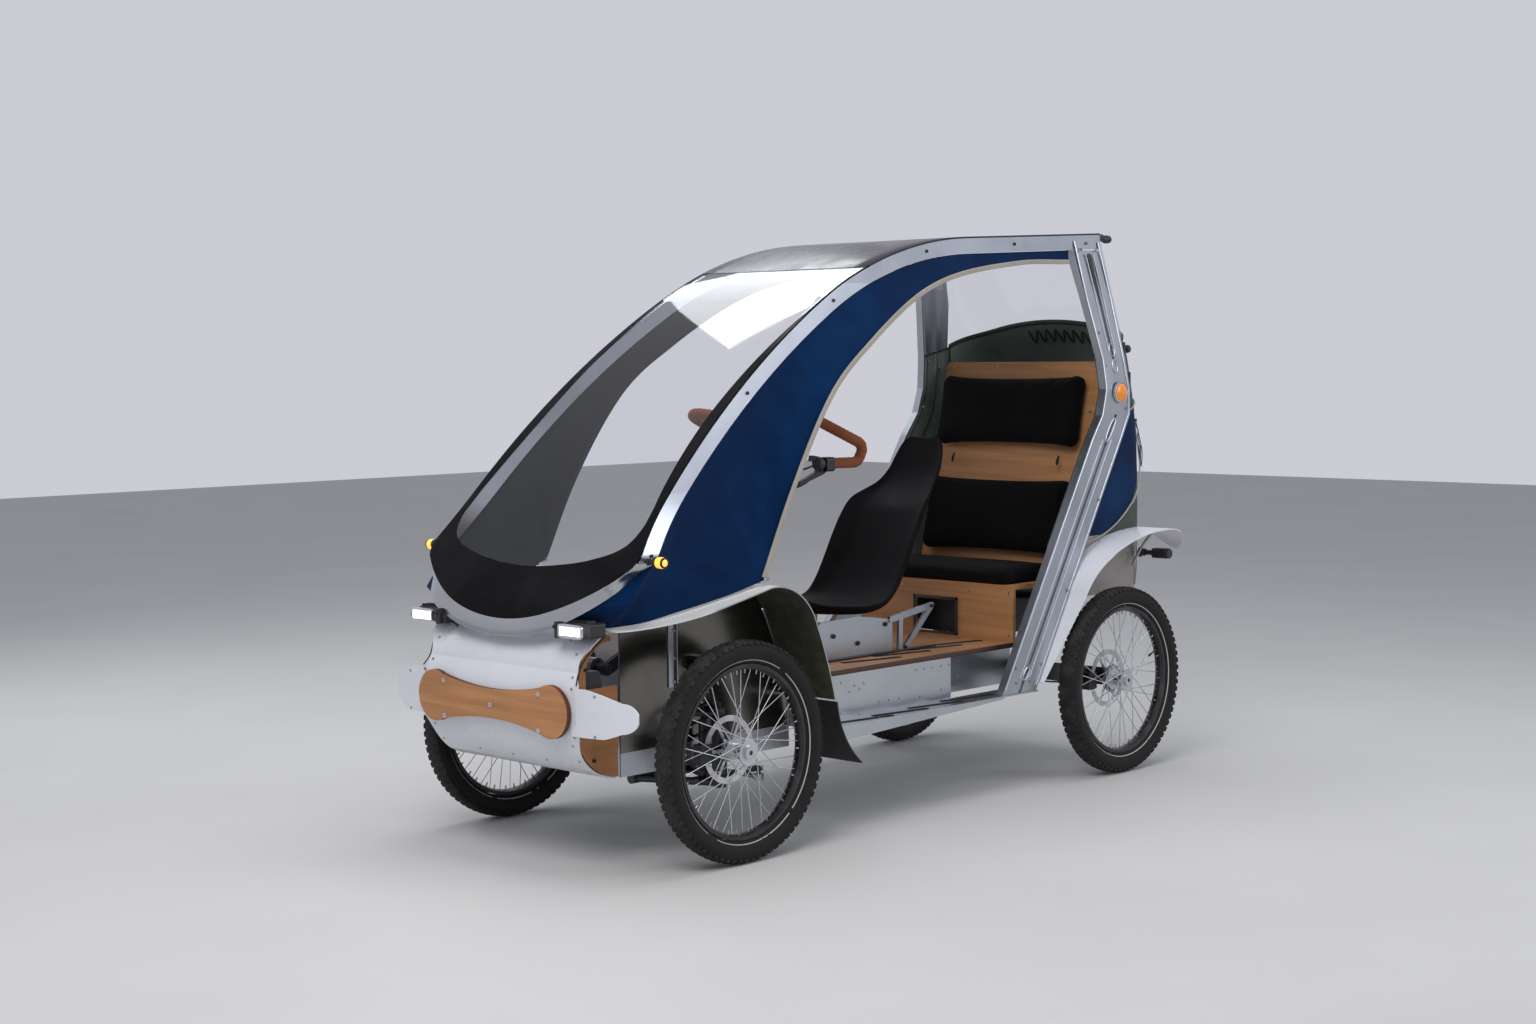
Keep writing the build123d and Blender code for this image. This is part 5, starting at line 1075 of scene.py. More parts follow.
HUB_PROFILE = [
    (0.012, 0.0),
    (0.0185, 0.0005),
    (0.0175, 0.004),
    (0.0172, 0.010),
    (0.0185, 0.0275),
    (0.0172, 0.045),
    (0.0175, 0.050),
    (0.0182, 0.0545),
    (0.012, 0.055),
]
CAP_PROFILE = [
    (0.0155, -0.001),
    (0.0155, 0.0015),
    (0.0142, 0.0028),
    (0.0115, 0.0030),
    (0.0105, 0.0018),
    (0.0085, 0.0018),
    (0.0080, 0.0034),
    (0.0010, 0.0037),
]
VALVE_PROFILE = [
    (0.0030, 0.0),
    (0.0030, 0.016),
    (0.0022, 0.017),
    (0.0022, 0.030),
    (0.0034, 0.030),
    (0.0034, 0.040),
    (0.0012, 0.041),
]
VALVE_ANGLE, VALVE_RADIUS = 0.35, 0.188
SPOKES = 36
NIPPLE_PROFILE = [(0.0021, 0.0), (0.0021, 0.010), (0.0014, 0.012)]
for name, x, y in WHEELS:
    body = name + "_wheel_body"
    tyre(name + "_tread_tyre", body, name + "_tyre", x, y)
    centre = Vector((x, y, AXLE_Z / 1000))
    out = Vector((1 if x > 0 else -1, 0, 0))
    # hub shell, bolted flange and axle cap
    hub = Shape(name + "_hub_shell")
    hub.turned(centre - out * 0.0275, out, HUB_PROFILE, sides=40)
    for a in angles(6, 0.5):
        hub.bolt(centre - out * 0.0405 + ring(a) * 0.0175, -out, 0.0028, 0.003)
    hub.make(CHROME, "wheel_metal", body=body, crease=30)
    cap = Shape(name + "_axle_cap")
    cap.turned(centre + out * 0.0275, out, CAP_PROFILE, sides=32)
    cap.make(BLACK_PLASTIC, "wheel_metal", body=body, crease=30)
    valve = Shape(name + "_valve")
    outward = ring(VALVE_ANGLE)
    valve.turned(centre + outward * (VALVE_RADIUS + 0.004), -outward, VALVE_PROFILE, sides=10)
    valve.make(BLACK_PLASTIC, "wheel_metal", body=body)
    nipples = Shape(name + "_nipples")
    for k, a in enumerate(angles(SPOKES, 0.5)):
        radial = ring(a)
        place = centre + radial * 0.1925 + out * (0.003 if k % 2 else -0.003)
        nipples.turned(place, -radial, NIPPLE_PROFILE, sides=6)
    nipples.make(STEEL, "wheel_metal", body=body)

# ------------------------------------------------------------ cushions
CUSHION_POINTS = 72  # round a cushion
CUSHION_LEVELS = [  # share of thickness, inset
    (0.0, 0.030),
    (0.0, 0.010),
    (0.10, 0.003),
    (0.30, 0.0),
    (0.70, 0.0),
    (0.90, 0.004),
    (1.0, 0.013),
    (1.0, 0.034),
]


def side_pull(along, half_along, across, half_across):
    """How far a cushion's side pulls in, most at the middle of the side."""
    middle = max(0.0, cos(pi * along / (2 * half_along)))
    return 0.006 * middle * (abs(across) / half_across) ** 8 * (1 if across > 0 else -1)


def cushion_mesh(name, centre, across, along, out, half_across, half_along, thick, corner=0.035, crown=0.010):
    """A boxed cushion: rounded corners, sides that pull in between them, a crowned face and a flat back."""
    across, along, out = Vector(across).normalized(), Vector(along).normalized(), Vector(out).normalized()
    shape = Shape(name)
    base = Vector(centre)
    rows = []
    for share, inset in CUSHION_LEVELS:
        row = []
        for k in range(CUSHION_POINTS):
            size = half_across - inset, half_along - inset, max(corner - inset, 0.006)
            px, py = rounded_rectangle(k / CUSHION_POINTS, *size)
            pull_a, pull_b = side_pull(px, half_across, py, half_along), side_pull(
                py, half_along, px, half_across
            )
            row.append(base + across * (px - pull_b) + along * (py - pull_a) + out * (share * thick))
        rows.append(row)
    lines = shape.grid(rows, closed=True)
    # crowned face and flat back
    for line, level, lift in ((lines[-1], thick, crown), (lines[0], 0.0, 0.0)):
        previous = line
        for step in range(1, 6):
            shrink = 1 - step / 6
            new = []
            for v in line:
                offset = v.co - base - out * level
                w = offset * shrink
                rise = lift * (1 - shrink * shrink)
                new.append(shape.bm.verts.new(base + w + out * (level + rise)))
            for k in range(CUSHION_POINTS):
                after = (k + 1) % CUSHION_POINTS
                shape.bm.faces.new([previous[k], previous[after], new[after], new[k]])
            previous = new
        shape.bm.faces.new(previous)
    return shape


def rounded_rectangle(u, half_a, half_b, r):
    """A point at share u of a rounded rectangle's outline."""
    sides = [2 * (half_b - r), 2 * (half_a - r), 2 * (half_b - r), 2 * (half_a - r)]
    arc = pi * r / 2
    total = sum(sides) + 4 * arc
    d = (u % 1.0) * total
    corners = [
        (half_a - r, half_b - r),
        (-half_a + r, half_b - r),
        (-half_a + r, -half_b + r),
        (half_a - r, -half_b + r),
    ]
    starts = [
        (half_a, -half_b + r, 0, 1),
        (half_a - r, half_b, -1, 0),
        (-half_a, half_b - r, 0, -1),
        (-half_a + r, -half_b, 1, 0),
    ]
    for i in range(4):
        if d <= sides[i]:
            x, y, dx, dy = starts[i]
            return x + dx * d, y + dy * d
        d -= sides[i]
        if d <= arc:
            a = pi / 2 * i + d / r
            cx, cy = corners[i]
            return cx + r * cos(a), cy + r * sin(a)
        d -= arc
    return half_a, -half_b + r


PRESSURE, VOXEL, CLOTH_FRAMES = 4.0, 0.006, 20


def inflate(obj, cap):
    """Swells a closed cushion with a short cloth run; no point moves further than cap."""
    scene = bpy.context.scene
    bpy.context.view_layer.objects.active = obj
    remesh = obj.modifiers.new("remesh", "REMESH")
    remesh.mode = "VOXEL"
    remesh.voxel_size = VOXEL
    graph = bpy.context.evaluated_depsgraph_get()
    mesh = bpy.data.meshes.new_from_object(obj.evaluated_get(graph))
    obj.modifiers.clear()
    material = obj.data.materials[0]
    obj.data = mesh
    mesh.materials.clear()
    mesh.materials.append(material)
    start = [v.co.copy() for v in mesh.vertices]
    rig = obj.modifiers.new("cloth", "CLOTH")
    rig.settings.use_pressure = True
    rig.settings.uniform_pressure_force = PRESSURE
    rig.settings.effector_weights.gravity = 0.0
    rig.settings.quality = 4
    rig.settings.tension_stiffness = 18
    rig.settings.compression_stiffness = 12
    rig.settings.bending_stiffness = 0.6
    rig.collision_settings.use_collision = False
    rig.point_cache.frame_start = 1
    rig.point_cache.frame_end = CLOTH_FRAMES
    for f in range(1, CLOTH_FRAMES + 1):
        scene.frame_set(f)
    graph = bpy.context.evaluated_depsgraph_get()
    moved = bpy.data.meshes.new_from_object(obj.evaluated_get(graph))
    obj.modifiers.clear()
    for v, w, s in zip(mesh.vertices, moved.vertices, start):
        d = w.co - s
        if d.length > cap:
            d *= cap / d.length
        v.co = s + d
    scene.frame_set(1)
    mesh.shade_smooth()
    smoothed(obj)


LEAN = radians(12.5)
BACK_UP = Vector((0, sin(LEAN), cos(LEAN)))
BACK_OUT = Vector((0, -cos(LEAN), sin(LEAN)))
BACK_FACE = at(0, 1478, 556) + BACK_OUT * 0.0135
SWELL_LIMIT = 0.008

for name, node, low, high in (
    ("lower_back_pad", "lower_back_cushion", 0.030, 0.260),
    ("upper_back_pad", "upper_back_cushion", 0.342, 0.558),
):
    middle = BACK_FACE + BACK_UP * ((low + high) / 2)
    pad = cushion_mesh(
        name, middle, (1, 0, 0), BACK_UP, BACK_OUT, 0.262, (high - low) / 2 - 0.002, 0.036, corner=0.030,
        crown=0.008,
    )
    pad = pad.make(CUSHION, "cushion_fabric", crease=80)
    inflate(pad, SWELL_LIMIT)
    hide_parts(node)

seat = cushion_mesh(
    "bench_seat_pad", at(0, 1307, 539.5), (1, 0, 0), (0, 1, 0), (0, 0, 1), 0.262, 0.119, 0.036,
    corner=0.028, crown=0.008,
)
seat = seat.make(CUSHION, "cushion_fabric", crease=80)
inflate(seat, SWELL_LIMIT)
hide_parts("seat_cushion")

# ------------------------------------------------------------ rider's seat: a padded cover on its shell
SEAT_LINE = [  # share, y, z of the front face, half width, wing height
    (0.00, 549, 541, 116, 2),
    (0.08, 585, 528, 138, 3),
    (0.24, 690, 513, 149, 5),
    (0.38, 790, 508, 153, 9),
    (0.45, 842, 517, 154, 18),
    (0.52, 888, 550, 153, 32),
    (0.60, 926, 604, 151, 38),
    (0.68, 958, 662, 150, 38),
    (0.76, 990, 716, 148, 36),
    (0.82, 1018, 757, 142, 30),
    (0.87, 1052, 784, 124, 20),
    (0.92, 1083, 808, 106, 14),
    (0.98, 1116, 843, 94, 12),
    (1.04, 1137, 882, 86, 10),
    (1.09, 1152, 918, 74, 7),
    (1.12, 1160, 938, 58, 4),
]
cover = Shape("driver_seat_cover")
stations = 64
length = SEAT_LINE[-1][0]
spine = [table(SEAT_LINE, length * i / stations) for i in range(stations + 1)]
rows = []
for i, (y, z, half, wing) in enumerate(spine):
    before, after = spine[max(i - 1, 0)], spine[min(i + 1, stations)]
    run = Vector((0, after[0] - before[0], after[1] - before[1])).normalized()
    inner = Vector((0, run.z, -run.y))  # towards the shell's back
    row = []
    dip = 7.0 * min(1, 4 * min(i, stations - i) / stations)
    for k in range(29):  # front face, from right wing to left wing
        s = -1 + 2 * k / 28
        x = half * s
        raised = wing * max(0.0, (abs(s) - 0.62) / 0.38) ** 1.9
        middle = dip * (1 - min(1, abs(s) / 0.62) ** 2)
        row.append(at(x * (1 - 0.02 * abs(s)), y, z) - inner * ((raised - middle) / 1000))
    for k in range(1, 12):  # round the wing's lip and across the back
        t = k / 12
        x = half * (1 - 2 * t)
        lip = wing * max(0.0, (abs(1 - 2 * t) - 0.75) / 0.25) ** 1.4
        row.append(
            at(x, y, z) + inner * ((25 * sin(pi * min(max(t, 0.02), 0.98)) ** 0.22 - lip * 0.5) / 1000)
        )
    rows.append(row)
lines = cover.grid(rows, closed=True)
for line in (lines[0], lines[-1]):
    middle = sum((v.co for v in line), Vector()) / len(line)
    hub = cover.bm.verts.new(middle)
    for k in range(len(line)):
        cover.bm.faces.new([line[k], line[(k + 1) % len(line)], hub])
cover = cover.make(SEAT_BLACK, "cushion_fabric", crease=75, subdivide=1)
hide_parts("driver_seat")

# ------------------------------------------------------------ rear canvas body
POST_THICKNESS = 22.0
POST_ROWS = [  # height, outer face out, front edge, rear edge
    (262.5, 360, 1045, 1192),
    (928, 346, 1465, 1612),
    (993, 344, 1515, 1651),
    (1065, 342, 1538, 1652),
    (1149, 333, 1532, 1640),
    (1312, 308, 1493, 1618),
    (1478, 291, 1452, 1576),
]
TRUNK_ROWS = [
    (486, 306, 1795), (820, 312, 1802), (1030, 310, 1785), (1190, 300, 1752), (1258, 297, 1715),
    (1492, 288, 1592),
]
POST_REAR_EDGE = [
    (262.5, 1195.5), (928, 1615.5), (993, 1654.5), (1065, 1655.5), (1149, 1643.5), (1312, 1621.5),
    (1490, 1582),
]
TRUNK_CORNER = 100.0


def between(rows, key):
    """Straight-line look-up in rows whose first column rises."""
    key = min(max(key, rows[0][0]), rows[-1][0])
    for a, b in zip(rows, rows[1:]):
        if key <= b[0]:
            t = (key - a[0]) / (b[0] - a[0])
            return [p + (q - p) * t for p, q in zip(a[1:], b[1:])]
    return list(rows[-1][1:])


def trunk_point(u, z):
    """A point of the rear body: u runs from the right front edge round the back to the left one."""
    half, rear = table(TRUNK_ROWS, z)
    front = between(POST_REAR_EDGE, z)[0]
    corner = min(TRUNK_CORNER, rear - 1582)
    side = max(rear - corner - front, 1.0)
    arc = pi / 2 * corner
    back = 2 * (half - corner)
    w = abs(2 * u - 1)
    sign = 1 if u >= 0.5 else -1
    d = w * (back / 2 + arc + side)
    if d <= back / 2:
        return Vector((sign * d, rear, 0)), Vector((0, 1, 0))
    d -= back / 2
    if d <= arc:
        a = d / corner
        x, y = sign * (half - corner + corner * sin(a)), rear - corner + corner * cos(a)
        return Vector((x, y, 0)), Vector((sign * sin(a), cos(a), 0))
    d -= arc
    return Vector((sign * half, rear - corner - d, 0)), Vector((sign, 0, 0))


CANVAS_FOOT, CANVAS_SIDE_TOP, CANVAS_TOP = 487.0, 1186.0, 1256.0
REAR_SWELL = 30.0


def swell(w, v):
    """How far the canvas bulges to the rear: w is 0 in the middle and 1 at the posts, v runs up it."""
    return REAR_SWELL * cos(pi / 2 * min(w / 0.8, 1.0)) * (0.7 * max(sin(pi * v), 0.0) ** 0.6 + 0.6 * v)


def trunk_surface(u, v, out=0.0):
    """A point of the rear canvas: u as above, v from its foot up to its arched edge."""
    w = abs(2 * u - 1)
    top = CANVAS_SIDE_TOP + (CANVAS_TOP - CANVAS_SIDE_TOP) * (1 - w * w)
    z = CANVAS_FOOT + (top - CANVAS_FOOT) * v
    place, normal = trunk_point(u, z)
    place.y += swell(w, v)
    sag = -5.0 * sin(pi * v) * (0.35 + 0.65 * abs(sin(2 * pi * u)))
    sag += 2.4 * noise.noise(Vector((u * 7, v * 3.5, 1.7))) + 1.2 * noise.noise(Vector((u * 18, v * 8, 5.1)))
    fold = 2.0 * max(0.0, noise.noise(Vector((u * 16 + v * 4, v * 1.6, 9.0)))) * (1 - v)
    edge = min(1.0, 12 * min(v, 1 - v), 30 * min(u, 1 - u))
    place += normal * ((sag - fold) * max(edge, 0) + out)
    return at(place.x, place.y, z)


trunk = Shape("rear_canvas_cloth")
trunk.grid([[trunk_surface(i / 150, j / 60) for j in range(61)] for i in range(151)], flip=True)
trunk_area = trunk.area()
trunk = trunk.make(TRUNK, "grey_canvas", crease=70)
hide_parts("rear_canvas")

# the lining's lighter colour is painted light for the shaded inside
inner = Shape("rear_canvas_lining")
inner.grid([[trunk_surface(i / 100, 0.008 + 0.984 * j / 40, -2.6) for j in range(41)] for i in range(101)])
inner_area = inner.area()
inner = inner.make(REAR_LINING_PAINTED_LIGHT, "grey_canvas", crease=70)

# floor of the rear body
floor_pan = Shape("rear_canvas_floor")
floor_pan.grid(
    [[at(x * 0.985, y, 487.5) for x in (-300, -150, 0, 150, 300)] for y in (1330, 1450, 1570, 1680, 1712)]
)
pan = floor_pan.make(GREY_CLOTH, "grey_canvas")

# the canvas's front wings, screwed to the posts' inner faces
WING_TOP = [(0.0, 1160.0), (1.0, 1186.0)]  # share across the post, height of the upper edge
WING_FOOT = 640.0
side_wings = Shape("rear_canvas_wings")
wing_edges = Shape("rear_wing_edges")
wing_screws = Shape("rear_wing_screws")
for side in (1, -1):
    rows = []
    for i in range(17):
        t = i / 16
        top = table(WING_TOP, t)[0]
        row = []
        for j in range(25):
            z = WING_FOOT + (top - WING_FOOT) * j / 24
            x, front, rear = between(POST_ROWS, z)
            slack = 1.6 * noise.noise(Vector((t * 3, j / 6, side * 4.0)))
            row.append(at(side * (x - POST_THICKNESS - 3.2 + slack), front + (rear + 14 - front) * t, z))
        rows.append(row)
    side_wings.grid(rows, flip=side > 0)
    wing_edges.tube([row[-1] for row in rows], 0.0036, sides=8)
    for share, z in ((0.16, 1146), (0.62, 1128), (0.10, 1010), (0.12, 860)):
        x, front, rear = between(POST_ROWS, z)
        base = at(side * (x - POST_THICKNESS - 4.8), front + (rear - front) * share, z)
        wing_screws.bolt(base, (-side, 0, 0), 0.0048, 0.003)
wings_area = side_wings.area()
side_wings = side_wings.make(REAR_LINING_PAINTED_LIGHT, "grey_canvas", crease=60)
wing_edges.make(CORD_BLACK, "grey_canvas")
wing_screws.make(CHROME, "steel")

# black bound arch edge, and light piping along the seams
edge = Shape("rear_canvas_binding")
edge.tube([trunk_surface(i / 120, 1.0, 0.5) for i in range(121)], 0.0042, sides=8)
edge.make(CORD_BLACK, "grey_canvas")


def trunk_at(side, y, z, out=1.0):
    """A point on the side or corner of the rear body at a distance behind the axle and a height."""
    half, rear = table(TRUNK_ROWS, z)
    corner = min(TRUNK_CORNER, rear - 1582)
    if y <= rear - corner:
        return at(side * (half + out - 5.0 * sin(pi * min(max((z - 487) / 700, 0), 1)) * 0.5), y, z)
    reach = half - corner + pi / 2 * corner + max(rear - corner - between(POST_REAR_EDGE, z)[0], 1.0)
    bulge = 0.0
    for _ in range(8):
        a = asin(min(1.0, max(0.0, y - bulge - rear + corner) / corner))
        bulge = swell((half - corner + corner * (pi / 2 - a)) / reach, min(max((z - 487) / 730, 0.0), 1.0))
    return at(
        side * (half - corner + (corner + out) * cos(a)), rear - corner + (corner + out) * sin(a) + bulge, z
    )


piping = Shape("rear_piping")
for side in (1, -1):
    arc = []
    for a in (radians(turn) for turn in steps_between(-92, 26, 69)):
        y, z = BLUE_ARC[0] + BLUE_ARC[2] * cos(a), BLUE_ARC[1] + BLUE_ARC[3] * sin(a)
        if z < SEAM_START[1] + (y - SEAM_START[0]) * SEAM_RISE and y > between(POST_REAR_EDGE, z)[0] + 2:
            arc.append(trunk_at(side, y, z))
    piping.tube(arc, 0.0022, sides=8)
    seam = steps_between(1657, 1775, 19)
    seam = [trunk_at(side, y, SEAM_START[1] + (y - SEAM_START[0]) * SEAM_RISE) for y in seam]
    piping.tube(seam, 0.0022, sides=8)
    piping.tube(
        [trunk_at(side, 1745 + 6 * sin(k / 3), 500 + (660 - 500) * k / 19, 1.4) for k in range(20)],
        0.0018,
        sides=6,
    )
piping.make(PIPING, "grey_canvas")

LACE_LOOP = [(1786, 975, 3), (1790, 930, 8), (1786, 880, 11), (1784, 840, 6), (1780, 850, 4), (1782, 900, 7)]
lacing = Shape("rear_lacing")
for side in (1, -1):
    points = []
    for k in range(9):
        z = 975 - k * 17
        points.append(trunk_at(side, 1781 + (6 if k % 2 else -4), z, 3.2))
    lacing.tube(curve_points(points, 5), 0.0016, sides=6)
    lacing.tube(curve_points([trunk_at(side, *p) for p in LACE_LOOP], 6), 0.0015, sides=6)
zig = []
for k in range(15):
    x = -150 + 400 * k / 14
    zig.append(trunk_surface(0.5 + x / 1250, 0.925 if k % 2 else 0.972, -5.5))
lacing.tube(curve_points(zig, 4), 0.0021, sides=6)
lacing.make(CORD_BLACK, "grey_canvas")

TOGGLE_PROFILE = [(0.010, 0), (0.012, 0.004), (0.011, 0.012), (0.006, 0.016), (0.001, 0.017)]
toggles = Shape("rear_toggles")
for side in (1, -1):
    base = trunk_at(side, 1742, 1176, 7)
    out = Vector((side, 0.5, 0.2)).normalized()
    toggles.turned(base - out * 0.004, out, TOGGLE_PROFILE, sides=16)
toggles.make(BLACK_PLASTIC, "dark_plastic")

# ------------------------------------------------------------ posts
def post_point(side, z, share, lift=0.0):
    """On a post's outer face at a height; share 0 is its front edge and 1 its rear edge."""
    x, front, rear = between(POST_ROWS, z)
    return at(side * (x + lift), front + (rear - front) * share, z)


POST_HEIGHTS = steps_between(276, 928, 12) + steps_between(940, 1149, 12) + steps_between(1165, 1474, 10)
ridges = Shape("post_ridges")
RIDGE_SECTION = [(-0.5, -5.5), (1.6, -5.0), (2.6, -2.2), (2.6, 2.2), (1.6, 5.0), (-0.5, 5.5)]
for side in (1, -1):
    for share in (0.05, 0.95):
        rows = []
        for z in POST_HEIGHTS:
            x, front, rear = between(POST_ROWS, z)
            y = front + (rear - front) * share
            rows.append([at(side * (x + out), y + across, z) for out, across in RIDGE_SECTION])
        ridges.grid(rows, closed=True, flip=side < 0)
    for share in (0.36, 0.64):
        for low, high in ((300, 925), (1165, 1440)):
            ridges.tube(
                [post_point(side, z, share, 0.4) for z in steps_between(low, high, 14)], 0.0022, sides=8
            )
ridges.make(RAIL_METAL, "aluminium", crease=50)

# the upper groove's painted shade, a dark strip on the post's face, and the channels on the posts' inner
# faces
CHANNEL_SECTION = [  # share across the post, rise off its inner face in mm
    (0.02, 0.0),
    (0.05, 3.2),
    (0.14, 3.2),
    (0.18, 0.8),
    (0.40, 0.8),
    (0.44, 4.2),
    (0.56, 4.2),
    (0.60, 0.8),
    (0.82, 0.8),
    (0.86, 3.2),
    (0.95, 3.2),
    (0.98, 0.0),
]
GROOVE_SECTION = [(-1, 0.2), (-0.8, 0.7), (0.8, 0.7), (1, 0.2)]
groove = Shape("post_groove_painted_shade")
channels = Shape("post_inner_channels")
for side in (1, -1):
    rows = []
    for z in steps_between(1300, 1442, 12):
        rows.append([post_point(side, z, 0.5 + across * 0.047, lift) for across, lift in GROOVE_SECTION])
    groove.grid(rows, flip=side < 0)
    rows = []
    for z in steps_between(660, 928, 6) + steps_between(940, 1149, 10) + steps_between(1165, 1440, 10):
        rows.append(
            [post_point(side, z, share, -POST_THICKNESS - 0.4 - rise) for share, rise in CHANNEL_SECTION]
        )
    channels.grid(rows, flip=side > 0)
# painted shade: the groove strip takes the dark steel colour
groove.make(DARK_STEEL_AND_GROOVE_SHADE, "aluminium")
channels.make(INNER_METAL, "aluminium", crease=40)

slots = Shape("post_groove_ends")
for side in (1, -1):
    for low, high in ((1162, 1186), (925, 978), (1116, 1140), (300, 322)):
        oval = []
        for a in angles(28):
            z = (low + high) / 2 + ((high - low) / 2 + 6) * sin(a)
            x, front, rear = between(POST_ROWS, z)
            y = (front + rear) / 2 + 11 * cos(a)
            oval.append(at(side * (x + 0.4), y, z))
        slots.tube(oval, 0.0019, sides=8, closed=True)
slots.make(RAIL_METAL, "aluminium")

post_screws = Shape("post_screws")
POST_SCREWS = [
    (1452, 0.22), (1452, 0.78), (1470, 0.5), (1222, 0.16), (1130, 0.12), (1010, 0.86), (760, 0.9),
    (520, 0.9), (330, 0.12), (330, 0.5), (330, 0.88), (290, 0.3), (290, 0.7),
]
for side in (1, -1):
    for z, share in POST_SCREWS:
        post_screws.bolt(post_point(side, z, share, 0.2), (side, 0, 0.05), 0.0042, 0.003)
post_screws.make(STEEL, "aluminium", bevel=0.0004)

hinge = Shape("post_hinges")
for side in (1, -1):
    for z in (1180, 1096):
        base = post_point(side, z, 1.0, -6)
        hinge.block(base + Vector((0, 0.004, 0)), (0.006, 0.018, 0.030), round=0.002)
        hinge.tube([base + Vector((side * 0.002, 0.013, d)) for d in (-0.015, 0.0, 0.015)], 0.004, sides=10)
hinge.make(BLACK_PLASTIC, "dark_plastic")

# ------------------------------------------------------------ lamps
MARKER = (349.8, 1599.0, 1055.0)
MARKER_LENS = [
    (0.0262, -0.0035),
    (0.0258, 0.0016),
    (0.0236, 0.0044),
    (0.0186, 0.0068),
    (0.0106, 0.0084),
    (0.0006, 0.0090),
]
MARKER_BEZEL = [
    (0.0258, -0.004),
    (0.0262, 0.0030),
    (0.0278, 0.0034),
    (0.0292, 0.0016),
    (0.0298, -0.004),
    (0.0298, -0.0058),
]
lens = Shape("marker_lenses")
bezel = Shape("marker_bezels")
for side in (1, -1):
    centre = mirrored(side, MARKER)
    lens.turned(centre, (side, 0, 0), MARKER_LENS, sides=48)
    bezel.turned(centre, (side, 0, 0), MARKER_BEZEL, sides=48, ends=False)
lens.make(AMBER_DULL, "amber_plastic")
bezel.make(CHROME, "dark_plastic")

SIGNAL = (404.0, -240.0, 712.0)
SIGNAL_LENS = [
    (0.0122, 0.0),
    (0.0128, 0.006),
    (0.0128, 0.013),
    (0.0122, 0.0175),
    (0.0104, 0.0205),
    (0.0070, 0.0226),
    (0.0030, 0.0236),
    (0.0005, 0.0238),
]
SIGNAL_COLLAR = [
    (0.006, -0.002),
    (0.0108, -0.0005),
    (0.0129, 0.003),
    (0.0134, 0.010),
    (0.0126, 0.0125),
    (0.0110, 0.0128),
]
SIGNAL_NUT = [(0.0075, 0.0), (0.0085, 0.002), (0.0085, 0.006), (0.0075, 0.008)]
ball = Shape("signal_lenses")
collar = Shape("signal_collars")
for side in (1, -1):
    centre = mirrored(side, SIGNAL)
    out = Vector((side, 0, 0))
    ball.turned(centre - out * 0.006, out, SIGNAL_LENS, sides=36)
    collar.turned(centre - out * 0.0172, out, SIGNAL_COLLAR, sides=32)
    collar.tube([centre - out * d for d in (0.019, 0.034, 0.050)], 0.0052, sides=14)
    collar.turned(centre - out * 0.040, out, SIGNAL_NUT, sides=18)
ball.make(AMBER, "amber_plastic")
collar.make(BLACK_PLASTIC, "dark_plastic")

LAMP = (265.0, -385.0, 561.0)  # middle of each lamp's front face
FRAME_HALF_WIDTH, FRAME_HALF_HEIGHT = 0.0405, 0.0165
FRAME_SECTION = [  # in from the frame's outline, to the rear
    (0.0, 0.002),
    (0.0, -0.0030),
    (0.0022, -0.0046),
    (0.0055, -0.0032),
    (0.0055, 0.001),
]
EMITTER = [(0.0046, 0.0), (0.0040, 0.0012), (0.0020, 0.0022), (0.0004, 0.0024)]
LAMP_CABLE = [(0.045, 0.040, -0.010), (0.062, 0.055, -0.026), (0.070, 0.066, -0.052)]  # in, to the rear, up
led = Shape("headlight_lenses")
frame_ring = Shape("headlight_frames")
fins = Shape("headlight_housings")
emitters = Shape("headlight_emitters")
for side in (1, -1):
    centre = mirrored(side, LAMP)
    led.block(centre + Vector((0, -0.0015, 0)), (0.066, 0.005, 0.020), round=0.0016)
    ring_rows = []
    for a in angles(48):
        reach = (abs(cos(a)) ** 6 + abs(sin(a)) ** 6) ** (-1 / 6)
        px, pz = reach * cos(a), reach * sin(a)
        row = []
        for inset, deep in FRAME_SECTION:
            offset = (FRAME_HALF_WIDTH - inset) * px, deep, (FRAME_HALF_HEIGHT - inset) * pz
            row.append(centre + Vector(offset))
        ring_rows.append(row)
    frame_ring.grid(ring_rows, wrap=True)
    for k in range(7):
        fins.block(centre + Vector((-0.030 + 0.010 * k, 0.036, 0.0185)), (0.0030, 0.026, 0.008), round=0.001)
    fins.block(centre + Vector((-side * 0.052, 0.016, 0.0)), (0.014, 0.028, 0.036), round=0.004)
    fins.block(centre + Vector((-side * 0.064, 0.022, -0.006)), (0.012, 0.020, 0.022), round=0.003)
    fins.bolt(centre + Vector((-side * 0.052, 0.000, 0.008)), (0, -1, 0), 0.0045, 0.004)
    for k in range(4):
        for j in (0, 1):
            place = centre + Vector((-0.024 + 0.016 * k, -0.0040, -0.0048 + 0.0096 * j))
            emitters.turned(place, (0, -1, 0), EMITTER, sides=14)
    cable = [centre + Vector((-side * x, y, z)) for x, y, z in LAMP_CABLE]
    fins.tube(curve_points(cable, 6), 0.0028, sides=8)
led.make(LED, "clear_sheet", bevel=0.0004)
frame_ring.make(CHROME, "aluminium")
fins.make(BLACK_PLASTIC, "dark_plastic")
emitters.make(LED_CORE, "clear_sheet")

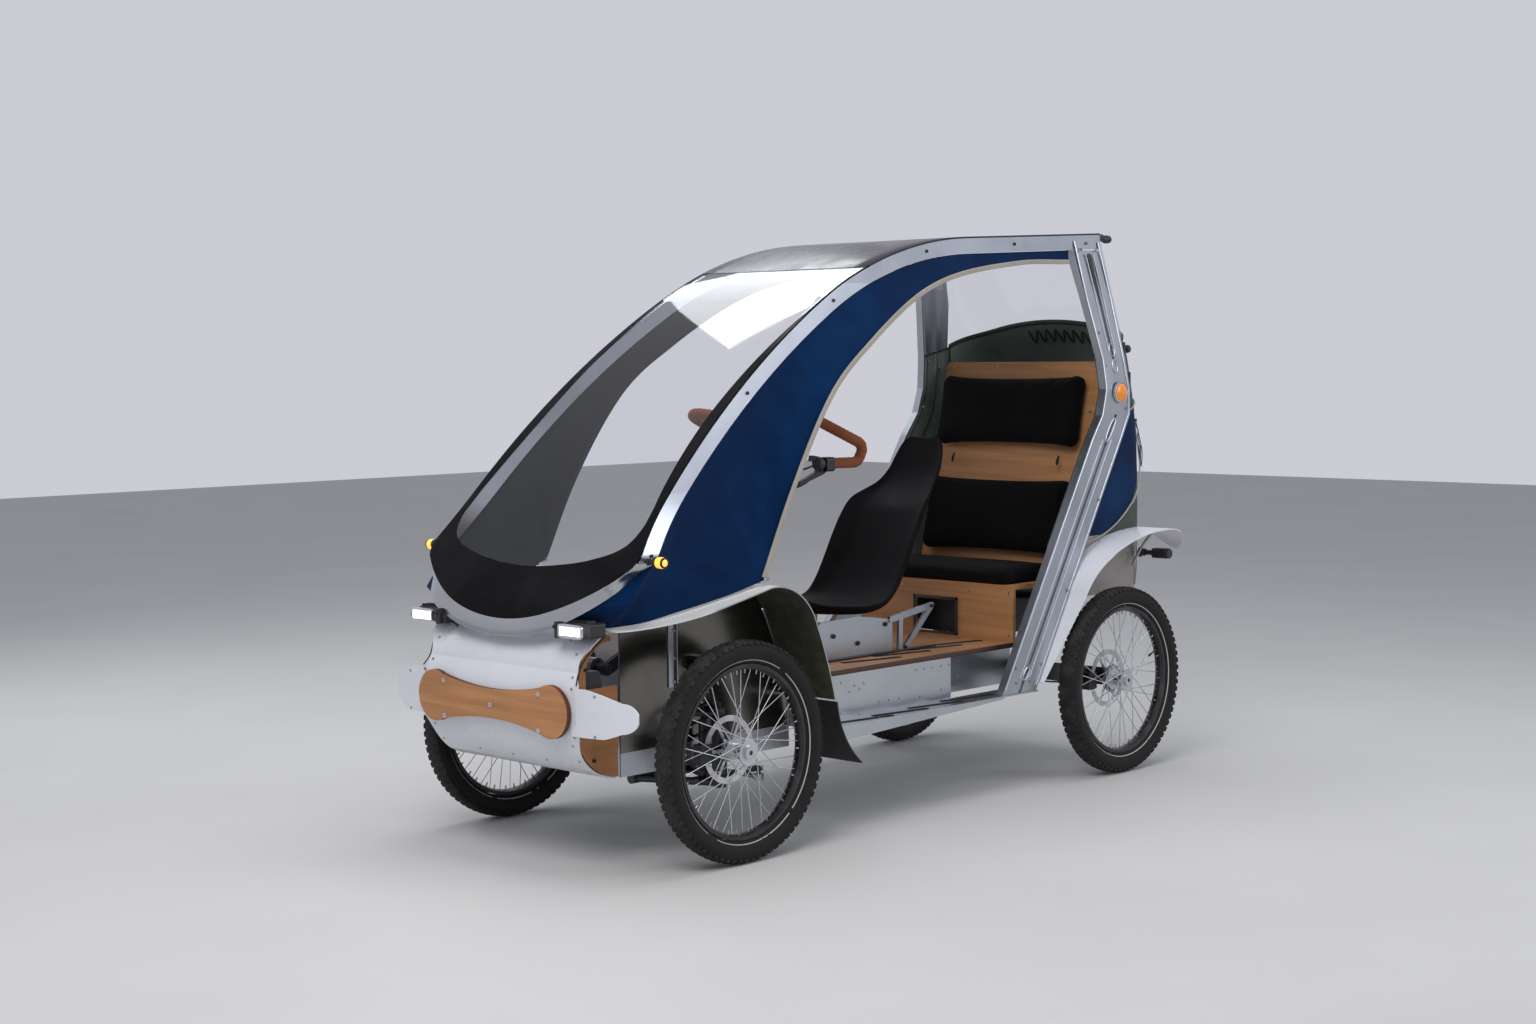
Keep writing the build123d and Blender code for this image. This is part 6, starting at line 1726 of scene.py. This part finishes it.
TAIL = (382.0, 1752.0, 594.0)
TAIL_CUP = [
    (0.0132, 0.0), (0.0140, 0.001), (0.0142, 0.006), (0.0128, 0.0086), (0.0100, 0.0092), (0.0090, 0.0080),
    (0.0004, 0.0080),
]
TAIL_SHELLS = [  # distance out from the lamp's middle, profile, sides
    (0.0205, TAIL_CUP, 32),
    (-0.060, [(0.0105, 0.0), (0.0112, 0.003), (0.0098, 0.006)], 24),
    (-0.072, [(0.0145, 0.0), (0.0150, 0.002), (0.0120, 0.004)], 24),
]
tail = Shape("tail_lamp_lenses")
tail_body = Shape("tail_lamp_housings")
for side in (1, -1):
    centre = mirrored(side, TAIL)
    tail.block(centre + Vector((side * 0.003, 0.0172, 0)), (0.032, 0.006, 0.020), round=0.003)
    for x, profile, sides in TAIL_SHELLS:
        tail_body.turned(centre + Vector((side * x, 0, 0)), (side, 0, 0), profile, sides=sides)
ROOF_LAMP = (263.0, 1603.0, 1486.0)
ROOF_LAMP_SHELL = [
    (0.0070, 0.0), (0.0084, 0.006), (0.0078, 0.016), (0.0062, 0.022), (0.0066, 0.028), (0.0102, 0.034)
]
ROOF_LAMP_SHELL += [(0.0116, 0.042), (0.0116, 0.052), (0.0104, 0.058), (0.0092, 0.0585)]
ROOF_LAMP_LENS = [(0.0090, -0.001), (0.0086, 0.003), (0.0060, 0.0055), (0.0005, 0.0062)]
for side in (1, -1):
    centre = mirrored(side, ROOF_LAMP)
    tail.turned(centre + Vector((0, 0.0570, 0)), (0, 1, 0), ROOF_LAMP_LENS, sides=24)
    tail_body.turned(centre, (0, 1, 0), ROOF_LAMP_SHELL, sides=28)
tail.make(RED, "amber_plastic", bevel=0.0006)
tail_body.make(BLACK_PLASTIC, "dark_plastic")

# ------------------------------------------------------------ nose, plate and cheeks
PLATE_SCREW = [
    (0.0062, 0.0),
    (0.0062, 0.0012),
    (0.0052, 0.0018),
    (0.0048, 0.0036),
    (0.0036, 0.0042),
    (0.0024, 0.0042),
    (0.0022, 0.0024),
    (0.0003, 0.0024),
]
screws = Shape("plate_screws")
for x, z in ((170, 414), (-170, 414), (169, 331), (-169, 331), (0, 373)):
    screws.turned(at(x, -399.2, z), (0, -1, 0), PLATE_SCREW, sides=18)
screws.make(CHROME, "steel", bevel=0.0002)

nose_rivets = Shape("nose_rivets")
NOSE_RIVETS = [
    (246, 505), (250, 455), (263, 432), (263, 322), (248, 300), (244, 262), (120, 250), (0, 250),
    (262, 378), (330, 420), (330, 330),
]
for x, z in NOSE_RIVETS:
    for side in (1, -1) if x else (1,):
        nose_rivets.stud("nose_panel", at(side * x, -600, z), (0, 1, 0), 0.0036, 0.0018)
for side in (1, -1):
    for y in (-255, -200, -140, -80, -20, 45):
        nose_rivets.stud("front_wings", at(side * 275, y, 900), (0, 0, -1), 0.0034, 0.0018)
nose_rivets.make(STEEL, "steel")

# bolts that hold the nose sheet to the cheeks
clips = Shape("nose_clips")
for side in (1, -1):
    for y, z in ((-352, 470), (-372, 400), (-371, 344), (-330, 262)):
        clips.bolt(at(side * 263.0, y + 12, z), (side, 0, 0), 0.0042, 0.004)
clips.make(DARK_STEEL_AND_GROOVE_SHADE, "steel")

# boxes behind the cheeks, each with three short leads
BOX_CORNERS = [(-347, 464), (-288, 462), (-279, 421), (-300, 414), (-346, 430)]
junction = Shape("nose_side_boxes")
for side in (1, -1):
    junction.prism([at(side * 252, y, z) for y, z in BOX_CORNERS], (-side * 0.030, 0, 0))
    for k in range(3):
        lead = [(238, -300 + 9 * k, 428), (240, -276 + 8 * k, 396), (236, -250, 372 - 8 * k)]
        junction.tube([mirrored(side, p) for p in lead], 0.0028, sides=8)
junction.make(BLACK_PLASTIC, "dark_plastic", bevel=0.003)

# anti-slip strips over the slots of the boards and the deck
STRIP_LENGTH = 0.190
strips = Shape("tread_strips")
BOARD_STRIPS = [(338, 518), (332, 662), (322, 814), (310, 958)]
DECK_STRIPS = [(212, 688), (190, 836), (178, 986), (158, 1095)]
for side in (1, -1):
    for rows_of, level, width, slant in ((BOARD_STRIPS, 262.6, 0.017, 8), (DECK_STRIPS, 382.6, 0.019, 12)):
        for x, y in rows_of:
            a = radians(slant)
            heading = (side * sin(a), cos(a), 0)
            strips.block(at(side * x, y, level), (STRIP_LENGTH, width, 0.0012), along=heading, round=0.007)
strips.make(STRIP_RUBBER, "rubber_flap")

# a black tube along the hoop's foot, against the nose sheet
FOOT_TUBE_END = 0.24  # share of the hoop's outline
foot_tube = Shape("hoop_foot_tube")
path = []
for k in range(-40, 41):
    ox, oz = hoop_point(abs(k) / 40 * FOOT_TUBE_END)
    sign = -1 if k < 0 else 1
    path.append(at(sign * ox * 0.985, by_height(oz)[0] + 22, oz - 2))
foot_tube.tube(path, 0.0075, sides=10)
foot_tube.make(RUBBER, "rubber_flap")

# thin dark edging beside the lobes
NOSE_EDGE = [(292, -301, 548), (281, -330, 520), (270, -350, 492), (266, -364, 462), (274, -378, 440)]
nose_edge = Shape("nose_edging")
for side in (1, -1):
    nose_edge.tube(curve_points([mirrored(side, p) for p in NOSE_EDGE]), 0.0016, sides=6)
nose_edge.make(CORD_BLACK, "dark_plastic")

# ------------------------------------------------------------ arch and chassis fittings
uprights = Shape("arch_uprights")
for side in (1, -1):
    for y, size in ((-80, (0.003, 0.016, 0.150)), (-64, (0.011, 0.0026, 0.150))):
        uprights.block(at(side * 268.5, y, 478), size, round=0.0008)
    for z in (415, 470, 535):
        uprights.bolt(at(side * 270.5, -72, z), (side, 0, 0), 0.0034, 0.0026)
uprights.make(ALUMINIUM, "aluminium")

# arch liners: darker sheets over the arch panels under the wing, partly their own colour and partly painted
# shade from the wing
LINER_FRONT, LINER_REAR, LINER_FOOT = -239, 314, 268


def liner_top(y):
    """Height of the liner's upper edge at a distance behind the front axle."""
    if y < -200:
        return 556
    if y < -90:
        return 592
    for start, height, slope in ((238, 538, -2.25), (205, 596, -1.75), (110, 626, -0.30), (-90, 592, 0.17)):
        if y >= start:
            return height + (y - start) * slope


liner = Shape("arch_painted_shade_liners")
for side in (1, -1):
    rows = []
    for y in (LINER_FRONT + i / 30 * (LINER_REAR - LINER_FRONT) for i in range(31)):
        rise = max(liner_top(y), LINER_FOOT + 4) - LINER_FOOT
        rows.append([at(side * 266.2, y, LINER_FOOT + rise * j / 14) for j in range(15)])
    liner.grid(rows, flip=side > 0)
liner.make(ARCH_LINER_PAINTED_SHADE, "aluminium")

WEB_RIVET_SIZE = (0.0034, 0.0016)
web = Shape("web_rivets")
WEB_RIVETS = [
    (498, 350), (529, 325), (548, 338), (567, 327), (583, 340), (497, 273), (566, 264), (803, 281),
    (888, 289),
]
WEB_RIVETS += [(787 + 34 * k, 352) for k in range(6)] + [(640 + 40 * k, 286) for k in range(3)] + [
    (420 + 26 * k, 300 + 12 * (k % 2)) for k in range(2)
]
WEB_RIVETS += [(1000, 300 + 22 * k) for k in range(3)] + [(1040, 300 + 22 * k) for k in range(3)]
for side in (1, -1):
    for y, z in WEB_RIVETS:
        start, inward = at(side * 420, y, z), (-side, 0, 0)
        web.stud("chassis_frame", start, inward, *WEB_RIVET_SIZE, keep=lambda place: abs(place.x) > 0.2)
    for y in (430, 560, 690, 820, 950, 1060):
        web.stud("running_boards", at(side * 352, y, 500), (0, 0, -1), *WEB_RIVET_SIZE)
web.make(STEEL, "steel")

DECK_EDGE = [(278.4, 369.9), (278.7, 371), (278.7, 381), (278.0, 382.4), (274, 382.5)]
deck_edge = Shape("deck_edging")
for side in (1, -1):
    rows = [[at(side * x, y, z) for x, z in DECK_EDGE] for y in steps_between(324, 1202, 30)]
    deck_edge.grid(rows, flip=side < 0)
deck_edge.make(DARK_EDGE, "plywood")
deck_screws = Shape("deck_screws")
for side in (1, -1):
    for x, y in ((262, 350), (262, 560), (262, 980), (262, 1150), (100, 350), (100, 1180), (60, 620)):
        start = at(side * x, y, 700)
        deck_screws.stud("deck", start, (0, 0, -1), 0.0038, 0.0012, keep=lambda place: place.z < 0.39)
deck_screws.make(STEEL, "steel")

hatch = Shape("bench_hatch_frame")
for x0, z0, x1, z1 in ((-80, 388, 80, 394), (-80, 484, 80, 492), (-80, 388, -72, 492), (72, 388, 80, 492)):
    size = ((x1 - x0) / 1000, 0.003, (z1 - z0) / 1000)
    hatch.block(at((x0 + x1) / 2, 1203.6, (z0 + z1) / 2), size, round=0.0012)
hatch.make(BLACK_PLASTIC, "dark_plastic")

BACK_SCREWS = [
    (-255, 1128), (-90, 1128), (90, 1128), (255, 1128), (-262, 860), (262, 860), (-262, 1000), (262, 1000),
    (-262, 700), (262, 700),
]
BOX_SCREWS = [(-258, 400), (258, 400), (-258, 515), (258, 515), (-120, 515), (120, 515)]
bench_screws = Shape("bench_screws")
for node, places in (("bench_back", BACK_SCREWS), ("bench_box", BOX_SCREWS)):
    for x, z in places:
        bench_screws.stud(node, at(x, 800, z), (0, 1, 0), 0.0042, 0.0014)
bench_screws.make(STEEL, "steel")

loops = Shape("cushion_cords")
for z_up, x in ((0.012, -0.19), (0.012, 0.19), (0.322, -0.19), (0.322, 0.19)):
    base = BACK_FACE + BACK_UP * z_up + BACK_OUT * 0.010 + Vector((x, 0, 0))
    path = [
        base,
        base + BACK_OUT * 0.006 - BACK_UP * 0.012 + Vector((0.004, 0, 0)),
        base + BACK_OUT * 0.004 - BACK_UP * 0.026,
        base - BACK_UP * 0.016 - Vector((0.006, 0, 0)),
        base + BACK_OUT * 0.002,
    ]
    loops.tube(curve_points(path, 6), 0.0022, sides=8)
loops.make(CORD_BLACK, "cushion_fabric")

rail_parts = Shape("seat_rail_fittings")
for side in (1, -1):
    for y, z in ((606, 447), (810, 460), (556, 403), (700, 420)):
        rail_parts.bolt(at(side * 154.2, y, z), (side, 0, 0), 0.0062, 0.005)
    rail_parts.tube([at(side * 160, y, 386) for y in steps_between(512, 1010, 12)], 0.0055, sides=8, flat=0.6)
    rail_parts.bolt(at(side * 158.5, 996, 493), (side, 0, 0), 0.0052, 0.005)
    rail_parts.bolt(at(side * 158.5, 886, 392), (side, 0, 0), 0.0052, 0.005)
rail_parts.make(BLACK_PLASTIC, "dark_plastic")

window_edge = Shape("window_beading")
path = [trunk_surface(i / 80, 1.0, 1.6) + Vector((0, 0, 0.006)) for i in range(81)]
window_edge.tube(path, 0.0030, sides=8)
window_edge.make(BLACK_PLASTIC, "dark_plastic")

fender_lip = Shape("fender_fittings")
for side in (1, -1):
    for y in (1290, 1400, 1520, 1640):
        fender_lip.stud("rear_fenders", at(side * 332, y, 900), (0, 0, -1), 0.0036, 0.0018)
    brace = [mirrored(side, p) for p in ((318, 1700, 560), (345, 1716, 620), (372, 1722, 655))]
    fender_lip.tube(curve_points(brace, 6), 0.0036, sides=8)
fender_lip.make(STEEL, "steel")

flap_screws = Shape("flap_screws")
for side in (1, -1):
    for x in (300, 345, 400):
        flap_screws.stud("mud_flaps", at(side * x, 600, 322), (0, -1, 0), 0.0042, 0.003, bolt=True)
flap_screws.make(STEEL, "steel")

# ------------------------------------------------------------ handlebar, levers and cables
BAR_ROUTE = [
    (0, 502, 948), (104, 470, 1012), (214, 440, 1024), (236, 640, 938), (230, 618, 896), (222, 500, 897)
]
BAR_BENDS = [60.0, 46.0, 22.0, 20.0]


FILLET_STEPS = 10


def filleted(points, radii):
    """A polyline with rounded corners, as evenly shaped rows of points."""
    points = [Vector(p) for p in points]
    path = [points[0]]
    for before, corner, after, radius in zip(points, points[1:], points[2:], radii):
        a, b = (before - corner).normalized(), (after - corner).normalized()
        half = a.angle(b) / 2
        reach = radius / tan(half)
        centre = corner + (a + b).normalized() * (radius / sin(half))
        start, end = corner + a * reach - centre, corner + b * reach - centre
        for k in range(FILLET_STEPS + 1):
            path.append(centre + start.slerp(end, k / FILLET_STEPS).normalized() * radius)
    path.append(points[-1])
    return path


def spaced(path, gap):
    """Points at an even gap along a path."""
    out, carry = [path[0]], 0.0
    for a, b in zip(path, path[1:]):
        length = (b - a).length
        d = gap - carry
        while d <= length:
            out.append(a + (b - a) * (d / length))
            d += gap
        carry = length - (d - gap)
    out.append(path[-1])
    return out


TAPE_PITCH, TAPE_START, TAPE_STEP = 15.0, 62.0, 2.5  # one turn, where it starts, and the points' gap
TAPE_COLLAR = [(0.0136, 0.0), (0.0148, 0.001), (0.0150, 0.008), (0.0146, 0.012)]
END_PLUG = [(0.0140, -0.004), (0.0150, -0.002), (0.0150, 0.004), (0.0110, 0.008), (0.0006, 0.009)]
route = spaced(filleted(BAR_ROUTE, BAR_BENDS), TAPE_STEP)
taped = [p for k, p in enumerate(route) if k * TAPE_STEP > TAPE_START]
radii = []
for k in range(len(taped)):
    turn = (k * TAPE_STEP / TAPE_PITCH) % 1.0
    radii.append((13.2 + turn + (0.3 if turn > 0.9 else 0)) / 1000)
radii[-1] = radii[-2] = 0.0135
tape = Shape("handlebar_tape")
caps = Shape("handlebar_caps")
for side in (1, -1):
    tape.tube([mirrored(side, p) for p in taped], radii, sides=20)
    run = (taped[1] - taped[0]).normalized()
    run = Vector((side * run.x, run.y, run.z))
    caps.turned(mirrored(side, taped[0]) - run * 0.006, run, TAPE_COLLAR, sides=24)
    end = taped[-1]
    caps.turned(at(side * end.x, end.y - 0.5, end.z), (0, -1, 0), END_PLUG, sides=24)
tape.make(TAPE, "grip_tape", body="handlebar", crease=60)
caps.make(BLACK_PLASTIC, "dark_plastic", body="handlebar")

GRIP_END = BAR_ROUTE[-1]
LEVER_BLADE = [(-2, 18, -14), (-2, -10, -20), (-3, -50, -34), (-4, -88, -47)]  # from the grip's end
LEVER_RADII = [0.0068] * 6 + [0.0062] * 6 + [0.0052] * 6 + [0.0058]
LEVER_CLAMP = [(0.0150, 0.0), (0.0162, 0.0015), (0.0162, 0.017), (0.0150, 0.0185)]
LEVER_PIVOT = [(0.0052, 0.0), (0.0060, 0.001), (0.0060, 0.0045), (0.0040, 0.005)]
levers = Shape("brake_levers")
clamps = Shape("lever_clamps")
red = Shape("lever_pivots")
x, y, z = GRIP_END
for side in (1, -1):
    blade = [at(side * (x + dx), y + dy, z + dz) for dx, dy, dz in LEVER_BLADE]
    levers.tube(curve_points(blade, 6), LEVER_RADII, sides=12, flat=0.62)
    clamps.turned(at(side * x, y - 26, z), (0, 1, 0), LEVER_CLAMP, sides=28)
    clamps.block(at(side * x, y - 17, z - 18), (0.012, 0.020, 0.020), round=0.003)
    clamps.block(at(side * (x - 13), y - 20, z + 12), (0.022, 0.024, 0.014), up=(0, 0.2, 1), round=0.004)
    clamps.bolt(at(side * (x + 8), y - 17, z - 17), (side, 0, 0), 0.0040, 0.004)
    red.turned(at(side * (x - 10), y - 17, z - 18), (side, 0, 0), LEVER_PIVOT, sides=20)
levers.make(DARK_STEEL_AND_GROOVE_SHADE, "dark_plastic", body="handlebar")
clamps.make(BLACK_PLASTIC, "dark_plastic", body="handlebar", bevel=0.0006)
red.make(RED_METAL, "aluminium", body="handlebar")

COLUMN_FOOT, COLUMN_HEAD = (0, 130, 216.5), (0, 452, 850)
foot, head = at(*COLUMN_FOOT), at(*COLUMN_HEAD)
column_run = Vector([b - a for a, b in zip(COLUMN_FOOT, COLUMN_HEAD)]).normalized()
STEM_COLLARS = [  # distance up the column from its head, profile
    (-0.004, [(0.0185, 0.0), (0.0205, 0.001), (0.0205, 0.024), (0.0185, 0.026)]),
    (0.060, [(0.0175, 0.0), (0.0195, 0.001), (0.0195, 0.030), (0.0175, 0.032)]),
]
stem = Shape("stem_clamp")
for d, profile in STEM_COLLARS:
    stem.turned(head + column_run * d, column_run, profile, sides=32)
stem.block(at(0, 502, 948), (0.052, 0.034, 0.036), up=(0, 0.1, 1), round=0.008)
for x in (-18, 18):
    for z in (957, 939):
        stem.bolt(at(x, 484, z), (0, -1, 0.2), 0.0036, 0.004)
stem.make(BLACK_PLASTIC, "steel", body="handlebar", bevel=0.001)

CABLE_RUNS = [  # radius, route
    (0.0026, [(214, 470, 892), (206, 440, 884), (150, 424, 872), (80, 432, 862), (32, 446, 872)]),
    (0.0022, [(206, 492, 884), (192, 470, 850), (150, 452, 834), (88, 450, 842), (34, 458, 866)]),
]
HOSE_RUNS = [
    (0.0026, [(300, 1450, 300), (306, 1440, 340), (306, 1380, 372), (292, 1290, 360), (268, 1230, 345)]),
    (0.0024, [(316, 1200, 300), (322, 1260, 278), (324, 1310, 268), (318, 1380, 262), (302, 1430, 272)]),
]


def add_runs(shape, runs):
    """Adds each run of cable or hose on both sides."""
    for side in (1, -1):
        for radius, route in runs:
            shape.tube(curve_points([mirrored(side, p) for p in route]), radius, sides=8)


cables = Shape("control_cables")
add_runs(cables, CABLE_RUNS)
cables.make(CORD_BLACK, "dark_plastic", body="handlebar")

COLUMN_COLLAR = [(0.0168, 0.0), (0.0200, 0.001), (0.0200, 0.016), (0.0168, 0.017)]
column_rings = Shape("column_collars")
for share in (0.03, 0.30, 0.93):
    column_rings.turned(foot + (head - foot) * share, column_run, COLUMN_COLLAR, sides=32)
for x in (0.0195, -0.0195):
    path = [foot + column_run * d + Vector((x, 0, 0)) for d in (0.05, 0.2, 0.4, 0.6)]
    column_rings.tube(path, 0.0030, sides=8)
column_rings.make(BLACK_PLASTIC, "dark_plastic")

# ------------------------------------------------------------ crank, pedals and chain wheel
CRANK_Y, CRANK_Z = -100, 430
CRANK_ANGLE = radians(25.0)
CHAINWHEEL_TEETH, CHAINWHEEL_BOLTS = 40, 5
TOOTH = [(-0.0042, 0.0), (0.0042, 0.0), (0.0018, 0.0066), (-0.0018, 0.0066)]  # across, outwards
crank_run = ring(CRANK_ANGLE)
crank_up = Vector((0, -crank_run.z, crank_run.y))
teeth = Shape("chainwheel_teeth")
centre = at(-47.5, CRANK_Y, CRANK_Z)
for a in angles(CHAINWHEEL_TEETH):
    radial = crank_run * cos(a) + crank_up * sin(a)
    across = crank_up * cos(a) - crank_run * sin(a)
    base = centre + radial * 0.0668
    tooth = [base + across * i + radial * j - Vector((0.0012, 0, 0)) for i, j in TOOTH]
    teeth.prism(tooth, (0.0024, 0, 0))
for a in angles(CHAINWHEEL_BOLTS, 0.5):
    radial = crank_run * cos(a) + crank_up * sin(a)
    teeth.bolt(centre + radial * 0.0565 + Vector((-0.0025, 0, 0)), (-1, 0, 0), 0.0042, 0.003)
teeth.make(STEEL, "steel", body="crankset")

CRANK_LENGTH = 0.160
PEDAL_INNER, PEDAL_OUTER = 78, 158
PEDAL_CAP = [(0.011, 0.0), (0.0125, 0.001), (0.0125, 0.004), (0.008, 0.006), (0.0006, 0.006)]
CRANK_CAP = [(0.012, 0.0), (0.0135, 0.001), (0.0120, 0.0035), (0.0080, 0.004), (0.0008, 0.0035)]
pedals = Shape("pedal_cages")
for side in (1, -1):
    spindle = at(0, CRANK_Y, CRANK_Z) + crank_run * (side * CRANK_LENGTH)
    for u in (-0.037, 0.037):
        for x in steps_between(PEDAL_INNER, PEDAL_OUTER, 7):
            place = spindle + Vector((side * x / 1000, 0, 0)) + crank_run * u
            pedals.block(place, (0.006, 0.006, 0.0262), up=crank_up, round=0.0015)
    pedals.turned(spindle + Vector((side * 0.161, 0, 0)), (side, 0, 0), PEDAL_CAP, sides=24)
    pedals.turned(at(side * 75, CRANK_Y, CRANK_Z), (side, 0, 0), CRANK_CAP, sides=28)
pedals.make(BLACK_PLASTIC, "dark_plastic", body="crankset")

# ------------------------------------------------------------ sprockets and rear hoses
SPROCKET_RADII, SPROCKET_TEETH = (0.038, 0.035, 0.032, 0.029), 18
for side, name in ((1, "rear_left"), (-1, "rear_right")):
    centre = Vector((side * REAR_X, REAR_AXLE_Y, AXLE_Z / 1000))
    inward = Vector((-side, 0, 0))
    sprockets = Shape(name + "_sprockets")
    for k, radius in enumerate(SPROCKET_RADII):
        start = centre + inward * (0.0240 + 0.0036 * k)
        edge = []
        for j, a in enumerate(angles(SPROCKET_TEETH * 4)):
            edge.append(start + ring(a) * (radius + (0.0024 if j % 4 in (1, 2) else -0.0010)))
        sprockets.prism(edge, inward * 0.0018)
    sprockets.make(STEEL, "wheel_metal", body=name + "_wheel_body")

hoses = Shape("brake_hoses")
add_runs(hoses, HOSE_RUNS)
hoses.make(CORD_BLACK, "dark_plastic")

# ------------------------------------------------------------ floor, lights and camera
def flat_stage(name, material, points):
    """A flat piece of the studio, not part of the vehicle."""
    shape = Shape(name)
    shape.face(points)
    obj = shape.make(material, None, body=None)
    return obj


p = Paint("studio_floor")
speck = p.noise(900.0, detail=2)
soft = p.noise(1.4, detail=3)
tone = p.mix(p.ramp(soft, 0.2, 0.8), (0.56, 0.555, 0.55), (0.59, 0.585, 0.58))
tone = p.mix(p.ramp(speck, 0.55, 0.75, 0, 0.1), tone, (0.45, 0.44, 0.43))
FLOOR_PAINT = p.end(tone, 0.75, p.bump(speck, 0.12, 0.0004))
FLOOR_HALF = 14
flat_stage("studio_floor", FLOOR_PAINT, [Vector((-i * FLOOR_HALF, -j * FLOOR_HALF, 0)) for i, j in SQUARE])

world = bpy.data.worlds.new("studio_world")
bpy.context.scene.world = world
world.use_nodes = True
tree = world.node_tree
tree.nodes.clear()
light_fill = tree.nodes.new("ShaderNodeBackground")
light_fill.inputs["Color"].default_value = (0.86, 0.90, 1.0, 1)
light_fill.inputs["Strength"].default_value = 0.42
backdrop = tree.nodes.new("ShaderNodeBackground")
backdrop.inputs["Color"].default_value = (0.60, 0.60, 0.66, 1)
backdrop.inputs["Strength"].default_value = 1.0
path = tree.nodes.new("ShaderNodeLightPath")
choose = tree.nodes.new("ShaderNodeMixShader")
seen = path.outputs["Is Camera Ray"]
for ray in ("Is Glossy Ray", "Is Transmission Ray"):
    either = tree.nodes.new("ShaderNodeMath")
    either.operation = "MAXIMUM"
    tree.links.new(seen, either.inputs[0])
    tree.links.new(path.outputs[ray], either.inputs[1])
    seen = either.outputs[0]
tree.links.new(seen, choose.inputs[0])
tree.links.new(light_fill.outputs[0], choose.inputs[1])
tree.links.new(backdrop.outputs[0], choose.inputs[2])
world_out = tree.nodes.new("ShaderNodeOutputWorld")
tree.links.new(choose.outputs[0], world_out.inputs["Surface"])


def area_light(name, place, target, size, power, colour=(1, 1, 1)):
    """A rectangular light at a place, turned to its target."""
    data = bpy.data.lights.new(name, "AREA")
    data.shape = "RECTANGLE"
    data.size, data.size_y = size
    data.energy = power
    data.color = colour
    obj = bpy.data.objects.new(name, data)
    obj.location = place
    obj.rotation_euler = (Vector(target) - Vector(place)).to_track_quat("-Z", "Y").to_euler()
    bpy.context.scene.collection.objects.link(obj)
    return obj


key_panel = area_light("key_panel", (1.6, -3.4, 3.6), (0, -0.2, 0.6), (2.6, 2.0), 92, (1.0, 0.98, 0.95))
key_panel.visible_glossy = False
area_light("side_panel", (4.2, 1.6, 2.6), (0, 0.2, 0.6), (2.6, 2.0), 50, (0.95, 0.97, 1.0))
top_panel = area_light("top_panel", (0.0, 0.3, 4.2), (0, 0, 0), (3.4, 3.4), 74)
top_panel.visible_glossy = False
far_panel = area_light("far_panel", (-3.6, -1.2, 2.6), (0, 0, 0.7), (2.4, 1.8), 34, (0.96, 0.98, 1.0))
far_panel.visible_glossy = False

# a softbox over the far side, mirrored in the windscreen
p = Paint("softbox_cloth")
shine = p.add("Emission", None, Color=(0.93, 0.96, 1.0, 1), Strength=5.5)
p.show(shine)
SOFTBOX = [(-1755, 896), (-2560, 1720), (-2470, 3100), (-1900, 2600), (-1560, 1640), (-1534, 1381)]
softbox = flat_stage("softbox", p.mat, [at(x, y, 3000) for x, y in SOFTBOX])
softbox.visible_camera = False
softbox.visible_diffuse = False
softbox.visible_shadow = False

camera_data = bpy.data.cameras.new("camera")
camera_data.lens = 53.82
camera_data.sensor_width = 36
camera_data.clip_end = 60
camera = bpy.data.objects.new("camera", camera_data)
azimuth, elevation, roll = radians(43.76), radians(3.97), radians(-0.52)
back = Vector((sin(azimuth) * cos(elevation), -cos(azimuth) * cos(elevation), sin(elevation)))
right = (-back).cross(Vector((0, 0, 1))).normalized()
up = right.cross(-back)
right_rolled = right * cos(roll) + up * sin(roll)
up_rolled = up * cos(roll) - right * sin(roll)
camera.matrix_world = Matrix.Translation((4.0876, -4.4640, 1.1750)) @ Matrix(
    (
        (right_rolled.x, up_rolled.x, back.x),
        (right_rolled.y, up_rolled.y, back.y),
        (right_rolled.z, up_rolled.z, back.z),
    )
).to_4x4()
bpy.context.scene.collection.objects.link(camera)
bpy.context.scene.camera = camera
bpy.context.scene.view_settings.view_transform = "Standard"

bpy.context.view_layer.update()
